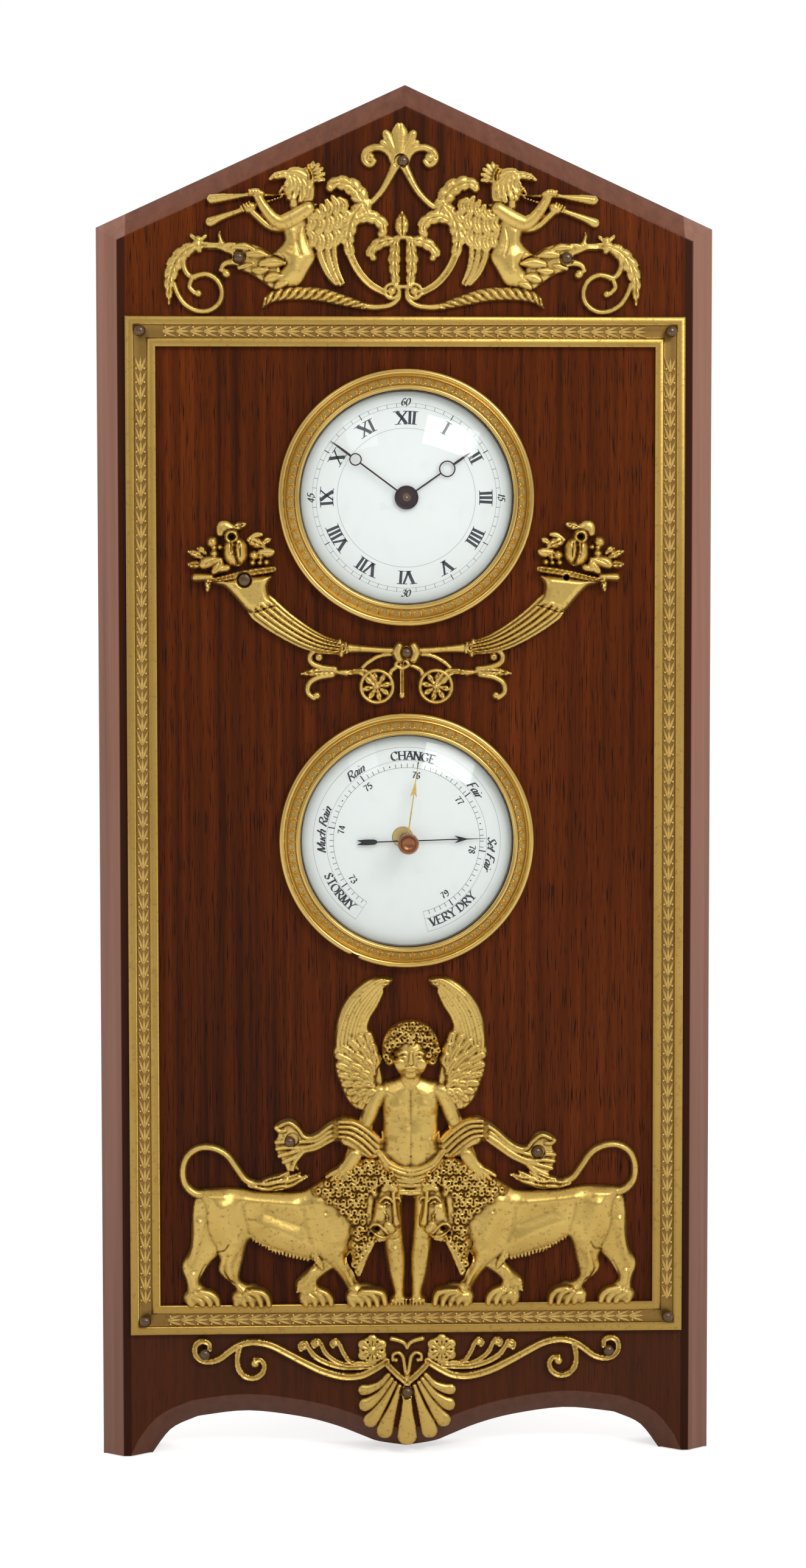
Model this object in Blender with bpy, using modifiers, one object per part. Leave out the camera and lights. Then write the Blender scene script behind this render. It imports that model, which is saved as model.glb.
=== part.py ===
"""Barometer clock: a gabled mahogany board with gilt mounts, a drum clock and an aneroid barometer.

Metres, +Z up. The board faces -Y and the origin is the middle of the floor space that it stands on.
Each group of pieces is modelled in a face frame: x to the right, y up and z towards the viewer, with
z = 0 on the board's face. An empty turns that frame upright.
"""

import math

import bmesh
import bpy
from mathutils import Matrix, Vector

# Board
BOARD_MARGIN = 0.008
GABLE_RISE = 0.039
SHOULDER_MARGIN = 0.0244
BOARD_THICKNESS = 0.016
CHAMFER_WIDTH = 0.0058
CHAMFER_DEPTH = 0.0045
FOOT_WIDTH = 0.0137
ARCH_RISE = 0.0116
SEAT_GAP = 0.0003
OVERRUN = 0.002
WELD = 0.000001
FLATNESS = math.radians(0.5)

# Border strip
BORDER_BOTTOM = 0.0346
BORDER_TOP_MARGIN = 0.0141
BORDER_BAND = 0.00835
BORDER_RELIEF = 0.0026

# Mounts: side of the square that each mount is drawn on, its middle and its lower edge
PEDIMENT_DRAWING_WIDTH = 0.1
PEDIMENT_MIDDLE = -0.0008
PEDIMENT_LOWERING = 0.0056
CORNUCOPIA_DRAWING_WIDTH = 0.1
CORNUCOPIA_RISE = 0.028
LION_DRAWING_WIDTH = 0.1
LION_MIDDLE = 0.0008
LION_RISE = 0.0054
LION_SIDE_SHARE = 0.637
LION_SIDE_CLEARANCE = 0.00385
WING_TIP_SHARE = 0.938
WING_CLEARANCE = 0.0029
APRON_DRAWING_WIDTH = 0.1
SCROLL_RELIEF_SHARE = 0.9
FIGURE_RELIEF_SHARE = 0.5
ROUND_FIGURE_SHARE = 0.035
PAD_RADIUS = 0.0021
PAD_HEIGHT = 0.0016
STROKE_LIFT = 0.0004

# Pins
PIN_HEAD_RADIUS = 0.0016
PIN_HEAD_HEIGHT = 0.0014
PIN_SHANK_RADIUS = 0.0006
PIN_HOLE_RADIUS = 0.00095
PIN_LENGTH = 0.010

# Clock and barometer cases
DIAL_SPACING = 0.0942
DRUM_RADIUS = 0.0305
DRUM_WALL = 0.0008
DRUM_BEHIND = 0.020
FLANGE_RADIUS = 0.0335
FLANGE_THICKNESS = 0.0008
DRUM_HOLE_CLEARANCE = 0.0005
CLAMP_WIDTH = 0.0045
CLAMP_THICKNESS = 0.0025
BEZEL_RADIUS = 0.0353
BEZEL_BORE_RADIUS = 0.0293
BEZEL_SKIRT = 0.0011
BEZEL_HEIGHT = 0.0056
GLASS_THICKNESS = 0.0012
GLASS_EDGE_HEIGHT = 0.0042
GLASS_RISE = 0.0062
DIAL_RADIUS = 0.031
DIAL_THICKNESS = 0.0005
BACK_COVER_THICKNESS = 0.001

# Hands of the clock
HOUR_HAND_LENGTH = 0.0214
HOUR_RING_PLACE = 0.0136
HOUR_RING_RADIUS = 0.00225
HOUR_HAND_LEVEL = 0.0026
MINUTE_HAND_LENGTH = 0.0258
MINUTE_RING_PLACE = 0.0173
MINUTE_RING_RADIUS = 0.0017
MINUTE_HAND_LEVEL = 0.0034
HAND_THICKNESS = 0.0003
HAND_HALF_WIDTH = 0.0004
HAND_RING_BORE_SHARE = 0.55
HOUR_HUB_RADIUS = 0.0032
MINUTE_HUB_RADIUS = 0.0022
COLLET_RADIUS = 0.0013
COLLET_HEIGHT = 0.0012
HOUR_HAND_ANGLE = math.radians(55)
MINUTE_HAND_ANGLE = math.radians(306.6)

# Going train: levels are distances behind the board's face
PLATE_THICKNESS = 0.0015
FRONT_PLATE_LEVEL = 0.0045
BACK_PLATE_LEVEL = 0.020
BACK_PLATE_RADIUS = 0.026
PILLAR_RADIUS = 0.0017
PIVOT_RADIUS = 0.0005
PIVOT_HOLE_RADIUS = 0.0009
ARBOR_RADIUS = 0.0008
WHEEL_THICKNESS = 0.001
TOOTH_TIP_SHARE = 0.65
TOOTH_ROOT_SHARE = 1.15
GREAT_TEETH, CENTRE_PINION_TEETH, GREAT_MODULE = 42, 6, 0.00053
CENTRE_TEETH, THIRD_PINION_TEETH, CENTRE_MODULE = 48, 6, 0.0004
THIRD_TEETH, FOURTH_PINION_TEETH, THIRD_MODULE = 45, 6, 0.00034
FOURTH_TEETH, ESCAPE_PINION_TEETH, FOURTH_MODULE = 60, 6, 0.00023
ESCAPE_TEETH = 15
ESCAPE_RADIUS = 0.0036
BARREL_DIRECTION = math.radians(215)
THIRD_DIRECTION = math.radians(60)
FOURTH_DIRECTION = math.radians(-20)
ESCAPE_DIRECTION = math.radians(-80)
PALLET_DIRECTION = math.radians(-105)
BALANCE_DIRECTION = math.radians(-110)
PALLET_REACH = 0.0052
BALANCE_REACH = 0.0065
BALANCE_RADIUS = 0.0055
BALANCE_RIM = 0.001
COCK_WIDTH = 0.0044
COCK_THICKNESS = 0.0012
BARREL_RADIUS = 0.0098
BARREL_ARBOR_RADIUS = 0.0015
CANNON_TEETH, MINUTE_WHEEL_TEETH, MOTION_MODULE = 10, 30, 0.00036
MINUTE_PINION_TEETH, HOUR_TEETH = 8, 32
MINUTE_WHEEL_DIRECTION = math.radians(-40)
CENTRE_ARBOR_RADIUS = 0.0005
HOLLOW_WALL = 0.0003
CANNON_RADIUS = 0.0010
PIPE_WALL = 0.0006
RUNNING_GAP = 0.0003
KNOB_RADIUS = 0.0045
KNOB_THICKNESS = 0.0022
KNOB_FLUTES = 16
KNOB_FLUTE_DEPTH_SHARE = 0.1
KEY_WING_RADIUS = 0.0034
KEY_THICKNESS = 0.0016
KEY_STEM_RADIUS = 0.0021

# Barometer
PRESSURE_HAND_LENGTH = 0.0218
PRESSURE_TAIL_LENGTH = 0.0137
PRESSURE_HAND_LEVEL = 0.0029
PRESSURE_HAND_ANGLE = math.radians(88.3)
SET_HAND_LENGTH = 0.0214
SET_HAND_LEVEL = 0.0052
SET_HAND_ANGLE = math.radians(8)
SET_HUB_RADIUS = 0.0022
SET_KNOB_RADIUS = 0.00305
SET_KNOB_THICKNESS = 0.0032
SET_KNOB_LEVEL = 0.0123
SET_ARBOR_RADIUS = 0.0006
BUSH_RADIUS = 0.0016
BUSH_FLANGE_RADIUS = 0.0026
BUSH_TOP_RADIUS = 0.0018
BASE_LEVEL = 0.0315
BRIDGE_LEVEL = 0.0065
BRIDGE_HALF_LENGTH = 0.017
BRIDGE_WIDTH = 0.006
CAPSULE_RADIUS = 0.0125
CAPSULE_HEIGHT = 0.0055
CAPSULE_RIDGES = 2
SPRING_WIDTH = 0.010
SPRING_THICKNESS = 0.0014
SPRING_RADIUS = 0.0165
ROCKER_LEVEL = 0.013
ROCKER_RADIUS = 0.0010
ROCKER_LONG_ARM = 0.0065
ROCKER_SHORT_ARM = 0.0052

# Stand
HINGE_DROP = 0.05
KNUCKLE_RADIUS = 0.0026
HINGE_PIN_RADIUS = 0.0009
LEAF_THICKNESS = 0.0012
LEAF_WIDTH = 0.024
LEAF_HEIGHT = 0.011
MIDDLE_KNUCKLE = 0.008
STRUT_FOOT_WIDTH = 0.015
STRUT_REACH = 0.045
STRUT_FACE_DEPTH = 0.00252
SCREW_HEAD_RADIUS = 0.002

ROUND_STEPS = 30
SMALL_STEPS = 12
PIVOT_STEPS = 6
PIN_STEPS = 6
ARCH_SHARES = ((1, 0), (0.93, 0.56), (0.845, 0.82), (0.79, 0.905), (0.62, 1),
               (0.42, 0.845), (0.28, 0.62), (0.17, 0.353), (0.11, 0.215), (0, 0.112))
BORDER_SECTION_SHARES = ((0, 0.55), (0.07, 0.8), (0.22, 0.8), (0.29, 0.55), (0.36, 0.75), (0.51, 1),
                         (0.66, 0.75), (0.73, 0.5), (0.8, 0.72), (0.93, 0.72), (1, 0.5))

# Widths, from the lions between the border's sides
BORDER_WIDTH = 2 * (LION_SIDE_SHARE * LION_DRAWING_WIDTH + LION_MIDDLE + LION_SIDE_CLEARANCE + BORDER_BAND)
BOARD_WIDTH = BORDER_WIDTH + 2 * BOARD_MARGIN

# Heights, each from what stands below it
LION_BOTTOM = BORDER_BOTTOM + LION_RISE
BAROMETER_HEIGHT = LION_BOTTOM + WING_TIP_SHARE * LION_DRAWING_WIDTH + WING_CLEARANCE + BEZEL_RADIUS
CORNUCOPIA_BOTTOM = BAROMETER_HEIGHT + CORNUCOPIA_RISE
CLOCK_HEIGHT = BAROMETER_HEIGHT + DIAL_SPACING
BORDER_TOP = CLOCK_HEIGHT + BEZEL_RADIUS + BORDER_TOP_MARGIN
PEDIMENT_BOTTOM = BORDER_TOP - PEDIMENT_LOWERING
SHOULDER_HEIGHT = BORDER_TOP + SHOULDER_MARGIN
BOARD_HEIGHT = SHOULDER_HEIGHT + GABLE_RISE
HINGE_HEIGHT = BAROMETER_HEIGHT - HINGE_DROP

# Strokes of the mounts: (out from the middle, up, half width), as shares of the drawing.
PEDIMENT_SCROLL_SHARES = (
    ((0.002, 0.46, 0.013), (0.002, 0.52, 0.02), (0.002, 0.577, 0.008)),
    ((0.004, 0.47, 0.008), (0.046, 0.546, 0.014)),
    ((0.006, 0.475, 0.014), (0.035, 0.512, 0.014), (0.075, 0.516, 0.016), (0.108, 0.492, 0.017),
     (0.097, 0.466, 0.012), (0.08, 0.48, 0.009)),
    ((0.012, 0.48, 0.009), (0.03, 0.44, 0.009), (0.046, 0.4, 0.01), (0.08, 0.366, 0.013),
     (0.13, 0.34, 0.017), (0.148, 0.277, 0.016), (0.129, 0.189, 0.012), (0.085, 0.135, 0.01),
     (0.034, 0.124, 0.018), (0.004, 0.114, 0.013)),
    ((0.118, 0.34, 0.014), (0.128, 0.4, 0.015), (0.165, 0.424, 0.015), (0.205, 0.398, 0.009)),
    ((0.125, 0.325, 0.012), (0.07, 0.322, 0.012), (0.05, 0.284, 0.009)),
    ((0.012, 0.118, 0.009), (0.028, 0.088, 0.009), (0.079, 0.078, 0.010), (0.129, 0.088, 0.012),
     (0.22, 0.118, 0.019), (0.316, 0.122, 0.018), (0.381, 0.082, 0.007)),
    ((0.0, 0.24, 0.014), (0.0, 0.3, 0.021), (0.0, 0.337, 0.006)),
    ((0.006, 0.25, 0.012), (0.065, 0.25, 0.012), (0.087, 0.228, 0.01), (0.077, 0.21, 0.008)),
    ((0.014, 0.26, 0.01), (0.014, 0.2, 0.01), (0.017, 0.13, 0.01)),
    ((0.437, 0.25, 0.009), (0.483, 0.264, 0.008), (0.496, 0.287, 0.006)),
    ((0.441, 0.205, 0.011), (0.482, 0.18, 0.012)),
    ((0.44, 0.24, 0.011), (0.53, 0.248, 0.009), (0.558, 0.256, 0.015), (0.6, 0.222, 0.015),
     (0.63, 0.15, 0.014), (0.633, 0.088, 0.006)),
    ((0.575, 0.235, 0.009), (0.596, 0.185, 0.009), (0.564, 0.161, 0.008), (0.522, 0.168, 0.008),
     (0.488, 0.14, 0.008), (0.496, 0.094, 0.008), (0.542, 0.074, 0.008), (0.588, 0.092, 0.008),
     (0.618, 0.13, 0.008)),
    ((0.562, 0.162, 0.008), (0.57, 0.132, 0.008), (0.546, 0.116, 0.01)),
)
PEDIMENT_FIGURE_SHARES = (
    ((0.285, 0.125, 0.03), (0.285, 0.2, 0.05), (0.288, 0.265, 0.036), (0.283, 0.315, 0.033),
     (0.278, 0.35, 0.018), (0.288, 0.38, 0.034), (0.291, 0.435, 0.03)),
    ((0.36, 0.43, 0.008), (0.31, 0.438, 0.024), (0.215, 0.452, 0.02)),
    ((0.28, 0.175, 0.052), (0.368, 0.205, 0.042), (0.413, 0.222, 0.033), (0.453, 0.235, 0.018)),
    ((0.273, 0.333, 0.016), (0.333, 0.322, 0.013), (0.39, 0.382, 0.013)),
    ((0.31, 0.31, 0.012), (0.362, 0.297, 0.012), (0.418, 0.349, 0.011)),
    ((0.32, 0.383, 0.006), (0.518, 0.374, 0.012)),
    ((0.405, 0.352, 0.007), (0.523, 0.309, 0.012)),
    ((0.28, 0.338, 0.014), (0.208, 0.358, 0.02), (0.18, 0.32, 0.031), (0.187, 0.26, 0.036),
     (0.2, 0.21, 0.024), (0.178, 0.15, 0.008)),
)
CORNUCOPIA_SCROLL_SHARES = (
    ((0.355, 0.474, 0.009), (0.47, 0.458, 0.01), (0.57, 0.441, 0.013)),
    ((0.028, 0.226, 0.006), (0.085, 0.222, 0.006), (0.12, 0.185, 0.009)),
    ((0.29, 0.178, 0.005), (0.235, 0.185, 0.015), (0.11, 0.18, 0.01)),
    ((0.19, 0.193, 0.009), (0.233, 0.226, 0.013), (0.263, 0.22, 0.008)),
    ((0.19, 0.178, 0.008), (0.25, 0.168, 0.008), (0.265, 0.135, 0.008), (0.246, 0.117, 0.012)),
    ((0.012, 0.12, 0.0075), (0.012, 0.222, 0.0075)),
    ((0.014, 0.19, 0.008), (0.045, 0.178, 0.009)),
    ((0.38, 0.47, 0.02), (0.46, 0.485, 0.03), (0.545, 0.47, 0.02)),
    ((0.467, 0.48, 0.03), (0.467, 0.52, 0.034), (0.478, 0.57, 0.016)),
    ((0.43, 0.49, 0.01), (0.457, 0.587, 0.006)),
    ((0.5, 0.48, 0.012), (0.58, 0.512, 0.006)),
    ((0.5, 0.5, 0.01), (0.531, 0.543, 0.015)),
    ((0.395, 0.47, 0.012), (0.385, 0.545, 0.007)),
)
CORNUCOPIA_FIGURE_SHARES = (
    ((0.465, 0.455, 0.085), (0.442, 0.42, 0.07), (0.42, 0.388, 0.05), (0.4, 0.362, 0.038),
     (0.342, 0.32, 0.036), (0.283, 0.283, 0.032), (0.225, 0.255, 0.024), (0.179, 0.251, 0.019),
     (0.165, 0.25, 0.009), (0.035, 0.243, 0.0085), (-0.002, 0.241, 0.012)),
)
CORNUCOPIA_DISC_SHARES = ((0.081, 0.145, 0.051), (0.002, 0.241, 0.028))
LION_SCROLL_SHARES = (
    ((0.57, 0.325, 0.012), (0.606, 0.345, 0.011), (0.624, 0.4, 0.011), (0.609, 0.452, 0.011),
     (0.56, 0.468, 0.011), (0.504, 0.447, 0.011), (0.463, 0.395, 0.011), (0.422, 0.366, 0.013),
     (0.36, 0.37, 0.018), (0.305, 0.378, 0.009)),
    ((0.126, 0.49, 0.02), (0.186, 0.515, 0.026), (0.25, 0.488, 0.022), (0.306, 0.51, 0.024),
     (0.346, 0.49, 0.03), (0.34, 0.43, 0.024), (0.345, 0.385, 0.016)),
    ((0.07, 0.62, 0.03), (0.13, 0.545, 0.026), (0.165, 0.465, 0.022), (0.215, 0.405, 0.018)),
    ((0.037, 0.42, 0.045), (0.036, 0.33, 0.04), (0.033, 0.22, 0.03), (0.027, 0.12, 0.02),
     (0.025, 0.065, 0.015), (0.03, 0.052, 0.017)),
)
LION_FIGURE_SHARES = (
    ((0.536, 0.27, 0.062), (0.466, 0.272, 0.07), (0.386, 0.265, 0.072), (0.306, 0.255, 0.08),
     (0.236, 0.28, 0.09), (0.166, 0.31, 0.105), (0.091, 0.32, 0.085), (0.051, 0.28, 0.045)),
    ((0.501, 0.26, 0.065), (0.461, 0.195, 0.045), (0.506, 0.14, 0.021), (0.51, 0.11, 0.018),
     (0.473, 0.06, 0.018), (0.4, 0.054, 0.02)),
    ((0.576, 0.28, 0.035), (0.59, 0.205, 0.03), (0.618, 0.14, 0.019), (0.598, 0.085, 0.019),
     (0.59, 0.058, 0.019), (0.53, 0.054, 0.02)),
    ((0.216, 0.24, 0.05), (0.205, 0.16, 0.03), (0.16, 0.095, 0.022), (0.126, 0.056, 0.02),
     (0.08, 0.054, 0.02)),
    ((0.271, 0.17, 0.03), (0.3, 0.11, 0.021), (0.29, 0.06, 0.02), (0.23, 0.054, 0.02)),
    ((0.126, 0.21, 0.055), (0.143, 0.13, 0.014)),
    ((0.0, 0.82, 0.02), (0.0, 0.765, 0.072), (0.0, 0.705, 0.046), (0.0, 0.66, 0.024),
     (0.0, 0.6, 0.075), (0.0, 0.54, 0.07), (0.0, 0.43, 0.078)),
    ((0.08, 0.58, 0.02), (0.13, 0.6, 0.028), (0.141, 0.66, 0.05), (0.146, 0.74, 0.056),
     (0.15, 0.81, 0.046), (0.126, 0.87, 0.033), (0.08, 0.915, 0.016), (0.055, 0.928, 0.008)),
)
APRON_SCROLL_SHARES = (
    ((0.545, 0.31, 0.007), (0.565, 0.328, 0.008), (0.59, 0.302, 0.008), (0.565, 0.268, 0.008),
     (0.525, 0.268, 0.008), (0.483, 0.302, 0.009), (0.435, 0.322, 0.011), (0.37, 0.314, 0.011),
     (0.237, 0.245, 0.01), (0.156, 0.217, 0.01), (0.105, 0.222, 0.01), (0.06, 0.25, 0.01),
     (0.0, 0.205, 0.01)),
    ((0.472, 0.31, 0.01), (0.472, 0.255, 0.009), (0.445, 0.222, 0.009), (0.41, 0.226, 0.009),
     (0.4, 0.26, 0.01), (0.42, 0.262, 0.014)),
    ((0.07, 0.25, 0.01), (0.2, 0.268, 0.009), (0.291, 0.302, 0.014)),
    ((0.07, 0.255, 0.01), (0.252, 0.312, 0.013)),
    ((0.07, 0.26, 0.01), (0.2, 0.312, 0.013)),
    ((0.045, 0.215, 0.011), (0.05, 0.27, 0.011), (0.035, 0.322, 0.011), (0.0, 0.322, 0.01)),
    ((0.0, 0.195, 0.01), (0.0, 0.1, 0.014), (0.0, 0.055, 0.022)),
    ((0.004, 0.19, 0.008), (0.06, 0.08, 0.02)),
    ((0.006, 0.19, 0.008), (0.099, 0.102, 0.018)),
    ((0.008, 0.19, 0.008), (0.118, 0.145, 0.016)),
    ((0.008, 0.19, 0.008), (0.118, 0.188, 0.012)),
)
APRON_DISC_SHARES = ((0.0965, 0.3, 0.04),)
PEDIMENT_PIN_SHARES = ((0, 0.475), (-0.448, 0.214), (0.448, 0.214))
CORNUCOPIA_PIN_SHARES = ((-0.444, 0.4375), (0, 0.2375))
EMPTY_HOLE_SHARES = ((0.444, 0.4375),)
LION_PIN_SHARES = ((-0.333, 0.485), (0.354, 0.452))
APRON_PIN_SHARES = ((-0.562, 0.292), (0, 0.18), (0.562, 0.292))
# Across the bezel from its bore, and up from the board
BEZEL_SECTION_SHARES = ((0, 0.9), (0.1, 1), (0.25, 0.88), (0.667, 0.5), (0.833, 0.6), (0.938, 0.5),
                        (1, 0.333))
# Right-hand edges of the straight hands: across as shares of the half width, along as shares of the length
PRESSURE_TAIL_SHARES = ((0, 0.72), (2.8, 1), (3.6, 0.9), (1, 0.6))
PRESSURE_HEAD_SHARES = ((1, 0.78), (2.4, 0.8), (0, 1))
SET_HEAD_SHARES = ((1, 0.84), (2.5, 0.85), (0, 1))
PALLET_LEVER_SHARES = ((-1.3, 0.7), (-1.3, 0.4), (-0.31, -0.15), (-0.15, -1.4), (0.15, -1.4), (0.31, -0.15),
                       (1.3, 0.4), (1.3, 0.7), (0.31, 0.31), (-0.31, 0.31))

COLOURS = {
    "mahogany": ((0.16, 0.045, 0.025), 0.35, 0.0),
    "gilt": ((0.72, 0.5, 0.2), 0.35, 1.0),
    "brass": ((0.68, 0.5, 0.24), 0.3, 1.0),
    "steel": ((0.35, 0.34, 0.33), 0.3, 1.0),
    "blued": ((0.03, 0.035, 0.05), 0.35, 1.0),
    "enamel": ((0.85, 0.86, 0.86), 0.3, 0.0),
    "glass": ((0.9, 0.95, 0.95), 0.05, 0.0),
    "bronze": ((0.3, 0.2, 0.12), 0.4, 1.0),
}


def remove_everything():
    """Empty the scene, keeping the file that this runs from."""
    for thing in list(bpy.data.objects):
        bpy.data.objects.remove(thing, do_unlink=True)


def evaluated_mesh(data, modifiers=()):
    """A mesh made from a mesh or curve with modifiers applied, its doubles welded and normals outward."""
    holder = bpy.data.objects.new("holder", data)
    bpy.context.scene.collection.objects.link(holder)
    for kind, values in modifiers:
        modifier = holder.modifiers.new(kind, kind)
        for name, value in values.items():
            setattr(modifier, name, value)
    bpy.context.view_layer.update()
    evaluated = holder.evaluated_get(bpy.context.evaluated_depsgraph_get())
    mesh = bpy.data.meshes.new_from_object(evaluated)
    bpy.data.objects.remove(holder, do_unlink=True)
    shape = bmesh.new()
    shape.from_mesh(mesh)
    bmesh.ops.remove_doubles(shape, verts=shape.verts, dist=WELD)
    bmesh.ops.dissolve_degenerate(shape, edges=shape.edges, dist=WELD)
    bmesh.ops.recalc_face_normals(shape, faces=shape.faces)
    shape.to_mesh(mesh)
    shape.free()
    return mesh


def turned(profile, steps=ROUND_STEPS, ring=False):
    """A shape turned round z from (radius, height) points that run down its outer side."""
    mesh = bpy.data.meshes.new("profile")
    count = len(profile)
    edges = [(i, i + 1) for i in range(count - 1)]
    if ring:
        edges.append((count - 1, 0))
    mesh.from_pydata([(radius, 0, height) for radius, height in profile], edges, [])
    screw = {"axis": "Z", "angle": math.tau, "steps": steps, "render_steps": steps,
             "use_merge_vertices": True, "merge_threshold": WELD, "use_smooth_shade": True}
    return evaluated_mesh(mesh, [("SCREW", screw)])


def cylinder(radius, low, high, place=(0, 0), steps=SMALL_STEPS):
    """A cylinder along z."""
    mesh = turned([(0, high), (radius, high), (radius, low), (0, low)], steps)
    return moved(mesh, Matrix.Translation((*place, 0)))


def tube(inner, outer, low, high, steps=SMALL_STEPS):
    """A pipe along z."""
    return turned([(outer, high), (outer, low), (inner, low), (inner, high)], steps, ring=True)


def flat(outlines, low, high):
    """A flat shape between two heights: the first outline is its edge and the others are holes."""
    curve = bpy.data.curves.new("outline", "CURVE")
    curve.dimensions = "2D"
    curve.fill_mode = "BOTH"
    curve.extrude = (high - low) / 2
    for outline in outlines:
        spline = curve.splines.new("POLY")
        spline.points.add(len(outline) - 1)
        for point, (x, y) in zip(spline.points, outline):
            point.co = (x, y, 0, 1)
        spline.use_cyclic_u = True
    return moved(evaluated_mesh(curve), Matrix.Translation((0, 0, (low + high) / 2)))


def stroke(points, relief_share, resolution, lift):
    """A round tapering rod through (x, y, half width) points, flattened towards the board."""
    widest = max(width for _, _, width in points)
    curve = bpy.data.curves.new("stroke", "CURVE")
    curve.dimensions = "3D"
    curve.bevel_depth = widest
    curve.bevel_resolution = resolution
    curve.use_fill_caps = True
    spline = curve.splines.new("POLY")
    spline.points.add(len(points) - 1)
    for point, (x, y, width) in zip(spline.points, points):
        point.co = (x, y, 0, 1)
        point.radius = width / widest
    mesh = evaluated_mesh(curve)
    return moved(mesh, Matrix.Translation((0, 0, lift)) @ Matrix.Diagonal((1, 1, relief_share, 1)))


def block(low, high):
    """A box between two corners."""
    shape = bmesh.new()
    bmesh.ops.create_cube(shape, size=1)
    for vert in shape.verts:
        vert.co = [a if c < 0 else b for a, b, c in zip(low, high, vert.co)]
    mesh = bpy.data.meshes.new("block")
    shape.to_mesh(mesh)
    shape.free()
    return mesh


def moved(mesh, matrix):
    """The mesh after a transform."""
    mesh.transform(matrix)
    return mesh


def joined(meshes):
    """Several meshes as one, without a union."""
    shape = bmesh.new()
    for mesh in meshes:
        shape.from_mesh(mesh)
    mesh = bpy.data.meshes.new("joined")
    shape.to_mesh(mesh)
    shape.free()
    return mesh


def combined(operation, mesh, others):
    """A union or difference of one mesh with others, which may overlap each other."""
    other = bpy.data.objects.new("other", joined(others))
    bpy.context.scene.collection.objects.link(other)
    boolean = {"operation": operation, "object": other, "solver": "EXACT", "use_self": True}
    result = evaluated_mesh(mesh, [("BOOLEAN", boolean)])
    bpy.data.objects.remove(other, do_unlink=True)
    shape = bmesh.new()
    shape.from_mesh(result)
    bmesh.ops.dissolve_limit(shape, angle_limit=FLATNESS, verts=shape.verts, edges=shape.edges)
    shape.to_mesh(result)
    shape.free()
    return result


def fused(first, *others):
    """The union of meshes."""
    return combined("UNION", first, others)


def cut(mesh, *cutters):
    """The mesh without its cutters."""
    return combined("DIFFERENCE", mesh, cutters)


def circle(radius, steps=SMALL_STEPS, place=(0, 0)):
    """Points round a circle, anticlockwise."""
    turns = [math.tau * step / steps for step in range(steps)]
    return [(place[0] + radius * math.cos(turn), place[1] + radius * math.sin(turn)) for turn in turns]


def polar(radius, direction):
    """A point at a distance and a direction from the x axis."""
    return Vector((radius * math.cos(direction), radius * math.sin(direction)))


def smooth_through(points, steps):
    """A curve through points, with extra points between each two."""
    ends = [points[0], *points, points[-1]]
    result = []
    for a, b, c, d in zip(ends, ends[1:], ends[2:], ends[3:]):
        for step in range(steps):
            t = step / steps
            result.append(tuple(
                ((2 * q) + (r - p) * t + (2 * p - 5 * q + 4 * r - s) * t * t
                 + (3 * q - p - 3 * r + s) * t ** 3) / 2 for p, q, r, s in zip(a, b, c, d)))
    return [*result, points[-1]]


def inset(outline, width):
    """An anticlockwise outline moved inwards by a width."""
    count = len(outline)
    result = []
    for i, here in enumerate(outline):
        before = Vector(here) - Vector(outline[i - 1])
        after = Vector(outline[(i + 1) % count]) - Vector(here)
        normals = [Vector((-side.y, side.x)).normalized() for side in (before, after)]
        middle = normals[0] + normals[1]
        result.append(tuple(Vector(here) + middle * (width / (1 + normals[0].dot(normals[1])))))
    return result


def lofted(rings):
    """A closed solid through rings of (x, y, z) points, from the back to the front."""
    shape = bmesh.new()
    rows = [[shape.verts.new(point) for point in ring] for ring in rings]
    count = len(rings[0])
    for low, high in zip(rows, rows[1:]):
        for i in range(count):
            j = (i + 1) % count
            shape.faces.new((low[i], low[j], high[j], high[i]))
    shape.faces.new(rows[-1])
    shape.faces.new(reversed(rows[0]))
    bmesh.ops.triangulate(shape, faces=shape.faces)
    mesh = bpy.data.meshes.new("loft")
    shape.to_mesh(mesh)
    shape.free()
    return mesh


def board_outline():
    """The board's edge, anticlockwise from the outer corner of its left foot."""
    half = BOARD_WIDTH / 2
    span = half - FOOT_WIDTH
    arch = smooth_through([(x * span, y * ARCH_RISE) for x, y in ARCH_SHARES], 2)
    left = [(-x, y) for x, y in arch]
    right = arch[-2::-1]
    top = [(half, 0), (half, SHOULDER_HEIGHT), (0, BOARD_HEIGHT), (-half, SHOULDER_HEIGHT)]
    return [(-half, 0), *left, *right, *top]


def pin_places():
    """Every pin's name and place in the face frame."""
    side = BORDER_WIDTH / 2 - BORDER_BAND / 2
    bottom = BORDER_BOTTOM + BORDER_BAND / 2
    top = BORDER_TOP - BORDER_BAND / 2
    groups = {"border": [(-side, top), (side, top), (-side, bottom), (side, bottom)]}
    drawings = (("pediment", PEDIMENT_PIN_SHARES, PEDIMENT_DRAWING_WIDTH, PEDIMENT_MIDDLE, PEDIMENT_BOTTOM),
                ("cornucopia", CORNUCOPIA_PIN_SHARES, CORNUCOPIA_DRAWING_WIDTH, 0, CORNUCOPIA_BOTTOM),
                ("lion", LION_PIN_SHARES, LION_DRAWING_WIDTH, LION_MIDDLE, LION_BOTTOM),
                ("apron", APRON_PIN_SHARES, APRON_DRAWING_WIDTH, 0, 0))
    for name, shares, drawing, middle, bottom in drawings:
        groups[name] = [(middle + x * drawing, bottom + y * drawing) for x, y in shares]
    return groups


def empty_holes():
    """Places of pins that are missing."""
    return [(x * CORNUCOPIA_DRAWING_WIDTH, CORNUCOPIA_BOTTOM + y * CORNUCOPIA_DRAWING_WIDTH)
            for x, y in EMPTY_HOLE_SHARES]


def pin_hole_cutters(places):
    """Cylinders that clear the pins' shanks through the mounts and into the board."""
    depth = PIN_LENGTH + OVERRUN
    return [cylinder(PIN_HOLE_RADIUS, -depth, BORDER_RELIEF + OVERRUN, place, PIN_STEPS)
            for place in places]


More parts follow.
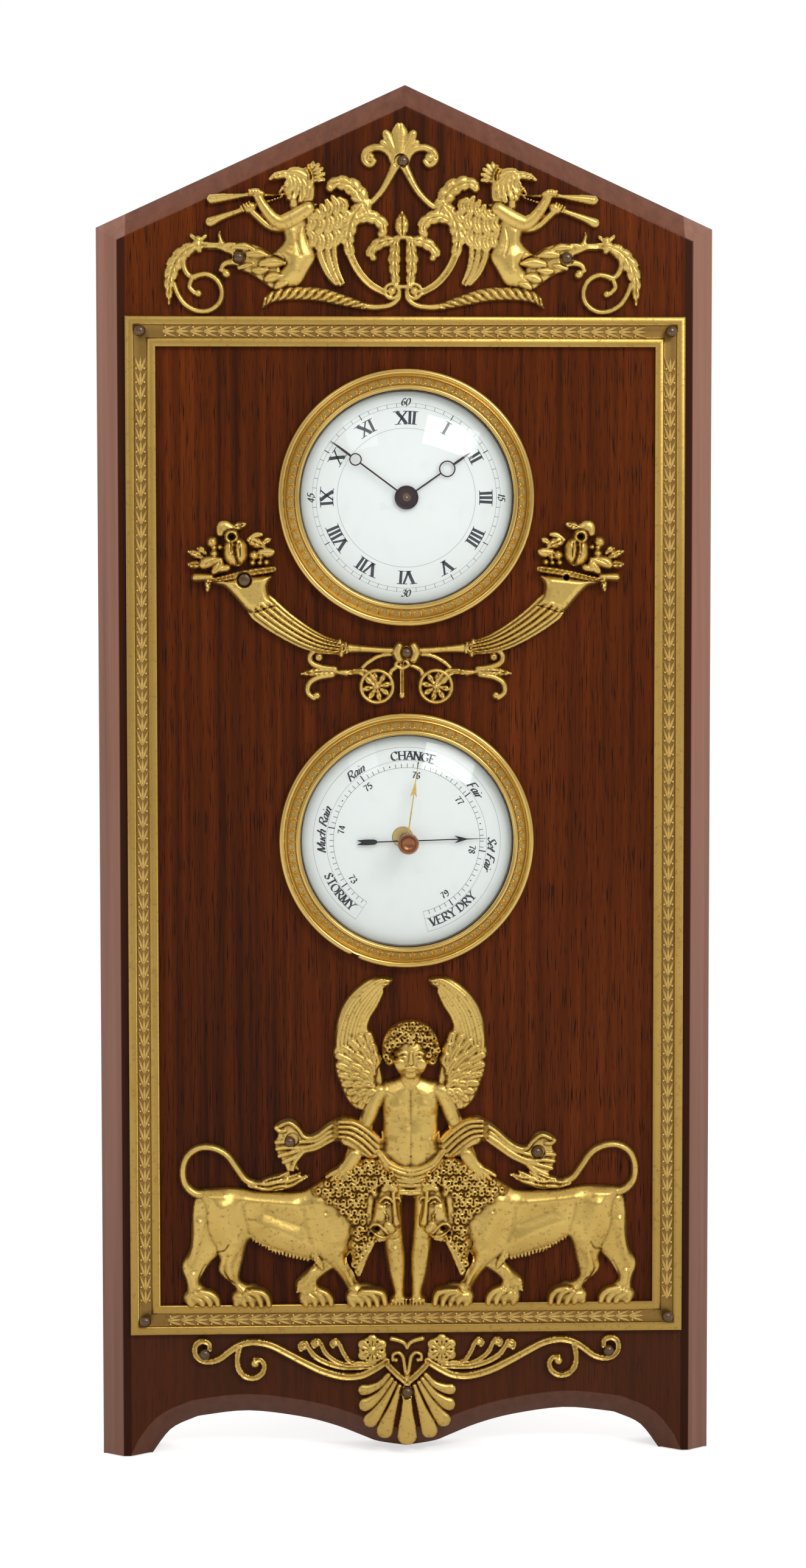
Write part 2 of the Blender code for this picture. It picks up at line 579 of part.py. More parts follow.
def make_board():
    """The gabled board with its chamfer, drum holes and pin holes."""
    outline = board_outline()
    face = inset(outline, CHAMFER_WIDTH)
    slab = lofted([[(x, y, -BOARD_THICKNESS) for x, y in outline],
                   [(x, y, -CHAMFER_DEPTH) for x, y in outline],
                   [(x, y, 0) for x, y in face]])
    hole = DRUM_RADIUS + DRUM_HOLE_CLEARANCE
    drums = [cylinder(hole, -BOARD_THICKNESS - OVERRUN, OVERRUN, (0, height), ROUND_STEPS)
             for height in (CLOCK_HEIGHT, BAROMETER_HEIGHT)]
    places = [place for group in pin_places().values() for place in group]
    return cut(slab, *drums, *pin_hole_cutters(places + empty_holes()))


def rectangle_loop(offset, height):
    """Corners of the border strip's outer rectangle moved inwards, at a height."""
    x = BORDER_WIDTH / 2 - offset
    low = BORDER_BOTTOM + offset
    high = BORDER_TOP - offset
    return [(-x, low, height), (x, low, height), (x, high, height), (-x, high, height)]


def make_border():
    """The rectangular strip: a laurel moulding between two rails, mitred at the corners."""
    section = [(0, SEAT_GAP)]
    section += [(x * BORDER_BAND, y * BORDER_RELIEF) for x, y in BORDER_SECTION_SHARES]
    section.append((BORDER_BAND, SEAT_GAP))
    shape = bmesh.new()
    rows = [[shape.verts.new(point) for point in rectangle_loop(*place)] for place in section]
    for here, there in zip(rows, rows[1:] + rows[:1]):
        for i in range(len(here)):
            j = (i + 1) % len(here)
            shape.faces.new((here[i], here[j], there[j], there[i]))
    mesh = bpy.data.meshes.new("border")
    shape.to_mesh(mesh)
    shape.free()
    return cut(evaluated_mesh(mesh), *pin_hole_cutters(pin_places()["border"]))


def make_mount(scrolls, figures, discs, drawing, middle, bottom, pins, holes):
    """A gilt relief: mirrored strokes, discs and pin pads fused and cut flat at the back.

    Each stroke sits a little higher than the last, so that no two share a plane where they cross.
    """
    parts = []
    for shares, relief_share in ((scrolls, SCROLL_RELIEF_SHARE), (figures, FIGURE_RELIEF_SHARE)):
        for row in shares:
            resolution = 1 if max(width for _, _, width in row) > ROUND_FIGURE_SHARE else 0
            for side in (-1, 1):
                lift = SEAT_GAP + STROKE_LIFT * (1 + len(parts) / (4 * len(scrolls)))
                points = [(side * x * drawing, y * drawing, width * drawing) for x, y, width in row]
                parts.append(stroke(points, relief_share, resolution, lift))
    for x, y, radius in discs:
        for side in (-1, 1):
            parts.append(cylinder(radius * drawing, 0, PAD_HEIGHT * SCROLL_RELIEF_SHARE,
                                  (side * x * drawing, y * drawing)))
    frame = Matrix.Translation((middle, bottom, 0))
    body = moved(joined(parts), frame)
    pads = [cylinder(PAD_RADIUS, 0, PAD_HEIGHT, place, PIVOT_STEPS) for place in pins + holes]
    body = joined([body, *pads])
    behind = block((-BOARD_WIDTH, -BOARD_HEIGHT, -BOARD_THICKNESS),
                   (BOARD_WIDTH, 2 * BOARD_HEIGHT, SEAT_GAP))
    bored = [turned([(0, BEZEL_HEIGHT), (PAD_RADIUS, BEZEL_HEIGHT), (PAD_RADIUS, PAD_HEIGHT),
                     (PIN_HOLE_RADIUS, PAD_HEIGHT), (PIN_HOLE_RADIUS, -OVERRUN), (0, -OVERRUN)], PIN_STEPS)
             for _ in pins + holes]
    bored = [moved(hole, Matrix.Translation((*place, 0))) for hole, place in zip(bored, pins + holes)]
    return cut(cut(body, behind), *bored)


def make_pin(level):
    """A round-headed pin whose head sits just above a level."""
    seat = level + SEAT_GAP
    top = seat + PIN_HEAD_HEIGHT
    shoulder = seat + PIN_HEAD_HEIGHT / 2
    profile = [(0, top), (PIN_HEAD_RADIUS, shoulder), (PIN_HEAD_RADIUS, seat), (PIN_SHANK_RADIUS, seat),
               (PIN_SHANK_RADIUS, -PIN_LENGTH), (0, -PIN_LENGTH)]
    return turned(profile, PIN_STEPS)


def make_bezel():
    """The bezel: a rim, a sloping ornamented ring and an inner bead over a recess for the flange."""
    width = BEZEL_RADIUS - BEZEL_BORE_RADIUS
    recess = BEZEL_RADIUS - BEZEL_SKIRT
    floor = SEAT_GAP + FLANGE_THICKNESS + SEAT_GAP + DIAL_THICKNESS + SEAT_GAP
    outer = [(BEZEL_BORE_RADIUS + x * width, y * BEZEL_HEIGHT) for x, y in BEZEL_SECTION_SHARES]
    profile = [(BEZEL_RADIUS, SEAT_GAP), (recess, SEAT_GAP), (recess, floor), (BEZEL_BORE_RADIUS, floor),
               *outer]
    return turned(profile, ROUND_STEPS, ring=True)


def glass_height(radius, lowering=0):
    """Height of the domed glass at a radius."""
    edge = BEZEL_BORE_RADIUS - SEAT_GAP
    sphere = (edge * edge + GLASS_RISE * GLASS_RISE) / (2 * GLASS_RISE)
    drop = sphere - math.sqrt(sphere * sphere - radius * radius)
    return GLASS_EDGE_HEIGHT + GLASS_RISE - drop - lowering


def make_glass(hole=0):
    """A domed glass, solid or with a hole in its middle."""
    edge = BEZEL_BORE_RADIUS - SEAT_GAP
    rings = 3
    radii = [hole + (edge - hole) * i / rings for i in range(rings + 1)]
    outer = [(radius, glass_height(radius)) for radius in radii]
    inner = [(radius, glass_height(radius, GLASS_THICKNESS)) for radius in radii]
    return turned(outer + inner[::-1], 2 * SMALL_STEPS, ring=hole > 0)


def make_dial(hole):
    """A dial plate that lies on the drum's flange."""
    low = SEAT_GAP + FLANGE_THICKNESS + SEAT_GAP
    return tube(hole, DIAL_RADIUS, low, low + DIAL_THICKNESS, 2 * SMALL_STEPS)


def drum_flange():
    """Profile points of a drum's front flange, down to its wall."""
    top = SEAT_GAP + FLANGE_THICKNESS
    return [(FLANGE_RADIUS, top), (FLANGE_RADIUS, SEAT_GAP), (DRUM_RADIUS, SEAT_GAP)]


def make_clock_drum():
    """The clock's drum: a tube with a front flange, open at the back for its cover."""
    back = -BOARD_THICKNESS - DRUM_BEHIND
    inner = DRUM_RADIUS - DRUM_WALL
    profile = [*drum_flange(), (DRUM_RADIUS, back), (inner, back), (inner, drum_flange()[0][1])]
    return turned(profile, 2 * SMALL_STEPS, ring=True)


def make_barometer_drum():
    """The barometer's drum: a cup with a front flange."""
    back = -BOARD_THICKNESS - DRUM_BEHIND
    inner = DRUM_RADIUS - DRUM_WALL
    profile = [(0, back + DRUM_WALL), (inner, back + DRUM_WALL), (inner, drum_flange()[0][1]),
               *drum_flange(), (DRUM_RADIUS, back), (0, back)]
    return turned(profile, 2 * SMALL_STEPS)


def make_clamp_ring():
    """The ring behind the board that holds a drum."""
    inner = DRUM_RADIUS + SEAT_GAP
    front = -BOARD_THICKNESS - SEAT_GAP
    return tube(inner, inner + CLAMP_WIDTH, front - CLAMP_THICKNESS, front, 2 * SMALL_STEPS)


def hand_outline(length, ring_place, ring_radius, hub_radius):
    """A pierced hand's edge and its ring's hole, pointing up."""
    rows = [(-hub_radius, 0)]
    rows += [(-hub_radius * math.cos(turn), hub_radius * math.sin(turn))
             for turn in (math.pi / 4, math.pi / 2, math.pi * 3 / 4)]
    rows.append((ring_place - ring_radius * 1.2, HAND_HALF_WIDTH))
    for turn in (math.pi * 5 / 6, math.pi * 2 / 3, math.pi / 2, math.pi / 3, math.pi / 6):
        rows.append((ring_place + ring_radius * math.cos(turn), ring_radius * math.sin(turn)))
    rows.append((ring_place + ring_radius * 1.3, HAND_HALF_WIDTH))
    rows.append((length, HAND_HALF_WIDTH / 3))
    right = [(across, along) for along, across in rows]
    left = [(-across, along) for along, across in reversed(rows[1:])]
    return right + left, circle(ring_radius * HAND_RING_BORE_SHARE, PIVOT_STEPS, (0, ring_place))


def make_hand(length, ring_place, ring_radius, hub_radius, bore, level, angle):
    """A pierced steel hand at a level, turned clockwise to the time it shows."""
    edge, eye = hand_outline(length, ring_place, ring_radius, hub_radius)
    mesh = flat([edge, eye, circle(bore)], level, level + HAND_THICKNESS)
    return moved(mesh, Matrix.Rotation(-angle, 4, "Z"))


def gear_outline(teeth, module, phase=0.0):
    """A wheel's toothed edge with a tooth pointing along its phase."""
    pitch = teeth * module / 2
    points = []
    for tooth in range(teeth):
        turn = phase + math.tau * tooth / teeth
        points.append(tuple(polar(pitch + TOOTH_TIP_SHARE * module, turn)))
        points.append(tuple(polar(pitch - TOOTH_ROOT_SHARE * module, turn + math.pi / teeth)))
    return points


def mesh_phase(teeth, phase, other_teeth, direction):
    """The phase of a wheel that meshes with another, seen along a direction from the other."""
    turned_by = (teeth / other_teeth) * (direction - phase)
    return direction + math.pi + math.pi / other_teeth + turned_by


def centre_distance(teeth, other_teeth, module):
    """The distance between two arbors whose wheels mesh."""
    return (teeth + other_teeth) * module / 2


def pivoted_arbor(radius=ARBOR_RADIUS):
    """An arbor between the plates, with pivots that run in the plates' holes."""
    front = -FRONT_PLATE_LEVEL - SEAT_GAP
    back = -BACK_PLATE_LEVEL + SEAT_GAP
    reach = PLATE_THICKNESS / 2
    return turned([(0, front + reach), (PIVOT_RADIUS, front + reach), (PIVOT_RADIUS, front),
                   (radius, front), (radius, back), (PIVOT_RADIUS, back),
                   (PIVOT_RADIUS, back - reach), (0, back - reach)], PIVOT_STEPS)


# Places of the arbors, worked out from the teeth, in the clock's face frame
THIRD_PLACE = polar(centre_distance(CENTRE_TEETH, THIRD_PINION_TEETH, CENTRE_MODULE), THIRD_DIRECTION)
FOURTH_PLACE = THIRD_PLACE + polar(
    centre_distance(THIRD_TEETH, FOURTH_PINION_TEETH, THIRD_MODULE), FOURTH_DIRECTION)
ESCAPE_PLACE = FOURTH_PLACE + polar(
    centre_distance(FOURTH_TEETH, ESCAPE_PINION_TEETH, FOURTH_MODULE), ESCAPE_DIRECTION)
PALLET_PLACE = ESCAPE_PLACE + polar(PALLET_REACH, PALLET_DIRECTION)
BALANCE_PLACE = PALLET_PLACE + polar(BALANCE_REACH, BALANCE_DIRECTION)
BARREL_PLACE = polar(centre_distance(GREAT_TEETH, CENTRE_PINION_TEETH, GREAT_MODULE), BARREL_DIRECTION)
MINUTE_PLACE = polar(
    centre_distance(CANNON_TEETH, MINUTE_WHEEL_TEETH, MOTION_MODULE), MINUTE_WHEEL_DIRECTION)

# Levels of the wheels behind the face, in order from the front plate
GREAT_LEVEL = FRONT_PLATE_LEVEL + PLATE_THICKNESS
FOURTH_LEVEL = GREAT_LEVEL + 2 * WHEEL_THICKNESS + RUNNING_GAP
THIRD_LEVEL = FOURTH_LEVEL + 3 * WHEEL_THICKNESS
CENTRE_LEVEL = BACK_PLATE_LEVEL - 2 * WHEEL_THICKNESS - RUNNING_GAP
ESCAPE_LEVEL = BACK_PLATE_LEVEL + PLATE_THICKNESS + WHEEL_THICKNESS
BALANCE_LEVEL = ESCAPE_LEVEL + 2 * WHEEL_THICKNESS
COCK_LEVEL = BALANCE_LEVEL + 3 * WHEEL_THICKNESS
BACK_LEVEL = BOARD_THICKNESS + DRUM_BEHIND
HOLLOW_ARBOR_RADIUS = CENTRE_ARBOR_RADIUS + RUNNING_GAP + HOLLOW_WALL
PIPE_INNER = CANNON_RADIUS + RUNNING_GAP
PIPE_OUTER = PIPE_INNER + PIPE_WALL


def wheel(teeth, module, phase, level, thickness=WHEEL_THICKNESS):
    """A toothed wheel whose front is at a level behind the face."""
    return flat([gear_outline(teeth, module, phase)], -level - thickness, -level)


def make_front_plate():
    """The front plate with its pillars and pivot holes."""
    radius = DRUM_RADIUS - DRUM_WALL - SEAT_GAP
    plate = cylinder(radius, -FRONT_PLATE_LEVEL, PLATE_THICKNESS - FRONT_PLATE_LEVEL, (0, 0),
                     2 * SMALL_STEPS)
    ring = BACK_PLATE_RADIUS - PILLAR_RADIUS
    pillars = [cylinder(PILLAR_RADIUS, SEAT_GAP - BACK_PLATE_LEVEL, PLATE_THICKNESS / 2 - FRONT_PLATE_LEVEL,
                        polar(ring, direction), PIVOT_STEPS) for direction in pillar_directions()]
    return cut(fused(plate, *pillars), *plate_holes())


def pillar_directions():
    """Directions of the movement's pillars, clear of the wheels."""
    return [math.radians(angle) for angle in (25, 125, 270)]


def plate_holes():
    """Cutters for the pivots that run in both plates."""
    low, high = -BACK_PLATE_LEVEL - PLATE_THICKNESS - OVERRUN, OVERRUN
    holes = [cylinder(PIVOT_HOLE_RADIUS, low, high, place, PIVOT_STEPS)
             for place in (THIRD_PLACE, FOURTH_PLACE, ESCAPE_PLACE)]
    holes.append(cylinder(HOLLOW_ARBOR_RADIUS + SEAT_GAP, low, high, (0, 0)))
    holes.append(cylinder(BARREL_ARBOR_RADIUS + SEAT_GAP, low, high, BARREL_PLACE))
    return holes


def make_back_plate():
    """The back plate, which also carries the pallets and the balance."""
    plate = cylinder(BACK_PLATE_RADIUS, -BACK_PLATE_LEVEL - PLATE_THICKNESS, -BACK_PLATE_LEVEL, (0, 0),
                     2 * SMALL_STEPS)
    staffs = [cylinder(PIVOT_HOLE_RADIUS, -BACK_PLATE_LEVEL - PLATE_THICKNESS - OVERRUN, OVERRUN, place,
                       PIVOT_STEPS) for place in (PALLET_PLACE, BALANCE_PLACE)]
    return cut(plate, *plate_holes(), *staffs)


def make_barrel():
    """The mainspring barrel with its great wheel, bored for the barrel arbor."""
    phase = BARREL_DIRECTION + math.pi
    low = -CENTRE_LEVEL + 2 * RUNNING_GAP
    drum = cylinder(BARREL_RADIUS, low, -GREAT_LEVEL - WHEEL_THICKNESS / 2, (0, 0), 2 * SMALL_STEPS)
    whole = fused(wheel(GREAT_TEETH, GREAT_MODULE, phase, GREAT_LEVEL, 1.5 * WHEEL_THICKNESS), drum)
    return cut(whole, cylinder(BARREL_ARBOR_RADIUS + SEAT_GAP, low - OVERRUN, OVERRUN))


def make_key():
    """The winding key on the barrel arbor: a stem with two wings behind the back cover."""
    front = -FRONT_PLATE_LEVEL + PLATE_THICKNESS / 2
    stem_front = -BACK_LEVEL - RUNNING_GAP
    stem_back = stem_front - KEY_WING_RADIUS
    arbor = turned([(0, front), (BARREL_ARBOR_RADIUS, front), (BARREL_ARBOR_RADIUS, stem_front),
                    (KEY_STEM_RADIUS, stem_front), (KEY_STEM_RADIUS, stem_back), (0, stem_back)],
                   SMALL_STEPS)
    middle = stem_back - KEY_WING_RADIUS / 2
    wings = [moved(flat([circle(KEY_WING_RADIUS, SMALL_STEPS)], -KEY_THICKNESS / 2, KEY_THICKNESS / 2),
                   Matrix.Translation((side * KEY_WING_RADIUS * 3 / 4, 0, middle))
                   @ Matrix.Rotation(math.pi / 2, 4, "X")) for side in (-1, 1)]
    return fused(arbor, *wings)


def make_centre_wheel():
    """The centre wheel and its pinion on a hollow arbor."""
    inner = CENTRE_ARBOR_RADIUS + RUNNING_GAP
    low, high = -BACK_PLATE_LEVEL - PLATE_THICKNESS / 2, -FRONT_PLATE_LEVEL + PLATE_THICKNESS / 2
    pinion = wheel(CENTRE_PINION_TEETH, GREAT_MODULE,
                   mesh_phase(GREAT_TEETH, BARREL_DIRECTION + math.pi, CENTRE_PINION_TEETH,
                              BARREL_DIRECTION + math.pi), GREAT_LEVEL - RUNNING_GAP, 2 * WHEEL_THICKNESS)
    teeth = wheel(CENTRE_TEETH, CENTRE_MODULE, THIRD_DIRECTION, CENTRE_LEVEL)
    pipe = cylinder(HOLLOW_ARBOR_RADIUS, low, high)
    return cut(fused(pipe, pinion, teeth), cylinder(inner, low - OVERRUN, high + OVERRUN))


def make_third_wheel():
    """The third wheel, its pinion and arbor."""
    pinion = wheel(THIRD_PINION_TEETH, CENTRE_MODULE,
                   mesh_phase(CENTRE_TEETH, THIRD_DIRECTION, THIRD_PINION_TEETH, THIRD_DIRECTION),
                   CENTRE_LEVEL - WHEEL_THICKNESS / 2, 2 * WHEEL_THICKNESS)
    teeth = wheel(THIRD_TEETH, THIRD_MODULE, FOURTH_DIRECTION, THIRD_LEVEL)
    return fused(pivoted_arbor(), pinion, teeth)


def make_fourth_wheel():
    """The fourth wheel, its pinion and arbor."""
    pinion = wheel(FOURTH_PINION_TEETH, THIRD_MODULE,
                   mesh_phase(THIRD_TEETH, FOURTH_DIRECTION, FOURTH_PINION_TEETH, FOURTH_DIRECTION),
                   THIRD_LEVEL - WHEEL_THICKNESS / 2, 2 * WHEEL_THICKNESS)
    teeth = wheel(FOURTH_TEETH, FOURTH_MODULE, ESCAPE_DIRECTION, FOURTH_LEVEL)
    return fused(pivoted_arbor(), pinion, teeth)


def make_escape_wheel():
    """The escape wheel behind the back plate, its pinion between the plates."""
    front = -FRONT_PLATE_LEVEL - SEAT_GAP
    back = -ESCAPE_LEVEL - 2 * WHEEL_THICKNESS
    arbor = turned([(0, front + PLATE_THICKNESS / 2), (PIVOT_RADIUS, front + PLATE_THICKNESS / 2),
                    (PIVOT_RADIUS, back), (0, back)], PIVOT_STEPS)
    pinion = wheel(ESCAPE_PINION_TEETH, FOURTH_MODULE,
                   mesh_phase(FOURTH_TEETH, ESCAPE_DIRECTION, ESCAPE_PINION_TEETH, ESCAPE_DIRECTION),
                   FOURTH_LEVEL - WHEEL_THICKNESS / 2, 2 * WHEEL_THICKNESS)
    points = []
    for tooth in range(ESCAPE_TEETH):
        turn = math.tau * tooth / ESCAPE_TEETH
        points.append(tuple(polar(ESCAPE_RADIUS, turn)))
        points.append(tuple(polar(ESCAPE_RADIUS * 3 / 4, turn + math.pi / (2 * ESCAPE_TEETH))))
    star = flat([points], -ESCAPE_LEVEL - WHEEL_THICKNESS / 2, -ESCAPE_LEVEL)
    return fused(arbor, pinion, star)


def make_pallet_lever():
    """The pallet lever: two pallets towards the escape wheel and a fork towards the balance."""
    arm = PALLET_REACH / 2
    outline = [(x * arm, y * arm) for x, y in PALLET_LEVER_SHARES]
    low = -ESCAPE_LEVEL - WHEEL_THICKNESS / 2
    lever = moved(flat([outline], low, -ESCAPE_LEVEL),
                  Matrix.Rotation(PALLET_DIRECTION + math.pi / 2, 4, "Z"))
    staff = cylinder(PIVOT_RADIUS, -COCK_LEVEL + SEAT_GAP,
                     -BACK_PLATE_LEVEL - PLATE_THICKNESS / 2, (0, 0), PIVOT_STEPS)
    return fused(staff, lever)


def make_balance():
    """The balance: a rim, a bar and its staff."""
    low, high = -BALANCE_LEVEL - WHEEL_THICKNESS, -BALANCE_LEVEL
    rim = tube(BALANCE_RADIUS - BALANCE_RIM, BALANCE_RADIUS, low, high, 2 * SMALL_STEPS)
    bar = block((-BALANCE_RADIUS + BALANCE_RIM / 2, -BALANCE_RIM / 2, low + WHEEL_THICKNESS / 4),
                (BALANCE_RADIUS - BALANCE_RIM / 2, BALANCE_RIM / 2, high - WHEEL_THICKNESS / 4))
    staff = cylinder(PIVOT_RADIUS, -COCK_LEVEL + SEAT_GAP,
                     -BACK_PLATE_LEVEL - PLATE_THICKNESS / 2, (0, 0), PIVOT_STEPS)
    return fused(rim, bar, staff)


def make_cock():
    """The cock that spans the balance and the pallets from a foot on the back plate."""
    foot = BALANCE_PLACE + polar(BALANCE_RADIUS + COCK_WIDTH, math.pi)
    end = PALLET_PLACE + Vector((COCK_WIDTH / 4, COCK_WIDTH / 4))
    half = COCK_WIDTH / 2
    bar = flat([[(foot.x - half, foot.y - half), (BALANCE_PLACE.x + half, foot.y - half),
                 (end.x + half, end.y + half / 2), (end.x - half, end.y + half),
                 (BALANCE_PLACE.x - half, foot.y + half), (foot.x - half, foot.y + half)]],
               -COCK_LEVEL - COCK_THICKNESS, -COCK_LEVEL)
    post = block((foot.x - half, foot.y - half, -COCK_LEVEL - COCK_THICKNESS / 2),
                 (foot.x + half, foot.y + half, -BACK_PLATE_LEVEL - PLATE_THICKNESS - SEAT_GAP))
    return fused(bar, post)


def make_cannon():
    """The centre arbor with the cannon pinion, from the rear knob to the minute hand."""
    hand = MINUTE_HAND_LEVEL - SEAT_GAP
    back = -BACK_LEVEL - KNOB_THICKNESS / 2
    pinion_high = PLATE_THICKNESS - FRONT_PLATE_LEVEL + RUNNING_GAP + WHEEL_THICKNESS
    profile = [(0, hand + HAND_THICKNESS), (CENTRE_ARBOR_RADIUS, hand + HAND_THICKNESS),
               (CENTRE_ARBOR_RADIUS, hand), (CANNON_RADIUS, hand), (CANNON_RADIUS, pinion_high),
               (CENTRE_ARBOR_RADIUS, pinion_high), (CENTRE_ARBOR_RADIUS, back), (0, back)]
    pinion = flat([gear_outline(CANNON_TEETH, MOTION_MODULE, MINUTE_WHEEL_DIRECTION)],
                  pinion_high - WHEEL_THICKNESS, pinion_high)
    return fused(turned(profile, SMALL_STEPS), pinion)


def make_minute_wheel():
    """The minute wheel and its pinion, on a stud of the front plate."""
    low = PLATE_THICKNESS - FRONT_PLATE_LEVEL + RUNNING_GAP
    phase = mesh_phase(CANNON_TEETH, MINUTE_WHEEL_DIRECTION, MINUTE_WHEEL_TEETH, MINUTE_WHEEL_DIRECTION)
    teeth = flat([gear_outline(MINUTE_WHEEL_TEETH, MOTION_MODULE, phase)], low, low + WHEEL_THICKNESS)
    pinion = flat([gear_outline(MINUTE_PINION_TEETH, motion_module(), MINUTE_WHEEL_DIRECTION + math.pi)],
                  low + WHEEL_THICKNESS / 2, low + 2 * WHEEL_THICKNESS + 2 * RUNNING_GAP)
    return fused(teeth, pinion)


def motion_module():
    """The module of the hour wheel, which shares the minute wheel's centre distance."""
    return (CANNON_TEETH + MINUTE_WHEEL_TEETH) * MOTION_MODULE / (MINUTE_PINION_TEETH + HOUR_TEETH)


def make_hour_wheel():
    """The hour wheel on its pipe, which carries the hour hand."""
    low = PLATE_THICKNESS - FRONT_PLATE_LEVEL + 2 * RUNNING_GAP + WHEEL_THICKNESS
    phase = mesh_phase(MINUTE_PINION_TEETH, MINUTE_WHEEL_DIRECTION + math.pi, HOUR_TEETH,
                       MINUTE_WHEEL_DIRECTION + math.pi)
    pipe = cylinder(PIPE_OUTER, low, HOUR_HAND_LEVEL - SEAT_GAP + HAND_THICKNESS)
    teeth = flat([gear_outline(HOUR_TEETH, motion_module(), phase)], low, low + WHEEL_THICKNESS)
    return cut(fused(pipe, teeth), cylinder(PIPE_INNER, low - OVERRUN, HOUR_HAND_LEVEL + OVERRUN))


def make_collet():
    """The collet that holds the minute hand on the arbor's end."""
    low = MINUTE_HAND_LEVEL + HAND_THICKNESS + SEAT_GAP
    return turned([(0, low + COLLET_HEIGHT), (COLLET_RADIUS * 2 / 3, low + COLLET_HEIGHT),
                   (COLLET_RADIUS, low + COLLET_HEIGHT / 2), (COLLET_RADIUS, low), (0, low)], SMALL_STEPS)


def fluted(radius, low, high):
    """A knob with a fluted edge."""
    points = []
    for flute in range(2 * KNOB_FLUTES):
        depth = radius * KNOB_FLUTE_DEPTH_SHARE * (flute % 2)
        points.append(tuple(polar(radius - depth, math.pi * flute / KNOB_FLUTES)))
    return flat([points], low, high)


def make_rear_knob():
    """The knob behind the back cover that sets the hands."""
    front = -BACK_LEVEL - RUNNING_GAP
    back = front - KNOB_THICKNESS
    knob = fluted(KNOB_RADIUS, back, front)
    floor = -BACK_LEVEL - KNOB_THICKNESS / 2 - SEAT_GAP
    return cut(knob, cylinder(CENTRE_ARBOR_RADIUS + SEAT_GAP, floor, front + OVERRUN))


def make_back_cover():
    """The disc that closes the clock's drum, with holes for the key and the knob's arbor."""
    radius = DRUM_RADIUS - DRUM_WALL - SEAT_GAP
    low = -BACK_LEVEL
    disc = cylinder(radius, low, low + BACK_COVER_THICKNESS, (0, 0), 2 * SMALL_STEPS)
    return cut(disc, cylinder(CENTRE_ARBOR_RADIUS + SEAT_GAP, low - OVERRUN, low + OVERRUN),
               cylinder(BARREL_ARBOR_RADIUS + SEAT_GAP, low - OVERRUN, low + OVERRUN, BARREL_PLACE))


def make_pressure_hand():
    """The black pressure hand with a forked tail, on the barometer's arbor."""
    right = [(x * HAND_HALF_WIDTH, -y * PRESSURE_TAIL_LENGTH) for x, y in PRESSURE_TAIL_SHARES]
    turns = [math.radians(angle) for angle in (-60, 0, 60)]
    right += [(SET_HUB_RADIUS * math.cos(turn), SET_HUB_RADIUS * math.sin(turn)) for turn in turns]
    right += [(x * HAND_HALF_WIDTH, y * PRESSURE_HAND_LENGTH) for x, y in PRESSURE_HEAD_SHARES]
    outline = right + [(-x, y) for x, y in reversed(right[1:-1])]
    level = PRESSURE_HAND_LEVEL
    hand = moved(flat([outline], level, level + HAND_THICKNESS),
                 Matrix.Rotation(-PRESSURE_HAND_ANGLE, 4, "Z"))
    back = -BRIDGE_LEVEL - PLATE_THICKNESS
    arbor = turned([(0, level + 2 * HAND_THICKNESS), (CENTRE_ARBOR_RADIUS, level + 2 * HAND_THICKNESS),
                    (CENTRE_ARBOR_RADIUS, back), (0, back)], PIVOT_STEPS)
    return fused(arbor, hand)


def make_set_hand():
    """The gilt set hand with a small arrow head."""
    turns = [math.radians(angle) for angle in (-45, 0, 45, 75)]
    right = [(0, -SET_HUB_RADIUS)]
    right += [(SET_HUB_RADIUS * math.cos(turn), SET_HUB_RADIUS * math.sin(turn)) for turn in turns]
    right += [(x * HAND_HALF_WIDTH, y * SET_HAND_LENGTH) for x, y in SET_HEAD_SHARES]
    outline = right + [(-x, y) for x, y in reversed(right[1:-1])]
    hand = flat([outline, circle(SET_ARBOR_RADIUS + SEAT_GAP, PIVOT_STEPS)],
                SET_HAND_LEVEL, SET_HAND_LEVEL + HAND_THICKNESS)
    return moved(hand, Matrix.Rotation(-SET_HAND_ANGLE, 4, "Z"))


def make_set_knob():
    """The fluted knob in front of the glass, on the set hand's arbor."""
    knob = fluted(SET_KNOB_RADIUS, SET_KNOB_LEVEL, SET_KNOB_LEVEL + SET_KNOB_THICKNESS)
    low = SET_HAND_LEVEL - SEAT_GAP
    arbor = cylinder(SET_ARBOR_RADIUS, low, SET_KNOB_LEVEL + SET_KNOB_THICKNESS / 2, (0, 0), PIVOT_STEPS)
    collar_high = glass_height(0, GLASS_THICKNESS) - SEAT_GAP
    collar = cylinder(SET_HUB_RADIUS * 2 / 3, SET_HAND_LEVEL + HAND_THICKNESS + SEAT_GAP, collar_high,
                      (0, 0), SMALL_STEPS)
    return fused(knob, arbor, collar)


def make_bush():
    """The flanged bush in the hole of the barometer's glass."""
    inner = SET_ARBOR_RADIUS + SEAT_GAP
    seat = glass_height(BUSH_RADIUS) + SEAT_GAP
    low = glass_height(0, GLASS_THICKNESS)
    top = SET_KNOB_LEVEL - SEAT_GAP
    profile = [(BUSH_TOP_RADIUS, top), (BUSH_FLANGE_RADIUS, seat + SEAT_GAP), (BUSH_FLANGE_RADIUS, seat),
               (BUSH_RADIUS, seat), (BUSH_RADIUS, low), (inner, low), (inner, top)]
    return turned(profile, SMALL_STEPS, ring=True)


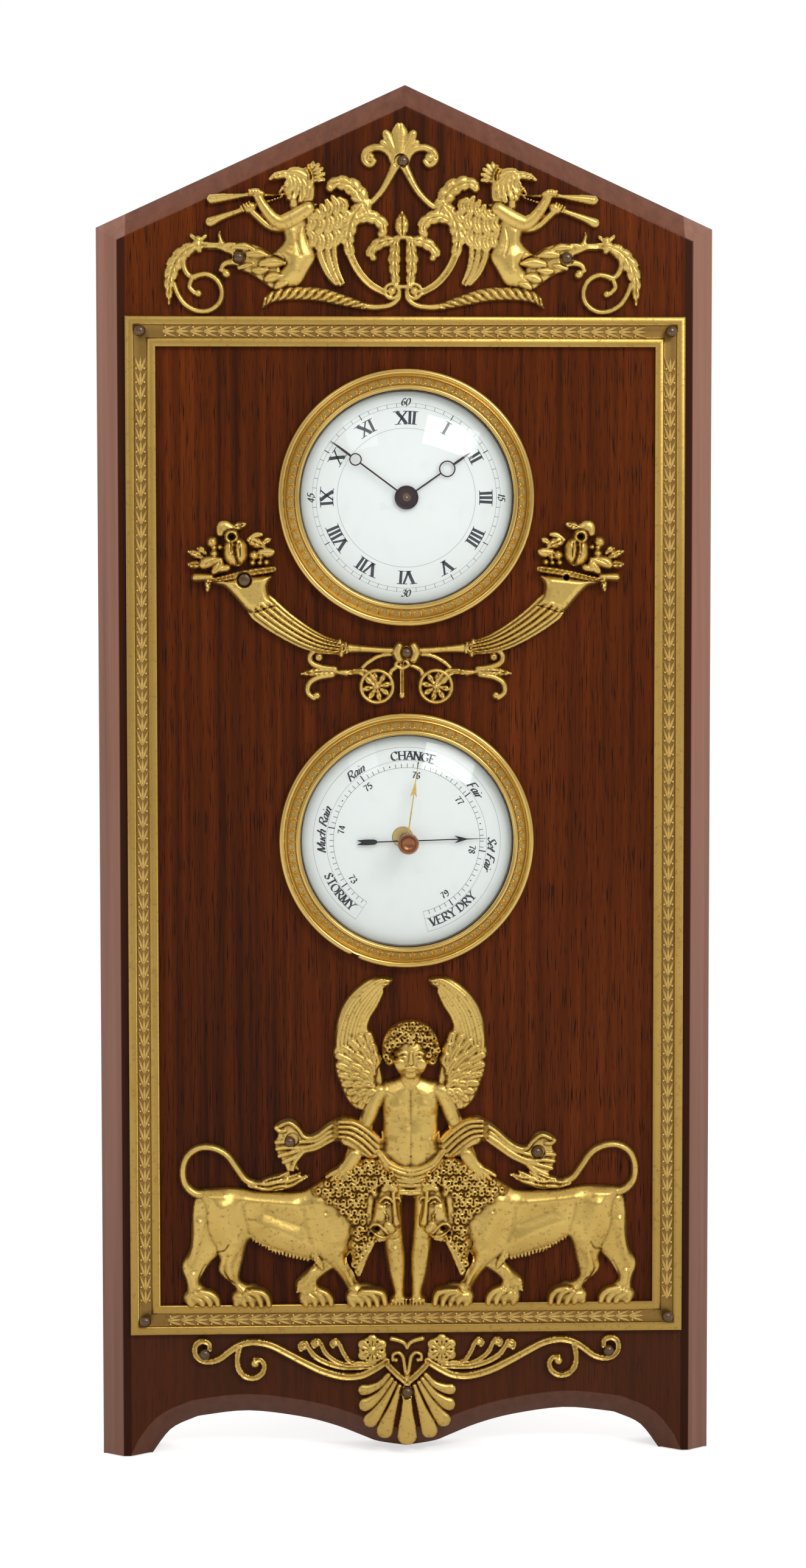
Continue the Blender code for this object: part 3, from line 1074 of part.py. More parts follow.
def make_movement_base():
    """The barometer's base plate, its two pillars and the bridge behind the dial."""
    radius = DRUM_RADIUS - DRUM_WALL - SEAT_GAP
    low = -BASE_LEVEL - PLATE_THICKNESS
    base = cylinder(radius, low, -BASE_LEVEL, (0, 0), 2 * SMALL_STEPS)
    half = BRIDGE_WIDTH / 2
    bridge = block((-BRIDGE_HALF_LENGTH - half, -half, -BRIDGE_LEVEL - PLATE_THICKNESS),
                   (BRIDGE_HALF_LENGTH + half, half, -BRIDGE_LEVEL))
    pillars = [cylinder(half * 2 / 3, low / 2 - BASE_LEVEL / 2, -BRIDGE_LEVEL - PLATE_THICKNESS / 2,
                        (side * BRIDGE_HALF_LENGTH, 0), PIVOT_STEPS) for side in (-1, 1)]
    return cut(fused(base, bridge, *pillars),
               cylinder(CENTRE_ARBOR_RADIUS + SEAT_GAP, -BRIDGE_LEVEL - PLATE_THICKNESS - OVERRUN, OVERRUN))


def make_capsule():
    """The corrugated aneroid capsule with its post."""
    low = -BASE_LEVEL + SEAT_GAP
    top = low + CAPSULE_HEIGHT
    ridge = CAPSULE_HEIGHT / 8
    post = CAPSULE_RADIUS / 8
    profile = [(0, top + 2 * ridge), (post, top + 2 * ridge), (post, top - ridge)]
    for step in range(2 * CAPSULE_RIDGES):
        radius = post + (CAPSULE_RADIUS - post) * (step + 1) / (2 * CAPSULE_RIDGES + 1)
        profile.append((radius, top - ridge * (step % 2)))
    profile += [(CAPSULE_RADIUS, top - ridge), (CAPSULE_RADIUS, low), (0, low)]
    return turned(profile, 2 * SMALL_STEPS)


def make_spring():
    """The steel leaf spring that bows over the capsule from a foot on the base plate."""
    low = -BASE_LEVEL + SEAT_GAP
    top = low + CAPSULE_HEIGHT + CAPSULE_HEIGHT / 4 + SEAT_GAP
    middle = (low + top + SPRING_THICKNESS) / 2
    bend = (top + SPRING_THICKNESS - low) / 2
    turns = [math.pi / 2 - math.pi * step / 8 for step in range(9)]
    start = CAPSULE_RADIUS + 2 * SEAT_GAP
    outer = [(start + bend * math.cos(turn), middle + bend * math.sin(turn)) for turn in turns]
    inner_bend = bend - SPRING_THICKNESS
    inner = [(start + inner_bend * math.cos(turn), middle + inner_bend * math.sin(turn)) for turn in turns]
    outline = [(-CAPSULE_RADIUS / 4, top + SPRING_THICKNESS), *outer, *reversed(inner),
               (-CAPSULE_RADIUS / 4, top)]
    turn = Matrix.Rotation(math.pi / 2, 4, "Z") @ Matrix.Rotation(math.pi / 2, 4, "X")
    return moved(flat([outline], -SPRING_WIDTH / 2, SPRING_WIDTH / 2), turn)


def make_rocker():
    """The rocking lever: a shaft between the bridge's pillars with a long and a short arm.

    The long arm runs on past the shaft and the short arm has a stub, half as long and four times as
    heavy, on its other side, so that the lever balances.
    """
    half = BRIDGE_HALF_LENGTH - BRIDGE_WIDTH / 3 - SEAT_GAP
    shaft = moved(cylinder(ROCKER_RADIUS, -half, half, (0, 0), PIVOT_STEPS),
                  Matrix.Rotation(math.pi / 2, 4, "Y"))
    width = ROCKER_RADIUS * 2 / 3
    long_arm = block((3 * width, -ROCKER_LONG_ARM, -width / 2), (5 * width, ROCKER_LONG_ARM, width / 2))
    short_arm = block((-half / 2 - width, -width, -ROCKER_SHORT_ARM), (-half / 2 + width, width, 0))
    stub = block((-half / 2 - 2 * width, -2 * width, 0),
                 (-half / 2 + 2 * width, 2 * width, ROCKER_SHORT_ARM / 2))
    return fused(shaft, long_arm, short_arm, stub)


def strut_angle():
    """The angle that the open strut makes with the board's back."""
    return math.atan((STRUT_REACH - hinge_offset()) / HINGE_HEIGHT)


def hinge_offset():
    """The hinge axis's distance behind the board's back."""
    return SEAT_GAP + KNUCKLE_RADIUS


def strut_bottom(depth):
    """The strut's lower end, in its own frame, where a depth behind the axis meets the floor."""
    angle = strut_angle()
    return -(HINGE_HEIGHT + depth * math.sin(angle)) / math.cos(angle)


def knuckle(low, high):
    """A hinge knuckle along x."""
    mesh = tube(HINGE_PIN_RADIUS + SEAT_GAP, KNUCKLE_RADIUS, low, high)
    return moved(mesh, Matrix.Rotation(math.pi / 2, 4, "Y"))


def make_strut():
    """The brass strut: two knuckles and a tapering plate whose foot is flat on the floor when open."""
    far = STRUT_FACE_DEPTH
    near = far - LEAF_THICKNESS
    top, foot = LEAF_WIDTH / 2, STRUT_FOOT_WIDTH / 2
    raised = KNUCKLE_RADIUS / 5
    side = top - SEAT_GAP
    plate = lofted([[(-foot, near, strut_bottom(near)), (foot, near, strut_bottom(near)),
                     (foot, far, strut_bottom(far)), (-foot, far, strut_bottom(far))],
                    [(-side, near, raised), (side, near, raised), (side, far, raised),
                     (-side, far, raised)]])
    clear = MIDDLE_KNUCKLE / 2 + SEAT_GAP
    edge = clear + SEAT_GAP / 2
    window = block((-edge, -KNUCKLE_RADIUS - OVERRUN, -KNUCKLE_RADIUS - SEAT_GAP),
                   (edge, KNUCKLE_RADIUS + OVERRUN, OVERRUN))
    return fused(cut(plate, window), knuckle(-top, -clear), knuckle(clear, top))


def make_leaf():
    """The hinge leaf on the board's back: a plate, the middle knuckle and two screw heads."""
    half = MIDDLE_KNUCKLE / 2
    top = LEAF_WIDTH / 2
    low_edge = KNUCKLE_RADIUS + SEAT_GAP
    plate = block((-top, -KNUCKLE_RADIUS, low_edge), (top, LEAF_THICKNESS - KNUCKLE_RADIUS, LEAF_HEIGHT))
    tongue = block((-half, -KNUCKLE_RADIUS, 0), (half, LEAF_THICKNESS - KNUCKLE_RADIUS, 2 * low_edge))
    heads = [moved(cylinder(SCREW_HEAD_RADIUS, 0, LEAF_THICKNESS * 3 / 2, (0, 0), PIVOT_STEPS),
                   Matrix.Translation((side * top * 2 / 3, -KNUCKLE_RADIUS + LEAF_THICKNESS / 2,
                                       (LEAF_HEIGHT + low_edge) / 2))
                   @ Matrix.Rotation(-math.pi / 2, 4, "X")) for side in (-1, 1)]
    return fused(plate, tongue, knuckle(-half, half), *heads)


def make_hinge_pin():
    """The pin through the knuckles."""
    half = LEAF_WIDTH / 2 - SEAT_GAP
    return moved(cylinder(HINGE_PIN_RADIUS, -half, half, (0, 0), PIVOT_STEPS),
                 Matrix.Rotation(math.pi / 2, 4, "Y"))


def strut_back_reach():
    """How far the open strut's foot reaches behind the board's back."""
    angle = strut_angle()
    return (hinge_offset() + KNUCKLE_RADIUS * math.cos(angle)
            - strut_bottom(KNUCKLE_RADIUS) * math.sin(angle))


def face_plane():
    """The y of the board's face, with the whole object's depth centred on the origin."""
    front_reach = SET_KNOB_LEVEL + SET_KNOB_THICKNESS
    return (front_reach - BOARD_THICKNESS - strut_back_reach()) / 2


def empty(name, location, upright=False, parent=None):
    """An empty that carries pieces, turned to the face frame when upright."""
    thing = bpy.data.objects.new(name, None)
    MODEL.objects.link(thing)
    thing.parent = parent
    thing.location = location
    thing.rotation_euler = (math.pi / 2, 0, 0) if upright else (0, 0, 0)
    return thing


def node(name, mesh, parent, finish, location=(0, 0, 0)):
    """One named piece with its own material."""
    mesh.name = name
    colour, roughness, metallic = COLOURS[finish]
    material = bpy.data.materials.new(name)
    material.use_nodes = True
    shader = material.node_tree.nodes["Principled BSDF"]
    shader.inputs["Base Color"].default_value = (*colour, 1)
    shader.inputs["Roughness"].default_value = roughness
    shader.inputs["Metallic"].default_value = metallic
    mesh.materials.clear()
    mesh.materials.append(material)
    mesh.shade_smooth()
    mesh.set_sharp_from_angle(angle=math.pi / 6)
    thing = bpy.data.objects.new(name, mesh)
    MODEL.objects.link(thing)
    thing.parent = parent
    thing.location = location
    return thing


def build_board(face):
    """The board, the border strip, the mounts and their pins."""
    groups = pin_places()
    node("board", make_board(), face, "mahogany")
    node("border_frame", make_border(), face, "gilt")
    mounts = (
        ("pediment", PEDIMENT_SCROLL_SHARES, PEDIMENT_FIGURE_SHARES, (), PEDIMENT_DRAWING_WIDTH,
         PEDIMENT_MIDDLE, PEDIMENT_BOTTOM, []),
        ("cornucopia", CORNUCOPIA_SCROLL_SHARES, CORNUCOPIA_FIGURE_SHARES, CORNUCOPIA_DISC_SHARES,
         CORNUCOPIA_DRAWING_WIDTH, 0, CORNUCOPIA_BOTTOM, empty_holes()),
        ("lion", LION_SCROLL_SHARES, LION_FIGURE_SHARES, (), LION_DRAWING_WIDTH, LION_MIDDLE, LION_BOTTOM,
         []),
        ("apron", APRON_SCROLL_SHARES, (), APRON_DISC_SHARES, APRON_DRAWING_WIDTH, 0, 0, []),
    )
    for name, scrolls, figures, discs, drawing, middle, bottom, holes in mounts:
        relief = make_mount(scrolls, figures, discs, drawing, middle, bottom, groups[name], holes)
        node(f"{name}_mount", relief, face, "gilt")
    for name, places in groups.items():
        level = BORDER_RELIEF if name == "border" else PAD_HEIGHT
        for number, place in enumerate(places, 1):
            node(f"{name}_pin_{number}", make_pin(level), face, "bronze", (*place, 0))


def build_clock(clock):
    """The clock's case, hands and movement."""
    node("clock_bezel", make_bezel(), clock, "gilt")
    node("clock_glass", make_glass(), clock, "glass")
    node("clock_dial", make_dial(PIPE_OUTER + 2 * SEAT_GAP), clock, "enamel")
    node("clock_drum", make_clock_drum(), clock, "brass")
    node("clock_clamp_ring", make_clamp_ring(), clock, "brass")
    node("clock_back_cover", make_back_cover(), clock, "brass")
    node("hour_hand", make_hand(HOUR_HAND_LENGTH, HOUR_RING_PLACE, HOUR_RING_RADIUS, HOUR_HUB_RADIUS,
                                PIPE_OUTER + SEAT_GAP, HOUR_HAND_LEVEL, HOUR_HAND_ANGLE), clock, "blued")
    node("minute_hand", make_hand(MINUTE_HAND_LENGTH, MINUTE_RING_PLACE, MINUTE_RING_RADIUS,
                                  MINUTE_HUB_RADIUS, CENTRE_ARBOR_RADIUS + SEAT_GAP, MINUTE_HAND_LEVEL,
                                  MINUTE_HAND_ANGLE), clock, "blued")
    node("hand_collet", make_collet(), clock, "steel")
    node("front_plate", make_front_plate(), clock, "brass")
    node("back_plate", make_back_plate(), clock, "brass")
    node("mainspring_barrel", make_barrel(), clock, "brass", (*BARREL_PLACE, 0))
    node("winding_key", make_key(), clock, "steel", (*BARREL_PLACE, 0))
    node("centre_wheel", make_centre_wheel(), clock, "brass")
    node("cannon_pinion", make_cannon(), clock, "steel")
    node("minute_wheel", make_minute_wheel(), clock, "brass", (*MINUTE_PLACE, 0))
    node("hour_wheel", make_hour_wheel(), clock, "brass")
    node("third_wheel", make_third_wheel(), clock, "brass", (*THIRD_PLACE, 0))
    node("fourth_wheel", make_fourth_wheel(), clock, "brass", (*FOURTH_PLACE, 0))
    node("escape_wheel", make_escape_wheel(), clock, "steel", (*ESCAPE_PLACE, 0))
    node("pallet_lever", make_pallet_lever(), clock, "steel", (*PALLET_PLACE, 0))
    node("balance_wheel", make_balance(), clock, "brass", (*BALANCE_PLACE, 0))
    node("balance_cock", make_cock(), clock, "brass")
    node("set_hands_knob", make_rear_knob(), clock, "brass")


def build_barometer(barometer):
    """The barometer's case, hands and aneroid movement."""
    node("barometer_bezel", make_bezel(), barometer, "gilt")
    node("barometer_glass", make_glass(BUSH_RADIUS + SEAT_GAP), barometer, "glass")
    node("barometer_dial", make_dial(CENTRE_ARBOR_RADIUS + 2 * SEAT_GAP), barometer, "enamel")
    node("barometer_drum", make_barometer_drum(), barometer, "brass")
    node("barometer_clamp_ring", make_clamp_ring(), barometer, "brass")
    node("pressure_hand", make_pressure_hand(), barometer, "blued")
    node("set_hand", make_set_hand(), barometer, "brass")
    node("set_hand_knob", make_set_knob(), barometer, "brass")
    node("glass_bush", make_bush(), barometer, "brass")
    node("movement_base", make_movement_base(), barometer, "brass")
    node("aneroid_capsule", make_capsule(), barometer, "steel")
    node("steel_spring", make_spring(), barometer, "steel")
    node("rocking_lever", make_rocker(), barometer, "steel", (0, 0, -ROCKER_LEVEL))


def build_stand(face_y):
    """The brass strut and its hinge on the board's back."""
    axis = (0, face_y + BOARD_THICKNESS + hinge_offset(), HINGE_HEIGHT)
    hinge = empty("strut_hinge", axis)
    strut = node("strut", make_strut(), hinge, "brass")
    strut.rotation_euler = (strut_angle(), 0, 0)
    node("hinge_leaf", make_leaf(), hinge, "brass")
    node("strut_hinge_pin", make_hinge_pin(), hinge, "steel")


def main():
    """Build the whole barometer clock."""
    face_y = face_plane()
    face = empty("board_face", (0, face_y, 0), upright=True)
    build_board(face)
    build_clock(empty("clock_centre", (0, CLOCK_HEIGHT, 0), parent=face))
    build_barometer(empty("barometer_centre", (0, BAROMETER_HEIGHT, 0), parent=face))
    build_stand(face_y)


remove_everything()
MODEL = bpy.data.collections.new("barometer_clock")
bpy.context.scene.collection.children.link(MODEL)
main()
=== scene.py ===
"""Barometer clock: the dressed model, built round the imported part.

The board's face frame is used for all drawing: x to the right, y up and z
towards the viewer, in millimetres, with z = 0 on the face.  FACE_TO_ROOM turns
it upright and into metres.
"""

import logging
import math
from collections.abc import Callable, Iterable, Sequence
from dataclasses import dataclass, field, replace
from enum import Enum

import bmesh
import bpy
import numpy as np
from mathutils import Matrix, Vector
from mathutils.geometry import delaunay_2d_cdt


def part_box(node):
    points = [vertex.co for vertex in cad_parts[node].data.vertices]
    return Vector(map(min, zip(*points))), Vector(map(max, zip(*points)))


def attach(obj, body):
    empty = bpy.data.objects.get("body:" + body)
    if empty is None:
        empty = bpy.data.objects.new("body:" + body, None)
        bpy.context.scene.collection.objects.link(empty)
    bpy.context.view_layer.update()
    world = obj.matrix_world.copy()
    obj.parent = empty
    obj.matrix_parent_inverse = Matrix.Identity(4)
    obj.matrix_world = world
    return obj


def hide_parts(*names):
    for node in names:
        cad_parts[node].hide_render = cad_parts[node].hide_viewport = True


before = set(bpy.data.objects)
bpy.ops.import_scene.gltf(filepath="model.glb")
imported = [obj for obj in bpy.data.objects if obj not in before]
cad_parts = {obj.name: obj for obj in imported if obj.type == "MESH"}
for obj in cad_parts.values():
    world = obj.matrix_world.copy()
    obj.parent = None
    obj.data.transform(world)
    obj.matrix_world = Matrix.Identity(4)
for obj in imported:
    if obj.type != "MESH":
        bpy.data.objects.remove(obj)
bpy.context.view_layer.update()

LOG = logging.getLogger("barometer_clock")
CASE = "clock_case"

FACE_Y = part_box("board")[0].y
FACE_TO_ROOM = (Matrix.Translation((0, FACE_Y, 0)) @ Matrix.Rotation(math.pi / 2, 4, "X")
                @ Matrix.Scale(0.001, 4))

# Heights of the two dials, then levels before and behind the face, in millimetres
CLOCK_UP = 1000 * (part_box("clock_bezel")[0].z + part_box("clock_bezel")[1].z) / 2
BAROMETER_UP = 1000 * (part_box("barometer_bezel")[0].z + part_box("barometer_bezel")[1].z) / 2
BOARD_BACK = -16.0
DRUM_BACK = -36.0
DIAL_FRONT = 1.9
PRINT_LOW = DIAL_FRONT - 0.02
PRINT_HIGH = DIAL_FRONT + 0.03
SEAT = 0.3

Point = tuple[float, ...]
Loop = Sequence[Point]


# Shapes


@dataclass
class Solid:
    """A closed mesh drawn in the face frame."""

    points: np.ndarray
    faces: list[tuple[int, ...]]
    patina: np.ndarray | None = None

    def moved(self, matrix: Matrix) -> "Solid":
        """Give a copy of this solid moved by a matrix.

        Args:
            matrix: Where the copy goes, in the face frame.

        Returns:
            The moved copy.
        """
        turn = np.array(matrix.to_3x3())
        shift = np.array(matrix.to_translation())
        return Solid(self.points @ turn.T + shift, self.faces, self.patina)


def joined(solids: Iterable[Solid]) -> Solid:
    """Put several solids into one.

    Args:
        solids: The solids to join.

    Returns:
        One solid with all their points and faces.
    """
    points, faces, count = [], [], 0
    for solid in solids:
        points.append(solid.points)
        faces += [tuple(i + count for i in face) for face in solid.faces]
        count += len(solid.points)
    return Solid(np.concatenate(points), faces)


def at(x: float, y: float, z: float = 0.0, turn: float = 0.0) -> Matrix:
    """Give the matrix of a place on the face, turned clockwise by degrees."""
    return Matrix.Translation((x, y, z)) @ Matrix.Rotation(-math.radians(turn), 4, "Z")


def lathe(profile: Loop, steps: int = 96, closed: bool = True,
          shape: Callable[[float, float, float], tuple[float, float]] | None = None) -> Solid:
    """Turn a profile round the z axis.

    Args:
        profile: (radius, height) points; a radius of 0 is a pole.
        steps: Sides of the turned shape.
        closed: Whether the last point joins the first.
        shape: Changes (radius, height) for a turn in degrees.

    Returns:
        The turned solid.
    """
    points: list[Point] = []
    rows: list[list[int]] = []
    for radius, height in profile:
        if radius < 1e-6:
            rows.append([len(points)] * steps)
            points.append((0.0, 0.0, height))
            continue
        rows.append(list(range(len(points), len(points) + steps)))
        for step in range(steps):
            turn = math.tau * step / steps
            r, h = shape(radius, height, math.degrees(turn)) if shape else (radius, height)
            points.append((r * math.sin(turn), r * math.cos(turn), h))
    faces = []
    pairs = list(zip(rows, rows[1:] + rows[:1])) if closed else list(zip(rows, rows[1:]))
    for low, high in pairs:
        for i in range(steps):
            j = (i + 1) % steps
            corners = dict.fromkeys((low[i], low[j], high[j], high[i]))
            if len(corners) > 2:
                faces.append(tuple(corners))
    return Solid(np.array(points), faces)


def circle(radius: float, steps: int = 48, place: Point = (0.0, 0.0)) -> list[Point]:
    """Give the points of a circle, anticlockwise."""
    return [(place[0] + radius * math.cos(math.tau * i / steps),
             place[1] + radius * math.sin(math.tau * i / steps)) for i in range(steps)]


def filled(loops: Sequence[Loop]) -> tuple[np.ndarray, list[tuple[int, ...]]]:
    """Fill flat outlines, where an outline inside another is a hole.

    Args:
        loops: Outlines of (x, y) points, none of which crosses another.

    Returns:
        The points of all loops in order, and the triangles between them.
    """
    points = [point[:2] for loop in loops for point in loop]
    edges, start = [], 0
    for loop in loops:
        edges += [(start + i, start + (i + 1) % len(loop)) for i in range(len(loop))]
        start += len(loop)
    found = delaunay_2d_cdt([Vector(p) for p in points], edges, [], 0, 1e-7)
    where = []
    for spot, ids in zip(found[0], found[3]):
        where.append(ids[0] if ids else len(points))
        if not ids:
            points.append(tuple(spot))
    spots = np.array([tuple(point) for point in points])
    triangles = np.array([[where[i] for i in face] for face in found[2]])
    middle = spots[triangles].mean(axis=1)
    inside = np.zeros(len(middle), bool)
    for a, b in edges:
        (ax, ay), (bx, by) = spots[a], spots[b]
        if ay == by:
            continue
        above = (ay > middle[:, 1]) != (by > middle[:, 1])
        inside ^= above & (middle[:, 0] < (bx - ax) * (middle[:, 1] - ay) / (by - ay) + ax)
    return spots, [tuple(int(i) for i in face) for face in triangles[inside]]


def plate(loops: Sequence[Loop], low: float, high: float, soften: float = 0.0) -> Solid:
    """Make a flat plate from outlines.

    Args:
        loops: The outer edge first, then its holes.
        low: Height of the back.
        high: Height of the front.
        soften: Width of the bevel round the front's edges.

    Returns:
        The plate, closed all round.
    """
    spots, triangles = filled(loops)
    count = len(spots)
    front = spots
    levels = [np.column_stack([spots, np.full(count, low)])]
    if soften:
        levels.append(np.column_stack([spots, np.full(count, high - soften)]))
        front = np.concatenate([inset(loop, soften if i == 0 else -soften)
                                for i, loop in enumerate(loops)])
    levels.append(np.column_stack([front, np.full(count, high)]))
    top = (len(levels) - 1) * count
    faces = [tuple(i + top for i in face) for face in triangles]
    faces += [face[::-1] for face in triangles]
    for level in range(len(levels) - 1):
        start = 0
        for loop in loops:
            for i in range(len(loop)):
                a, b = start + i, start + (i + 1) % len(loop)
                faces.append((a + level * count, b + level * count,
                              b + (level + 1) * count, a + (level + 1) * count))
            start += len(loop)
    return Solid(np.concatenate(levels), faces)


def inset(outline: Loop, width: float) -> np.ndarray:
    """Move an anticlockwise outline inwards.

    Args:
        outline: (x, y) points.
        width: How far it moves; less than 0 moves it outwards.

    Returns:
        The moved points.
    """
    here = np.array(outline, float)[:, :2]
    before = here - np.roll(here, 1, axis=0)
    after = np.roll(here, -1, axis=0) - here
    normals = []
    for side in (before, after):
        length = np.linalg.norm(side, axis=1, keepdims=True)
        normals.append(np.column_stack([-side[:, 1], side[:, 0]]) / length)
    cosine = (normals[0] * normals[1]).sum(axis=1, keepdims=True)
    return here + (normals[0] + normals[1]) * width / np.maximum(1 + cosine, 0.25)


def smooth(points: Loop, steps: int = 6) -> list[Point]:
    """Draw a curve through points.

    Args:
        points: The points that the curve passes, of any number of values each.
        steps: How many points stand for each stretch.

    Returns:
        The points of the curve.
    """
    if len(points) < 3:
        return [tuple(p) for p in points]
    ends = [points[0], *points, points[-1]]
    result = []
    for a, b, c, d in zip(ends, ends[1:], ends[2:], ends[3:]):
        for step in range(steps):
            t = step / steps
            result.append(tuple((2 * q + (r - p) * t + (2 * p - 5 * q + 4 * r - s) * t * t
                                 + (3 * q - p - 3 * r + s) * t ** 3) / 2
                                for p, q, r, s in zip(a, b, c, d)))
    return [*result, tuple(points[-1])]


def sweep(rings: Sequence[np.ndarray], closed: bool = False) -> Solid:
    """Skin a row of rings that have the same number of points.

    Args:
        rings: Arrays of (x, y, z) points.
        closed: Whether the last ring joins the first; otherwise both ends are capped.

    Returns:
        The skinned solid.
    """
    count, sides = len(rings), len(rings[0])
    faces = []
    for k in range(count if closed else count - 1):
        low, high = k * sides, (k + 1) % count * sides
        faces += [(low + i, low + (i + 1) % sides, high + (i + 1) % sides, high + i)
                  for i in range(sides)]
    if not closed:
        faces += [tuple(range(sides))[::-1], tuple(range((count - 1) * sides, count * sides))]
    return Solid(np.concatenate(rings), faces)


def petal(start: Point, end: Point, half_width: float, height: float, base: float = 0.0) -> Solid:
    """Make a small pointed leaf with a ridge.

    Args:
        start: (x, y) of its root.
        end: (x, y) of its tip.
        half_width: Half its width at the widest.
        height: Height of its ridge above the base.
        base: Height of its underside.

    Returns:
        The leaf.
    """
    a, b = np.array(start, float), np.array(end, float)
    across = np.array([a[1] - b[1], b[0] - a[0]]) / np.linalg.norm(b - a) * half_width
    rows = [(0.0, 0.35, 0.4), (0.35, 0.9, 1.0), (0.72, 0.8, 0.85), (1.0, 0.12, 0.35)]
    points = []
    for along, width, rise in rows:
        middle = a + (b - a) * along
        for side, up in ((-1, 0), (-0.75, 0.6), (0, 1), (0.75, 0.6), (1, 0)):
            points.append((*(middle + across * width * side), base + height * rise * up))
    faces = []
    for row in range(3):
        for i in range(4):
            k = row * 5 + i
            faces.append((k, k + 1, k + 6, k + 5))
        faces.append((row * 5 + 4, row * 5, row * 5 + 5, row * 5 + 9))
    faces += [(0, 1, 2, 3, 4), (15, 19, 18, 17, 16)]
    return Solid(np.array(points), faces)


def bead(place: Point, radius: float, height: float, base: float = 0.0, sides: int = 8) -> Solid:
    """Make a small domed bead that sits on a surface."""
    profile = [(0, height), (radius * 0.55, height * 0.85), (radius * 0.9, height * 0.5),
               (radius, 0), (0, 0)]
    solid = lathe(profile, sides, closed=False)
    return solid.moved(at(place[0], place[1], base))


# The finishes

Colour = tuple[float, float, float]
Output = tuple[bpy.types.Node, str | int]
WHITE = (1, 1, 1, 1)
SKIN_DEPTH = 0.0002


class Graph:
    """Short hand for building one node tree."""

    def __init__(self, tree: bpy.types.NodeTree) -> None:
        """Keep the tree and empty it."""
        self.tree = tree
        tree.nodes.clear()

    def feed(self, node: bpy.types.Node, inputs: dict) -> None:
        """Set a node's inputs.

        Args:
            node: The node.
            inputs: By name or number, a value, a node whose first output is linked, or a node
                with the name or number of its output.
        """
        for name, value in inputs.items():
            if isinstance(value, bpy.types.Node):
                value = (value, 0)
            if isinstance(value, tuple) and isinstance(value[0], bpy.types.Node):
                self.tree.links.new(value[0].outputs[value[1]], node.inputs[name])
            else:
                node.inputs[name].default_value = value

    def add(self, kind: str, inputs: dict | None = None, **settings: object) -> bpy.types.Node:
        """Add a node.

        Args:
            kind: The node's type.
            inputs: What its inputs get, as feed takes it.
            **settings: Properties of the node.

        Returns:
            The new node.
        """
        made = self.tree.nodes.new(kind)
        for name, value in settings.items():
            setattr(made, name, value)
        self.feed(made, inputs or {})
        return made

    def math(self, operation: str, *values: object, clamp: bool = False) -> bpy.types.Node:
        """Add an operation on one to three values."""
        return self.add("ShaderNodeMath", dict(enumerate(values)), operation=operation,
                        use_clamp=clamp)

    def spread(self, value: object, low: float, high: float, to_low: float = 0.0,
               to_high: float = 1.0) -> bpy.types.Node:
        """Map the range from low to high onto the one from to_low to to_high."""
        return self.add("ShaderNodeMapRange", {"Value": value, "From Min": low, "From Max": high,
                                               "To Min": to_low, "To Max": to_high})

    def mix(self, share: object, first: Colour | Output, second: Colour | Output) -> Output:
        """Mix two colours by a share of the second."""
        ends = [(*end, 1) if len(end) == 3 else end for end in (first, second)]
        return self.add("ShaderNodeMix", {0: share, 6: ends[0], 7: ends[1]}, data_type="RGBA"), 2


def shader_group(name: str, inputs: dict[str, float | None],
                 outputs: Sequence[str]) -> tuple[Graph, bpy.types.Node, bpy.types.Node]:
    """Start a shader node group.

    Args:
        name: The group's name.
        inputs: The default of each input, by name, with None for a vector.
        outputs: The name of each output.

    Returns:
        Its graph, its input node and its output node.
    """
    tree = bpy.data.node_groups.new(name, "ShaderNodeTree")
    for label, default in inputs.items():
        kind = "NodeSocketVector" if default is None else "NodeSocketFloat"
        entry = tree.interface.new_socket(label, in_out="INPUT", socket_type=kind)
        if default is not None:
            entry.default_value = default
    for label in outputs:
        tree.interface.new_socket(label, in_out="OUTPUT", socket_type="NodeSocketFloat")
    graph = Graph(tree)
    return graph, graph.add("NodeGroupInput"), graph.add("NodeGroupOutput")


class Effect(Enum):
    """The shader groups that finishes share."""

    WOOD_GRAIN = "wood_grain"
    METAL_WEAR = "metal_wear"

    def tree(self) -> bpy.types.NodeTree:
        """Give the group, built the first time it is asked for."""
        found = bpy.data.node_groups.get(self.value)
        if found:
            return found
        return wood_grain_group() if self is Effect.WOOD_GRAIN else metal_wear_group()


def wood_grain_group() -> bpy.types.NodeTree:
    """Build the grain: long streaks, broad figure and short dark pores along z.

    Returns:
        The shader group.
    """
    graph, given, result = shader_group("wood_grain", {"Vector": None},
                                        ("Streaks", "Figure", "Pores", "Height"))
    layers = []
    for scale, detail in (((420, 420, 7), 5.0), ((26, 26, 3.2), 2.0), ((2900, 2900, 105), 2.0)):
        mapping = graph.add("ShaderNodeMapping", {"Vector": (given, "Vector"), "Scale": scale})
        layers.append(graph.add("ShaderNodeTexNoise", {"Vector": mapping, "Scale": 1.0,
                                                       "Detail": detail, "Roughness": 0.6}))
    streaks = graph.spread(layers[0], 0.3, 0.7)
    figure = graph.spread(layers[1], 0.35, 0.65)
    pores = graph.spread(layers[2], 0.35, 0.45, 1.0, 0.0)
    height = graph.math("MULTIPLY_ADD", pores, -0.6, streaks)
    graph.feed(result, {"Streaks": streaks, "Figure": figure, "Pores": pores, "Height": height})
    return graph.tree


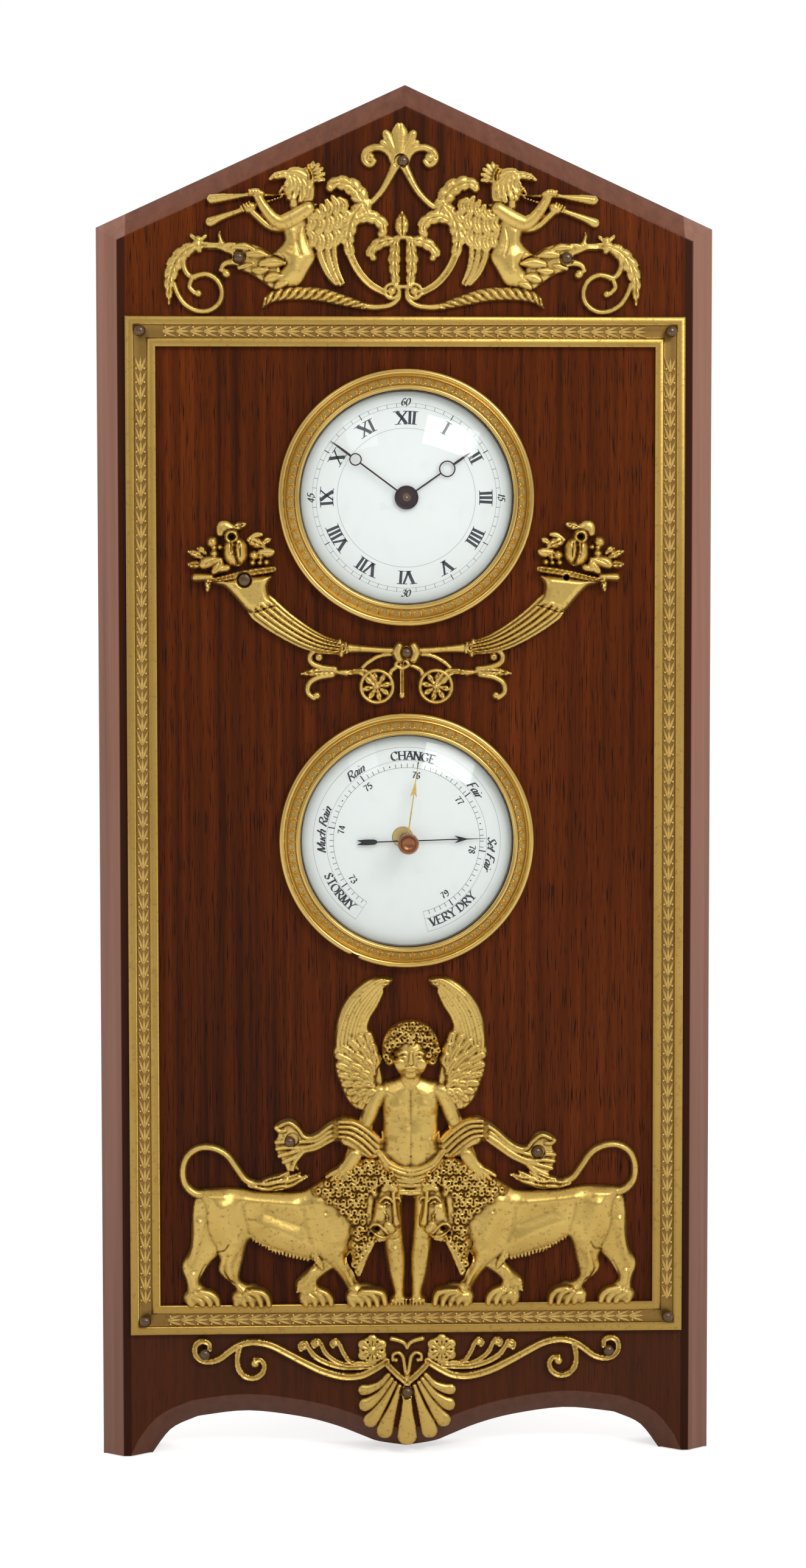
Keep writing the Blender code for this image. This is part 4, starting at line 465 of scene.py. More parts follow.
def metal_wear_group() -> bpy.types.NodeTree:
    """Build the wear of a metal: tarnish in hollows, specks, and a fine uneven skin.

    Returns:
        The shader group.
    """
    graph, given, result = shader_group(
        "metal_wear", {"Vector": None, "Hollow": 0.0, "Specks": 0.5, "Scale": 900.0},
        ("Tarnish", "Cloud", "Height"))
    cloud = graph.add("ShaderNodeTexNoise", {"Vector": (given, "Vector"), "Scale": 90.0,
                                             "Detail": 3.0})
    fine = graph.add("ShaderNodeTexNoise", {"Vector": (given, "Vector"),
                                            "Scale": (given, "Scale"), "Detail": 3.0,
                                            "Roughness": 0.6})
    specks = graph.math("MULTIPLY", graph.spread(fine, 0.56, 0.7), (given, "Specks"))
    uneven = graph.math("MULTIPLY_ADD", fine, 0.5, 0.75)
    deep = graph.math("MULTIPLY", (given, "Hollow"), uneven)
    graph.feed(result, {"Tarnish": graph.math("ADD", specks, deep, clamp=True), "Cloud": cloud,
                        "Height": fine})
    return graph.tree


@dataclass(frozen=True)
class Finish:
    """A finish: the name of its material, and a slot name that this script does not use."""

    name: str
    slot: str

    def material(self) -> bpy.types.Material:
        """Give this finish's material, built the first time it is asked for.

        Returns:
            The material.
        """
        found = bpy.data.materials.get(self.name)
        if found:
            return found
        material = bpy.data.materials.new(self.name)
        material.use_nodes = True
        graph = Graph(material.node_tree)
        shader = graph.add("ShaderNodeBsdfPrincipled")
        graph.add("ShaderNodeOutputMaterial", {"Surface": shader})
        self.wire(graph, shader)
        return material

    def wire(self, graph: Graph, shader: bpy.types.Node) -> None:
        """Add the nodes that feed the shader."""
        raise NotImplementedError


@dataclass(frozen=True)
class Metal(Finish):
    """A worn metal, brighter on its heights and tarnished in its hollows."""

    bright: Colour
    warm: Colour
    tarnish: Colour
    roughness: float = 0.35
    specks: float = 0.35
    bump: float = 0.15
    metallic: float = 1.0

    def wire(self, graph: Graph, shader: bpy.types.Node) -> None:
        """Add the cloudy tone, the tarnish and the uneven skin."""
        place = graph.add("ShaderNodeTexCoord")
        hollow = graph.add("ShaderNodeAttribute", attribute_name="patina")
        wear = graph.add("ShaderNodeGroup", {"Vector": (place, "Object"),
                                             "Hollow": (hollow, "Fac"), "Specks": self.specks},
                         node_tree=Effect.METAL_WEAR.tree())
        cloud = graph.mix((wear, "Cloud"), self.warm, self.bright)
        dull = min(1.0, self.roughness + 0.3)
        graph.feed(shader, {
            "Metallic": self.metallic,
            "Base Color": graph.mix((wear, "Tarnish"), cloud, self.tarnish),
            "Roughness": graph.spread((wear, "Tarnish"), 0.0, 1.0, self.roughness, dull),
            "Normal": graph.add("ShaderNodeBump", {"Strength": self.bump, "Distance": SKIN_DEPTH,
                                                   "Height": (wear, "Height")})})


@dataclass(frozen=True)
class Wood(Finish):
    """Polished mahogany with its grain up the board.

    The margin outside the border has a tone of its own. The chamfer gets painted sheen, the strip
    beside the border painted shade, and the wood is painted lighter towards the top.
    """

    name: str = "polished_mahogany"
    slot: str = "mahogany"
    dark: Colour = (0.02, 0.005, 0.0018)
    middle: Colour = (0.085, 0.016, 0.0018)
    light: Colour = (0.16, 0.031, 0.004)
    margin: Colour = (0.078, 0.027, 0.013)
    # Painted sheen: these chamfer tones are lighter than the wood and stand for reflected light,
    # most on the side chamfers.
    upper_chamfer: Colour = (0.17, 0.062, 0.034)
    side_chamfer: Colour = (0.33, 0.155, 0.105)
    roughness: float = 0.3
    border_side: tuple[float, float] = (0.0764, 0.0768)
    border_foot: tuple[float, float] = (0.035, 0.0344)
    # Heights over which the wood is painted lighter towards the top, as the light from above falls
    # on it.
    fade_heights: tuple[float, float] = (0.03, 0.33)

    def wire(self, graph: Graph, shader: bpy.types.Node) -> None:
        """Add the grain, the margin's tone, the painted sheen, shade and top light, the gloss and
        the pores.
        """
        place = (graph.add("ShaderNodeTexCoord"), "Object")
        grain = graph.add("ShaderNodeGroup", {"Vector": place},
                          node_tree=Effect.WOOD_GRAIN.tree())
        figure = graph.math("MULTIPLY", (grain, "Figure"), 0.32)
        ramp = graph.add("ShaderNodeValToRGB", {
            "Fac": graph.math("MULTIPLY_ADD", (grain, "Streaks"), 0.55, figure)})
        stops = ramp.color_ramp.elements
        stops[0].color = (*self.dark, 1)
        stops[1].color = (*self.light, 1)
        stops.new(0.45).color = (*self.middle, 1)
        panel = graph.mix((grain, "Pores"), (ramp, "Color"), self.dark)
        parts = graph.add("ShaderNodeSeparateXYZ", {"Vector": place})
        beside = graph.spread(graph.math("ABSOLUTE", (parts, "X")), *self.border_side)
        below = graph.spread((parts, "Z"), *self.border_foot)
        outside = graph.math("MULTIPLY", graph.math("MAXIMUM", beside, below), 0.58)
        tone = graph.mix(outside, panel, self.margin)
        # Painted shade: the narrow strip between the border and the side chamfers is darkened.
        painted_strip_shade = graph.mix(graph.math("MULTIPLY", beside, 0.72), tone, self.dark)
        # Painted sheen on the chamfer: lighter tones, varied by the grain, stand for the reflection
        # of the room on the slopes.
        chamfer_sheen_tone = graph.mix(beside, self.upper_chamfer, self.side_chamfer)
        slope = graph.add("ShaderNodeAttribute", attribute_name="chamfer")
        sheen_streaks = graph.math("MULTIPLY_ADD", (grain, "Streaks"), 0.3, 0.62)
        painted_chamfer_sheen = graph.math("MULTIPLY", (slope, "Fac"), sheen_streaks)
        # Painted light: the colour grows lighter towards the top of the board.
        painted_top_light = graph.spread((parts, "Z"), *self.fade_heights, 0.8, 1.1)
        graph.feed(shader, {
            "Specular IOR Level": 0.07,
            "Coat Weight": graph.math("MULTIPLY", painted_chamfer_sheen, 0.45),
            "Base Color": graph.add("ShaderNodeVectorMath", {
                0: graph.mix(painted_chamfer_sheen, painted_strip_shade, chamfer_sheen_tone), "Scale": painted_top_light}, operation="SCALE"),
            "Roughness": graph.spread((grain, "Pores"), 0.0, 1.0, self.roughness,
                                      self.roughness + 0.18),
            "Normal": graph.add("ShaderNodeBump", {"Strength": 0.12, "Distance": SKIN_DEPTH,
                                                   "Height": (grain, "Height")})})


@dataclass(frozen=True)
class Enamel(Finish):
    """A pale glazed dial, or the ink on it."""

    colour: Colour
    spots: Colour
    roughness: float = 0.3
    # Painted shade: the colour that the dial turns towards the glass's edge.
    shaded: Colour = (0.33, 0.36, 0.31)

    def wire(self, graph: Graph, shader: bpy.types.Node) -> None:
        """Add the spots, the painted shade on the rim and the uneven gloss."""
        place = graph.add("ShaderNodeTexCoord")
        wear = graph.add("ShaderNodeGroup", {"Vector": (place, "Object"), "Scale": 260.0,
                                             "Specks": 0.35},
                         node_tree=Effect.METAL_WEAR.tree())
        # The rim attribute holds painted shade, greying the dial towards the glass's edge.
        edge = graph.add("ShaderNodeAttribute", attribute_name="rim")
        tone = graph.mix((wear, "Tarnish"), self.colour, self.spots)
        graph.feed(shader, {
            "Base Color": graph.mix((edge, "Fac"), tone, self.shaded),
            "Roughness": graph.spread((wear, "Cloud"), 0.0, 1.0, self.roughness - 0.08,
                                      self.roughness + 0.12)})


@dataclass(frozen=True)
class Glass(Finish):
    """Clear glass with faint wipe marks in its gloss."""

    def wire(self, graph: Graph, shader: bpy.types.Node) -> None:
        """Add the wipe marks."""
        place = graph.add("ShaderNodeTexCoord")
        marks = graph.add("ShaderNodeTexNoise", {"Vector": (place, "Object"), "Scale": 60.0,
                                                 "Detail": 2.0})
        graph.feed(shader, {"Transmission Weight": 1.0, "IOR": 1.24,
                            "Base Color": (0.97, 0.985, 0.98, 1),
                            "Roughness": graph.spread(marks, 0.4, 0.75, 0.0, 0.03)})


GILT = Metal("matt_gilt", "gilt_brass", (0.88, 0.625, 0.19), (0.56, 0.36, 0.088),
             (0.11, 0.045, 0.012), 0.34, 0.45, 0.3)
RIM_GILT = Metal("satin_gilt", "gilt_brass", (0.56, 0.365, 0.1), (0.46, 0.28, 0.065),
                 (0.13, 0.055, 0.016), 0.38, 0.3, 0.2)
LAUREL_GILT = Metal("bright_gilt", "gilt_brass", (0.93, 0.77, 0.36), (0.8, 0.62, 0.25),
                    (0.34, 0.2, 0.07), 0.4, 0.2, 0.05, metallic=0.6)
BEZEL_GILT = Metal("burnished_gilt", "gilt_brass", (0.8, 0.56, 0.18), (0.62, 0.41, 0.11),
                   (0.2, 0.1, 0.03), 0.25, 0.06, 0.02)
# Painted shade: a darker gilt for the ground between the bezel's palmettes, where shade falls.
BEZEL_SHADED_GROUND = Metal("ground_shade_gilt", "gilt_brass", (0.56, 0.395, 0.135), (0.46, 0.31, 0.1),
                     (0.13, 0.06, 0.02), 0.36, 0.1, 0.03)
# Painted shade: a darker gilt for the channel floor under the laurel.
GROOVE_SHADE_GILT = Metal("groove_shade_gilt", "gilt_brass", (0.36, 0.215, 0.06), (0.27, 0.15, 0.04),
                    (0.1, 0.045, 0.015), 0.4, 0.3, 0.1)
BRASS = Metal("turned_brass", "plain_brass", (0.58, 0.42, 0.17), (0.45, 0.31, 0.12),
              (0.15, 0.09, 0.04), 0.3, 0.45, 0.12)
STEEL = Metal("bright_steel", "polished_steel", (0.55, 0.55, 0.56), (0.42, 0.42, 0.44),
              (0.1, 0.08, 0.07), 0.28, 0.3, 0.1)
BLUED = Metal("dark_blued_steel", "blued_steel", (0.07, 0.045, 0.05), (0.045, 0.03, 0.035),
              (0.02, 0.014, 0.014), 0.3, 0.3, 0.1)
BLACK_HAND = Metal("black_steel", "blued_steel", (0.03, 0.032, 0.036), (0.02, 0.02, 0.024),
                   (0.01, 0.01, 0.01), 0.35, 0.3, 0.1)
PIN = Metal("browned_pin", "dark_pin", (0.2, 0.13, 0.085), (0.13, 0.08, 0.055),
            (0.04, 0.024, 0.016), 0.32, 0.4, 0.2)
COPPER = Metal("turned_copper", "copper_knob", (0.42, 0.19, 0.095), (0.26, 0.1, 0.045),
               (0.12, 0.05, 0.03), 0.3, 0.35, 0.15)
WOOD = Wood()
DIAL_WHITE = Enamel("dial_enamel", "white_dial", (0.93, 0.965, 0.95), (0.84, 0.88, 0.86))
INK = Enamel("dial_ink", "white_dial", (0.035, 0.04, 0.05), (0.09, 0.1, 0.11), 0.5)
FAINT_INK = Enamel("faint_dial_ink", "white_dial", (0.2, 0.21, 0.23), (0.5, 0.52, 0.53), 0.5)
GLASS = Glass("domed_glass", "clear_glass")


# Placing a piece


def placed(name: str, solid: Solid, finish: Finish, body: str = CASE,
           nodes: Sequence[str] = (), sharp: float = 35.0, weld: bool = False,
           turn_out: bool = True, marks: dict[str, np.ndarray] | None = None) -> bpy.types.Object:
    """Turn a solid into a piece of the model.

    Args:
        name: The piece's name.
        solid: Its shape in the face frame.
        finish: Its finish.
        body: The moving body that carries it.
        nodes: The nodes of the part that it replaces.
        sharp: Edges sharper than this many degrees stay sharp.
        weld: Whether points at one place become one.
        turn_out: Whether its faces are turned outwards.
        marks: Values for each point, kept as attributes for the material.

    Returns:
        The new object.
    """
    mesh = bpy.data.meshes.new(name)
    mesh.from_pydata(solid.points.tolist(), [], solid.faces)
    for label, values in (marks or {}).items():
        mesh.attributes.new(label, "FLOAT", "POINT").data.foreach_set("value", values)
    if turn_out:
        work = bmesh.new()
        work.from_mesh(mesh)
        if weld:
            bmesh.ops.remove_doubles(work, verts=work.verts, dist=1e-4)
        bmesh.ops.recalc_face_normals(work, faces=work.faces)
        work.to_mesh(mesh)
        work.free()
    mesh.transform(FACE_TO_ROOM)
    mesh.materials.clear()
    mesh.materials.append(finish.material())
    mesh.shade_smooth()
    mesh.set_sharp_from_angle(angle=math.radians(sharp))
    piece = bpy.data.objects.new(name, mesh)
    bpy.context.scene.collection.objects.link(piece)
    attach(piece, body)
    if nodes:
        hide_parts(*nodes)
    LOG.info("%s: %d faces on %s", name, len(mesh.polygons), body)
    return piece


# Repeats of a small unit


class Pattern(Enum):
    """The Geometry Nodes trees that repeat a small unit."""

    RING = "ring_of_units"
    ROW = "row_of_units"
    MARKS = "units_on_marks"

    def tree(self) -> bpy.types.NodeTree:
        """Give the tree, built the first time it is asked for."""
        return bpy.data.node_groups.get(self.value) or repeat_tree(self)


def repeat_tree(pattern: Pattern) -> bpy.types.NodeTree:
    """Build a tree that sets copies of a unit round a ring, in a row or on marks.

    Args:
        pattern: Which of the three.

    Returns:
        The Geometry Nodes tree.
    """
    tree = bpy.data.node_groups.new(pattern.value, "GeometryNodeTree")
    sizes = {Pattern.RING: {"Count": "Int", "Radius": "Float"},
             Pattern.ROW: {"Count": "Int", "From": "Vector", "Step": "Vector", "Turn": "Float"},
             Pattern.MARKS: {"Marks": "Object"}}[pattern]
    for label, kind in {"Geometry": "Geometry", "Unit": "Object", "Finish": "Material",
                        **sizes}.items():
        tree.interface.new_socket(label, in_out="INPUT", socket_type=f"NodeSocket{kind}")
    tree.interface.new_socket("Geometry", in_out="OUTPUT", socket_type="NodeSocketGeometry")
    graph = Graph(tree)
    given = graph.add("NodeGroupInput")
    unit = graph.add("GeometryNodeObjectInfo", {"Object": (given, "Unit")})
    inputs = {"Instance": (unit, "Geometry")}
    if pattern is Pattern.MARKS:
        marks = graph.add("GeometryNodeObjectInfo", {"Object": (given, "Marks")})
        inputs["Points"] = (marks, "Geometry")
    elif pattern is Pattern.ROW:
        inputs["Points"] = graph.add("GeometryNodeMeshLine", {
            "Count": (given, "Count"), "Start Location": (given, "From"),
            "Offset": (given, "Step")})
        inputs["Rotation"] = graph.add("ShaderNodeCombineXYZ", {"Z": (given, "Turn")})
    else:
        inputs["Points"] = graph.add("GeometryNodeMeshCircle", {
            "Vertices": (given, "Count"), "Radius": (given, "Radius")})
        order = graph.add("GeometryNodeInputIndex")
        share = graph.math("DIVIDE", order, (given, "Count"))
        inputs["Rotation"] = graph.add("ShaderNodeCombineXYZ", {
            "Z": graph.math("MULTIPLY", share, math.tau)})
    copies = graph.add("GeometryNodeInstanceOnPoints", inputs)
    solid = graph.add("GeometryNodeRealizeInstances", {0: copies})
    dressed = graph.add("GeometryNodeSetMaterial", {"Geometry": solid,
                                                    "Material": (given, "Finish")})
    graph.add("NodeGroupOutput", {0: dressed})
    return tree


def loose(name: str, solid: Solid) -> bpy.types.Object:
    """Make an object that only feeds a tree and is removed afterwards."""
    mesh = bpy.data.meshes.new(name)
    mesh.from_pydata(solid.points.tolist(), [], solid.faces)
    return bpy.data.objects.new(name, mesh)


def repeated(pattern: Pattern, unit: Solid, finish: Finish, **sizes: object) -> Solid:
    """Run a tree and read back what it made.

    Args:
        pattern: The tree.
        unit: The shape that is repeated.
        finish: The finish of the copies.
        **sizes: The tree's other inputs, by name with a capital.

    Returns:
        All the copies as one solid.
    """
    tree = pattern.tree()
    helper = loose("unit", unit)
    host = bpy.data.objects.new("host", bpy.data.meshes.new("host"))
    bpy.context.scene.collection.objects.link(host)
    bpy.context.scene.collection.objects.link(helper)
    modifier = host.modifiers.new("repeat", "NODES")
    modifier.node_group = tree
    values = {"Unit": helper, "Finish": finish.material(), **sizes}
    for item in tree.interface.items_tree:
        if item.in_out == "INPUT" and item.name in values:
            modifier[item.identifier] = values[item.name]
    graph = bpy.context.evaluated_depsgraph_get()
    mesh = bpy.data.meshes.new_from_object(host.evaluated_get(graph))
    points = np.empty(len(mesh.vertices) * 3)
    mesh.vertices.foreach_get("co", points)
    faces = [tuple(face.vertices) for face in mesh.polygons]
    for used in (host, helper):
        bpy.data.objects.remove(used)
    bpy.data.meshes.remove(mesh)
    return Solid(points.reshape(-1, 3), faces)


# Lettering

GLYPHS: dict[str, tuple[float, tuple[Loop, ...]]] = {
    "I": (0.32, (((0.16, 0), (0.16, 1)),)),
    "V": (0.82, (((0.08, 1), (0.42, 0)), ((0.42, 0), (0.76, 1)))),
    "X": (0.84, (((0.08, 1), (0.76, 0)), ((0.08, 0), (0.76, 1)))),
    "T": (0.8, (((0.4, 0), (0.4, 1)), ((0.03, 1), (0.77, 1)))),
    "H": (0.95, (((0.14, 0), (0.14, 1)), ((0.8, 0), (0.8, 1)), ((0.14, 0.5), (0.8, 0.5)))),
    "E": (0.78, (((0.14, 0), (0.14, 1)), ((0.14, 1), (0.68, 1)), ((0.14, 0.52), (0.52, 0.52)),
                 ((0.14, 0), (0.7, 0)))),
    "F": (0.74, (((0.14, 0), (0.14, 1)), ((0.14, 1), (0.68, 1)), ((0.14, 0.52), (0.52, 0.52)))),
    "N": (0.95, (((0.14, 0), (0.14, 1)), ((0.14, 1), (0.8, 0)), ((0.8, 0), (0.8, 1)))),
    "M": (1.05, (((0.1, 0), (0.16, 1)), ((0.16, 1), (0.5, 0.05)), ((0.5, 0.05), (0.84, 1)),
                 ((0.84, 1), (0.9, 0)))),
    "A": (0.88, (((0.06, 0), (0.44, 1)), ((0.44, 1), (0.82, 0)), ((0.2, 0.36), (0.68, 0.36)))),
    "D": (0.92, (((0.14, 0), (0.14, 1)),
                 ((0.14, 1), (0.52, 0.96), (0.82, 0.5), (0.52, 0.04), (0.14, 0)))),
    "R": (0.86, (((0.14, 0), (0.14, 1)),
                 ((0.14, 1), (0.52, 0.98), (0.66, 0.76), (0.52, 0.53), (0.14, 0.5)),
                 ((0.38, 0.5), (0.8, 0)))),
    "Y": (0.84, (((0.04, 1), (0.42, 0.48)), ((0.8, 1), (0.42, 0.48)), ((0.42, 0.48), (0.42, 0)))),
    "C": (0.86, (((0.78, 0.78), (0.52, 1), (0.2, 0.86), (0.07, 0.5), (0.2, 0.13), (0.52, 0),
                  (0.78, 0.2)),)),
    "G": (0.95, (((0.78, 0.8), (0.52, 1), (0.2, 0.86), (0.07, 0.5), (0.2, 0.13), (0.5, 0),
                  (0.78, 0.15)), ((0.78, 0.12), (0.78, 0.42)), ((0.56, 0.42), (0.88, 0.42)))),
    "O": (0.92, (((0.45, 1), (0.17, 0.86), (0.06, 0.5), (0.17, 0.14), (0.45, 0), (0.73, 0.14),
                  (0.84, 0.5), (0.73, 0.86), (0.45, 1)),)),
    "S": (0.7, (((0.58, 0.8), (0.35, 1), (0.12, 0.8), (0.3, 0.55), (0.56, 0.3), (0.38, 0.02),
                 (0.07, 0.16)),)),
    "a": (0.6, (((0.46, 0.5), (0.26, 0.62), (0.06, 0.34), (0.18, 0.02), (0.44, 0.24)),
                ((0.47, 0.6), (0.45, 0.1), (0.6, 0.08)))),
    "c": (0.48, (((0.42, 0.5), (0.26, 0.62), (0.06, 0.32), (0.2, 0.01), (0.46, 0.14)),)),
    "e": (0.5, (((0.07, 0.28), (0.42, 0.42), (0.28, 0.62), (0.06, 0.32), (0.2, 0.01),
                 (0.48, 0.14)),)),
    "h": (0.6, (((0.1, 0), (0.1, 1.05)),
                ((0.1, 0.36), (0.3, 0.62), (0.45, 0.46), (0.44, 0.08), (0.58, 0.06)))),
    "i": (0.28, (((0.12, 0.6), (0.11, 0.08), (0.26, 0.06)), ((0.12, 0.84), (0.12, 0.92)))),
    "n": (0.6, (((0.1, 0), (0.1, 0.6)),
                ((0.1, 0.36), (0.3, 0.62), (0.45, 0.46), (0.44, 0.08), (0.58, 0.06)))),
    "r": (0.42, (((0.1, 0), (0.1, 0.6)), ((0.1, 0.36), (0.26, 0.6), (0.4, 0.58)))),
    "t": (0.36, (((0.18, 0.9), (0.14, 0.1), (0.32, 0.05)), ((0.02, 0.6), (0.34, 0.6)))),
    "u": (0.6, (((0.1, 0.6), (0.1, 0.14), (0.28, 0), (0.44, 0.22)),
                ((0.46, 0.6), (0.44, 0.08), (0.58, 0.06)))),
    "0": (0.64, (((0.3, 1), (0.12, 0.84), (0.06, 0.5), (0.12, 0.16), (0.3, 0), (0.5, 0.16),
                  (0.56, 0.5), (0.5, 0.84), (0.3, 1)),)),
    "1": (0.44, (((0.12, 0.8), (0.28, 1)), ((0.28, 1), (0.28, 0)))),
    "3": (0.62, (((0.07, 0.84), (0.28, 1), (0.5, 0.8), (0.38, 0.57), (0.22, 0.53)),
                 ((0.22, 0.53), (0.5, 0.44), (0.54, 0.18), (0.3, 0), (0.06, 0.14)))),
    "4": (0.66, (((0.44, 1), (0.04, 0.28)), ((0.04, 0.28), (0.62, 0.28)), ((0.44, 1), (0.44, 0)))),
    "5": (0.62, (((0.54, 1), (0.16, 1)), ((0.16, 1), (0.13, 0.55)),
                 ((0.13, 0.55), (0.35, 0.62), (0.54, 0.34), (0.35, 0.02), (0.06, 0.12)))),
    "6": (0.62, (((0.5, 0.9), (0.3, 1), (0.09, 0.6), (0.09, 0.25), (0.3, 0), (0.53, 0.25),
                  (0.35, 0.54), (0.11, 0.36)),)),
    "7": (0.6, (((0.05, 1), (0.56, 1)), ((0.56, 1), (0.32, 0.5), (0.24, 0)))),
    "8": (0.62, (((0.3, 0.54), (0.1, 0.76), (0.3, 1), (0.5, 0.76), (0.3, 0.54), (0.06, 0.27),
                  (0.3, 0), (0.55, 0.27), (0.3, 0.54)),)),
    "9": (0.62, (((0.12, 0.08), (0.3, 0), (0.52, 0.4), (0.52, 0.75), (0.3, 1), (0.08, 0.75),
                  (0.26, 0.46), (0.5, 0.64)),)),
    " ": (0.4, ()),
}
FIGURES = "0123456789"


@dataclass(frozen=True)
class Hand:
    """How a line of lettering is written."""

    size: float
    thick: float = 0.16
    thin: float = 0.035
    slant: float = 0.0
    serifs: bool = True
    spacing: float = 1.0
    nib: float = math.radians(28)


def ribbon(line: Sequence[Point], widths: Sequence[float]) -> Solid:
    """Print a thin line on a dial.

    Args:
        line: (x, y) points along its middle.
        widths: Its half width at each point.

    Returns:
        The line, a little raised.
    """
    middle = np.array(line, float)
    along = np.gradient(middle, axis=0)
    along /= np.maximum(np.linalg.norm(along, axis=1, keepdims=True), 1e-9)
    across = np.column_stack([-along[:, 1], along[:, 0]]) * np.array(widths)[:, None]
    rings = []
    for point, side in zip(middle, across):
        left, right = point - side, point + side
        rings.append(np.array([(*left, PRINT_LOW), (*right, PRINT_LOW), (*right, PRINT_HIGH),
                               (*left, PRINT_HIGH)]))
    return sweep(rings)


def letter(char: str, style: Hand) -> list[tuple[list[Point], list[float]]]:
    """Draw one letter with a broad pen.

    Args:
        char: The letter.
        style: How it is written.

    Returns:
        Its strokes, as middle lines and half widths, on a height of 1.
    """
    strokes = []
    for skeleton in GLYPHS[char][1]:
        line = smooth(skeleton, 5)
        if len(line) == 2:
            line = [line[0], tuple((a + b) / 2 for a, b in zip(*line)), line[1]]
        middle = np.array(line)
        along = np.gradient(middle, axis=0)
        angle = np.arctan2(along[:, 1], along[:, 0])
        swell = np.abs(np.sin(angle - style.nib)) ** 1.6
        widths = (style.thin + (style.thick - style.thin) * swell) / 2
        strokes.append((line, list(widths)))
        steep = abs(math.sin(angle[0])) > 0.8
        if style.serifs and len(skeleton) == 2 and steep and char not in FIGURES:
            for x, y in skeleton:
                if abs(y - 0.5) > 0.4:
                    reach = style.thick * 0.95
                    strokes.append(([(x - reach, y), (x, y), (x + reach, y)],
                                    [style.thin * 0.55] * 3))
    return strokes


def lettering(text: str, radius: float, angle: float, style: Hand,
              inwards: bool = False) -> list[Solid]:
    """Write a word on an arc, clockwise with its tops outwards, or the other way about.

    Args:
        text: The word.
        radius: Radius of its foot line, or of its tops where they point inwards.
        angle: Degrees clockwise from the top to its middle.
        style: How it is written.
        inwards: Whether its tops point to the middle.

    Returns:
        Its strokes.
    """
    way = -1 if inwards else 1
    widths = [GLYPHS[char][0] * style.spacing for char in text]
    start = -sum(widths) / 2
    solids = []
    for char, width in zip(text, widths):
        for line, halves in letter(char, style):
            bent = []
            for x, y in line:
                shift = (start + x + style.slant * (y - 0.5)) * style.size / radius
                turn = math.radians(angle) + way * shift
                reach = radius + ((1 - y) if inwards else y) * style.size
                bent.append((reach * math.sin(turn), reach * math.cos(turn)))
            solids.append(ribbon(bent, [h * style.size for h in halves]))
        start += width
    return solids


def arc_line(radius: float, start: float, end: float, half: float) -> Solid:
    """Draw a thin arc between two angles, in degrees clockwise from the top."""
    steps = max(8, int(abs(end - start) / 3))
    turns = [math.radians(start + (end - start) * i / steps) for i in range(steps + 1)]
    line = [(radius * math.sin(turn), radius * math.cos(turn)) for turn in turns]
    return ribbon(line, [half] * len(line))


def ray(angle: float, inner: float, outer: float, half: float) -> Solid:
    """Draw a thin line outwards at an angle, in degrees clockwise from the top."""
    turn = math.radians(angle)
    line = [(r * math.sin(turn), r * math.cos(turn)) for r in (inner, (inner + outer) / 2, outer)]
    return ribbon(line, [half] * 3)


# The board


@dataclass
class Board:
    """The gabled board, its rounded chamfer and its holes."""

    half_width: float = 84.7
    shoulder: float = 340.0
    apex: float = 379.0
    foot: float = 13.7
    arch_rise: float = 11.6
    chamfer: float = 5.8
    chamfer_depth: float = 4.5
    hole: float = 31.0
    arch: Loop = ((1, 0), (0.93, 0.56), (0.845, 0.82), (0.79, 0.905), (0.62, 1), (0.42, 0.845),
                  (0.28, 0.62), (0.17, 0.353), (0.11, 0.215), (0, 0.112))
    empty_pin_hole: Point = (43.9, 244.4)
    pin_hole_radius: float = 0.95
    pin_hole_floor: float = -9.0

    def outline(self) -> list[Point]:
        """Give the board's edge, anticlockwise from its left foot's outer corner."""
        span = self.half_width - self.foot
        arch = [(x * span, y * self.arch_rise) for x, y in smooth(self.arch, 4)]
        left = [(-x, y) for x, y in arch]
        top = [(self.half_width, 0), (self.half_width, self.shoulder), (0, self.apex),
               (-self.half_width, self.shoulder)]
        return [(-self.half_width, 0), *left, *arch[-2::-1], *top]

    def stepped(self, edge: Loop, width: float) -> np.ndarray:
        """Give the edge moved inwards, with the feet flat on the ground.

        Args:
            edge: The board's edge.
            width: How far it moves.

        Returns:
            The moved edge.
        """
        ring = inset(edge, width)
        for i, (x, y) in enumerate(edge):
            if abs(y) < 1e-6:
                inwards = -width if abs(x) > self.half_width - 1 else width
                ring[i] = (x + math.copysign(1, x) * inwards, min(width, 0.3))
        return ring

    def build(self) -> None:
        """Build the board and set it in place of the part's."""
        edge = self.outline()
        depth = self.chamfer_depth
        rows = [(0.6, BOARD_BACK), (0.18, BOARD_BACK + 0.18), (0, BOARD_BACK + 0.6),
                (0, -depth - 0.4), (0.06, -depth - 0.1), (0.25, -depth + 0.15),
                (self.chamfer - 0.5, -0.42), (self.chamfer - 0.15, -0.14),
                (self.chamfer + 0.2, -0.03), (self.chamfer + 0.6, 0)]
        rings = [np.column_stack([self.stepped(edge, width), np.full(len(edge), z)])
                 for width, z in rows]
        skirt = sweep(rings)
        skirt.faces = skirt.faces[:-2]
        parts = [skirt]
        drums = [circle(self.hole, 96, (0, up)) for up in (CLOCK_UP, BAROMETER_UP)]
        nail = circle(self.pin_hole_radius, 16, self.empty_pin_hole)
        for ring, z, holes in ((rings[-1], 0.0, [*drums, nail]), (rings[0], BOARD_BACK, drums)):
            spots, triangles = filled([[tuple(p) for p in ring[:, :2]], *holes])
            parts.append(Solid(np.column_stack([spots, np.full(len(spots), z)]), triangles))
        for loop, floor in (*((drum, BOARD_BACK) for drum in drums), (nail, self.pin_hole_floor)):
            wall = sweep([np.array([(*p, z) for p in loop]) for z in (0.0, floor)])
            closed_end = wall.faces[-1:] if floor > BOARD_BACK else []
            wall.faces = wall.faces[:-2] + closed_end
            parts.append(wall)
        solid = joined(parts)
        sloped = (solid.points[:, 2] > -depth - 0.2) & (solid.points[:, 2] < -0.1)
        placed("board_panel", solid, WOOD, nodes=["board"], weld=True,
               marks={"chamfer": sloped.astype(float)})


# The border


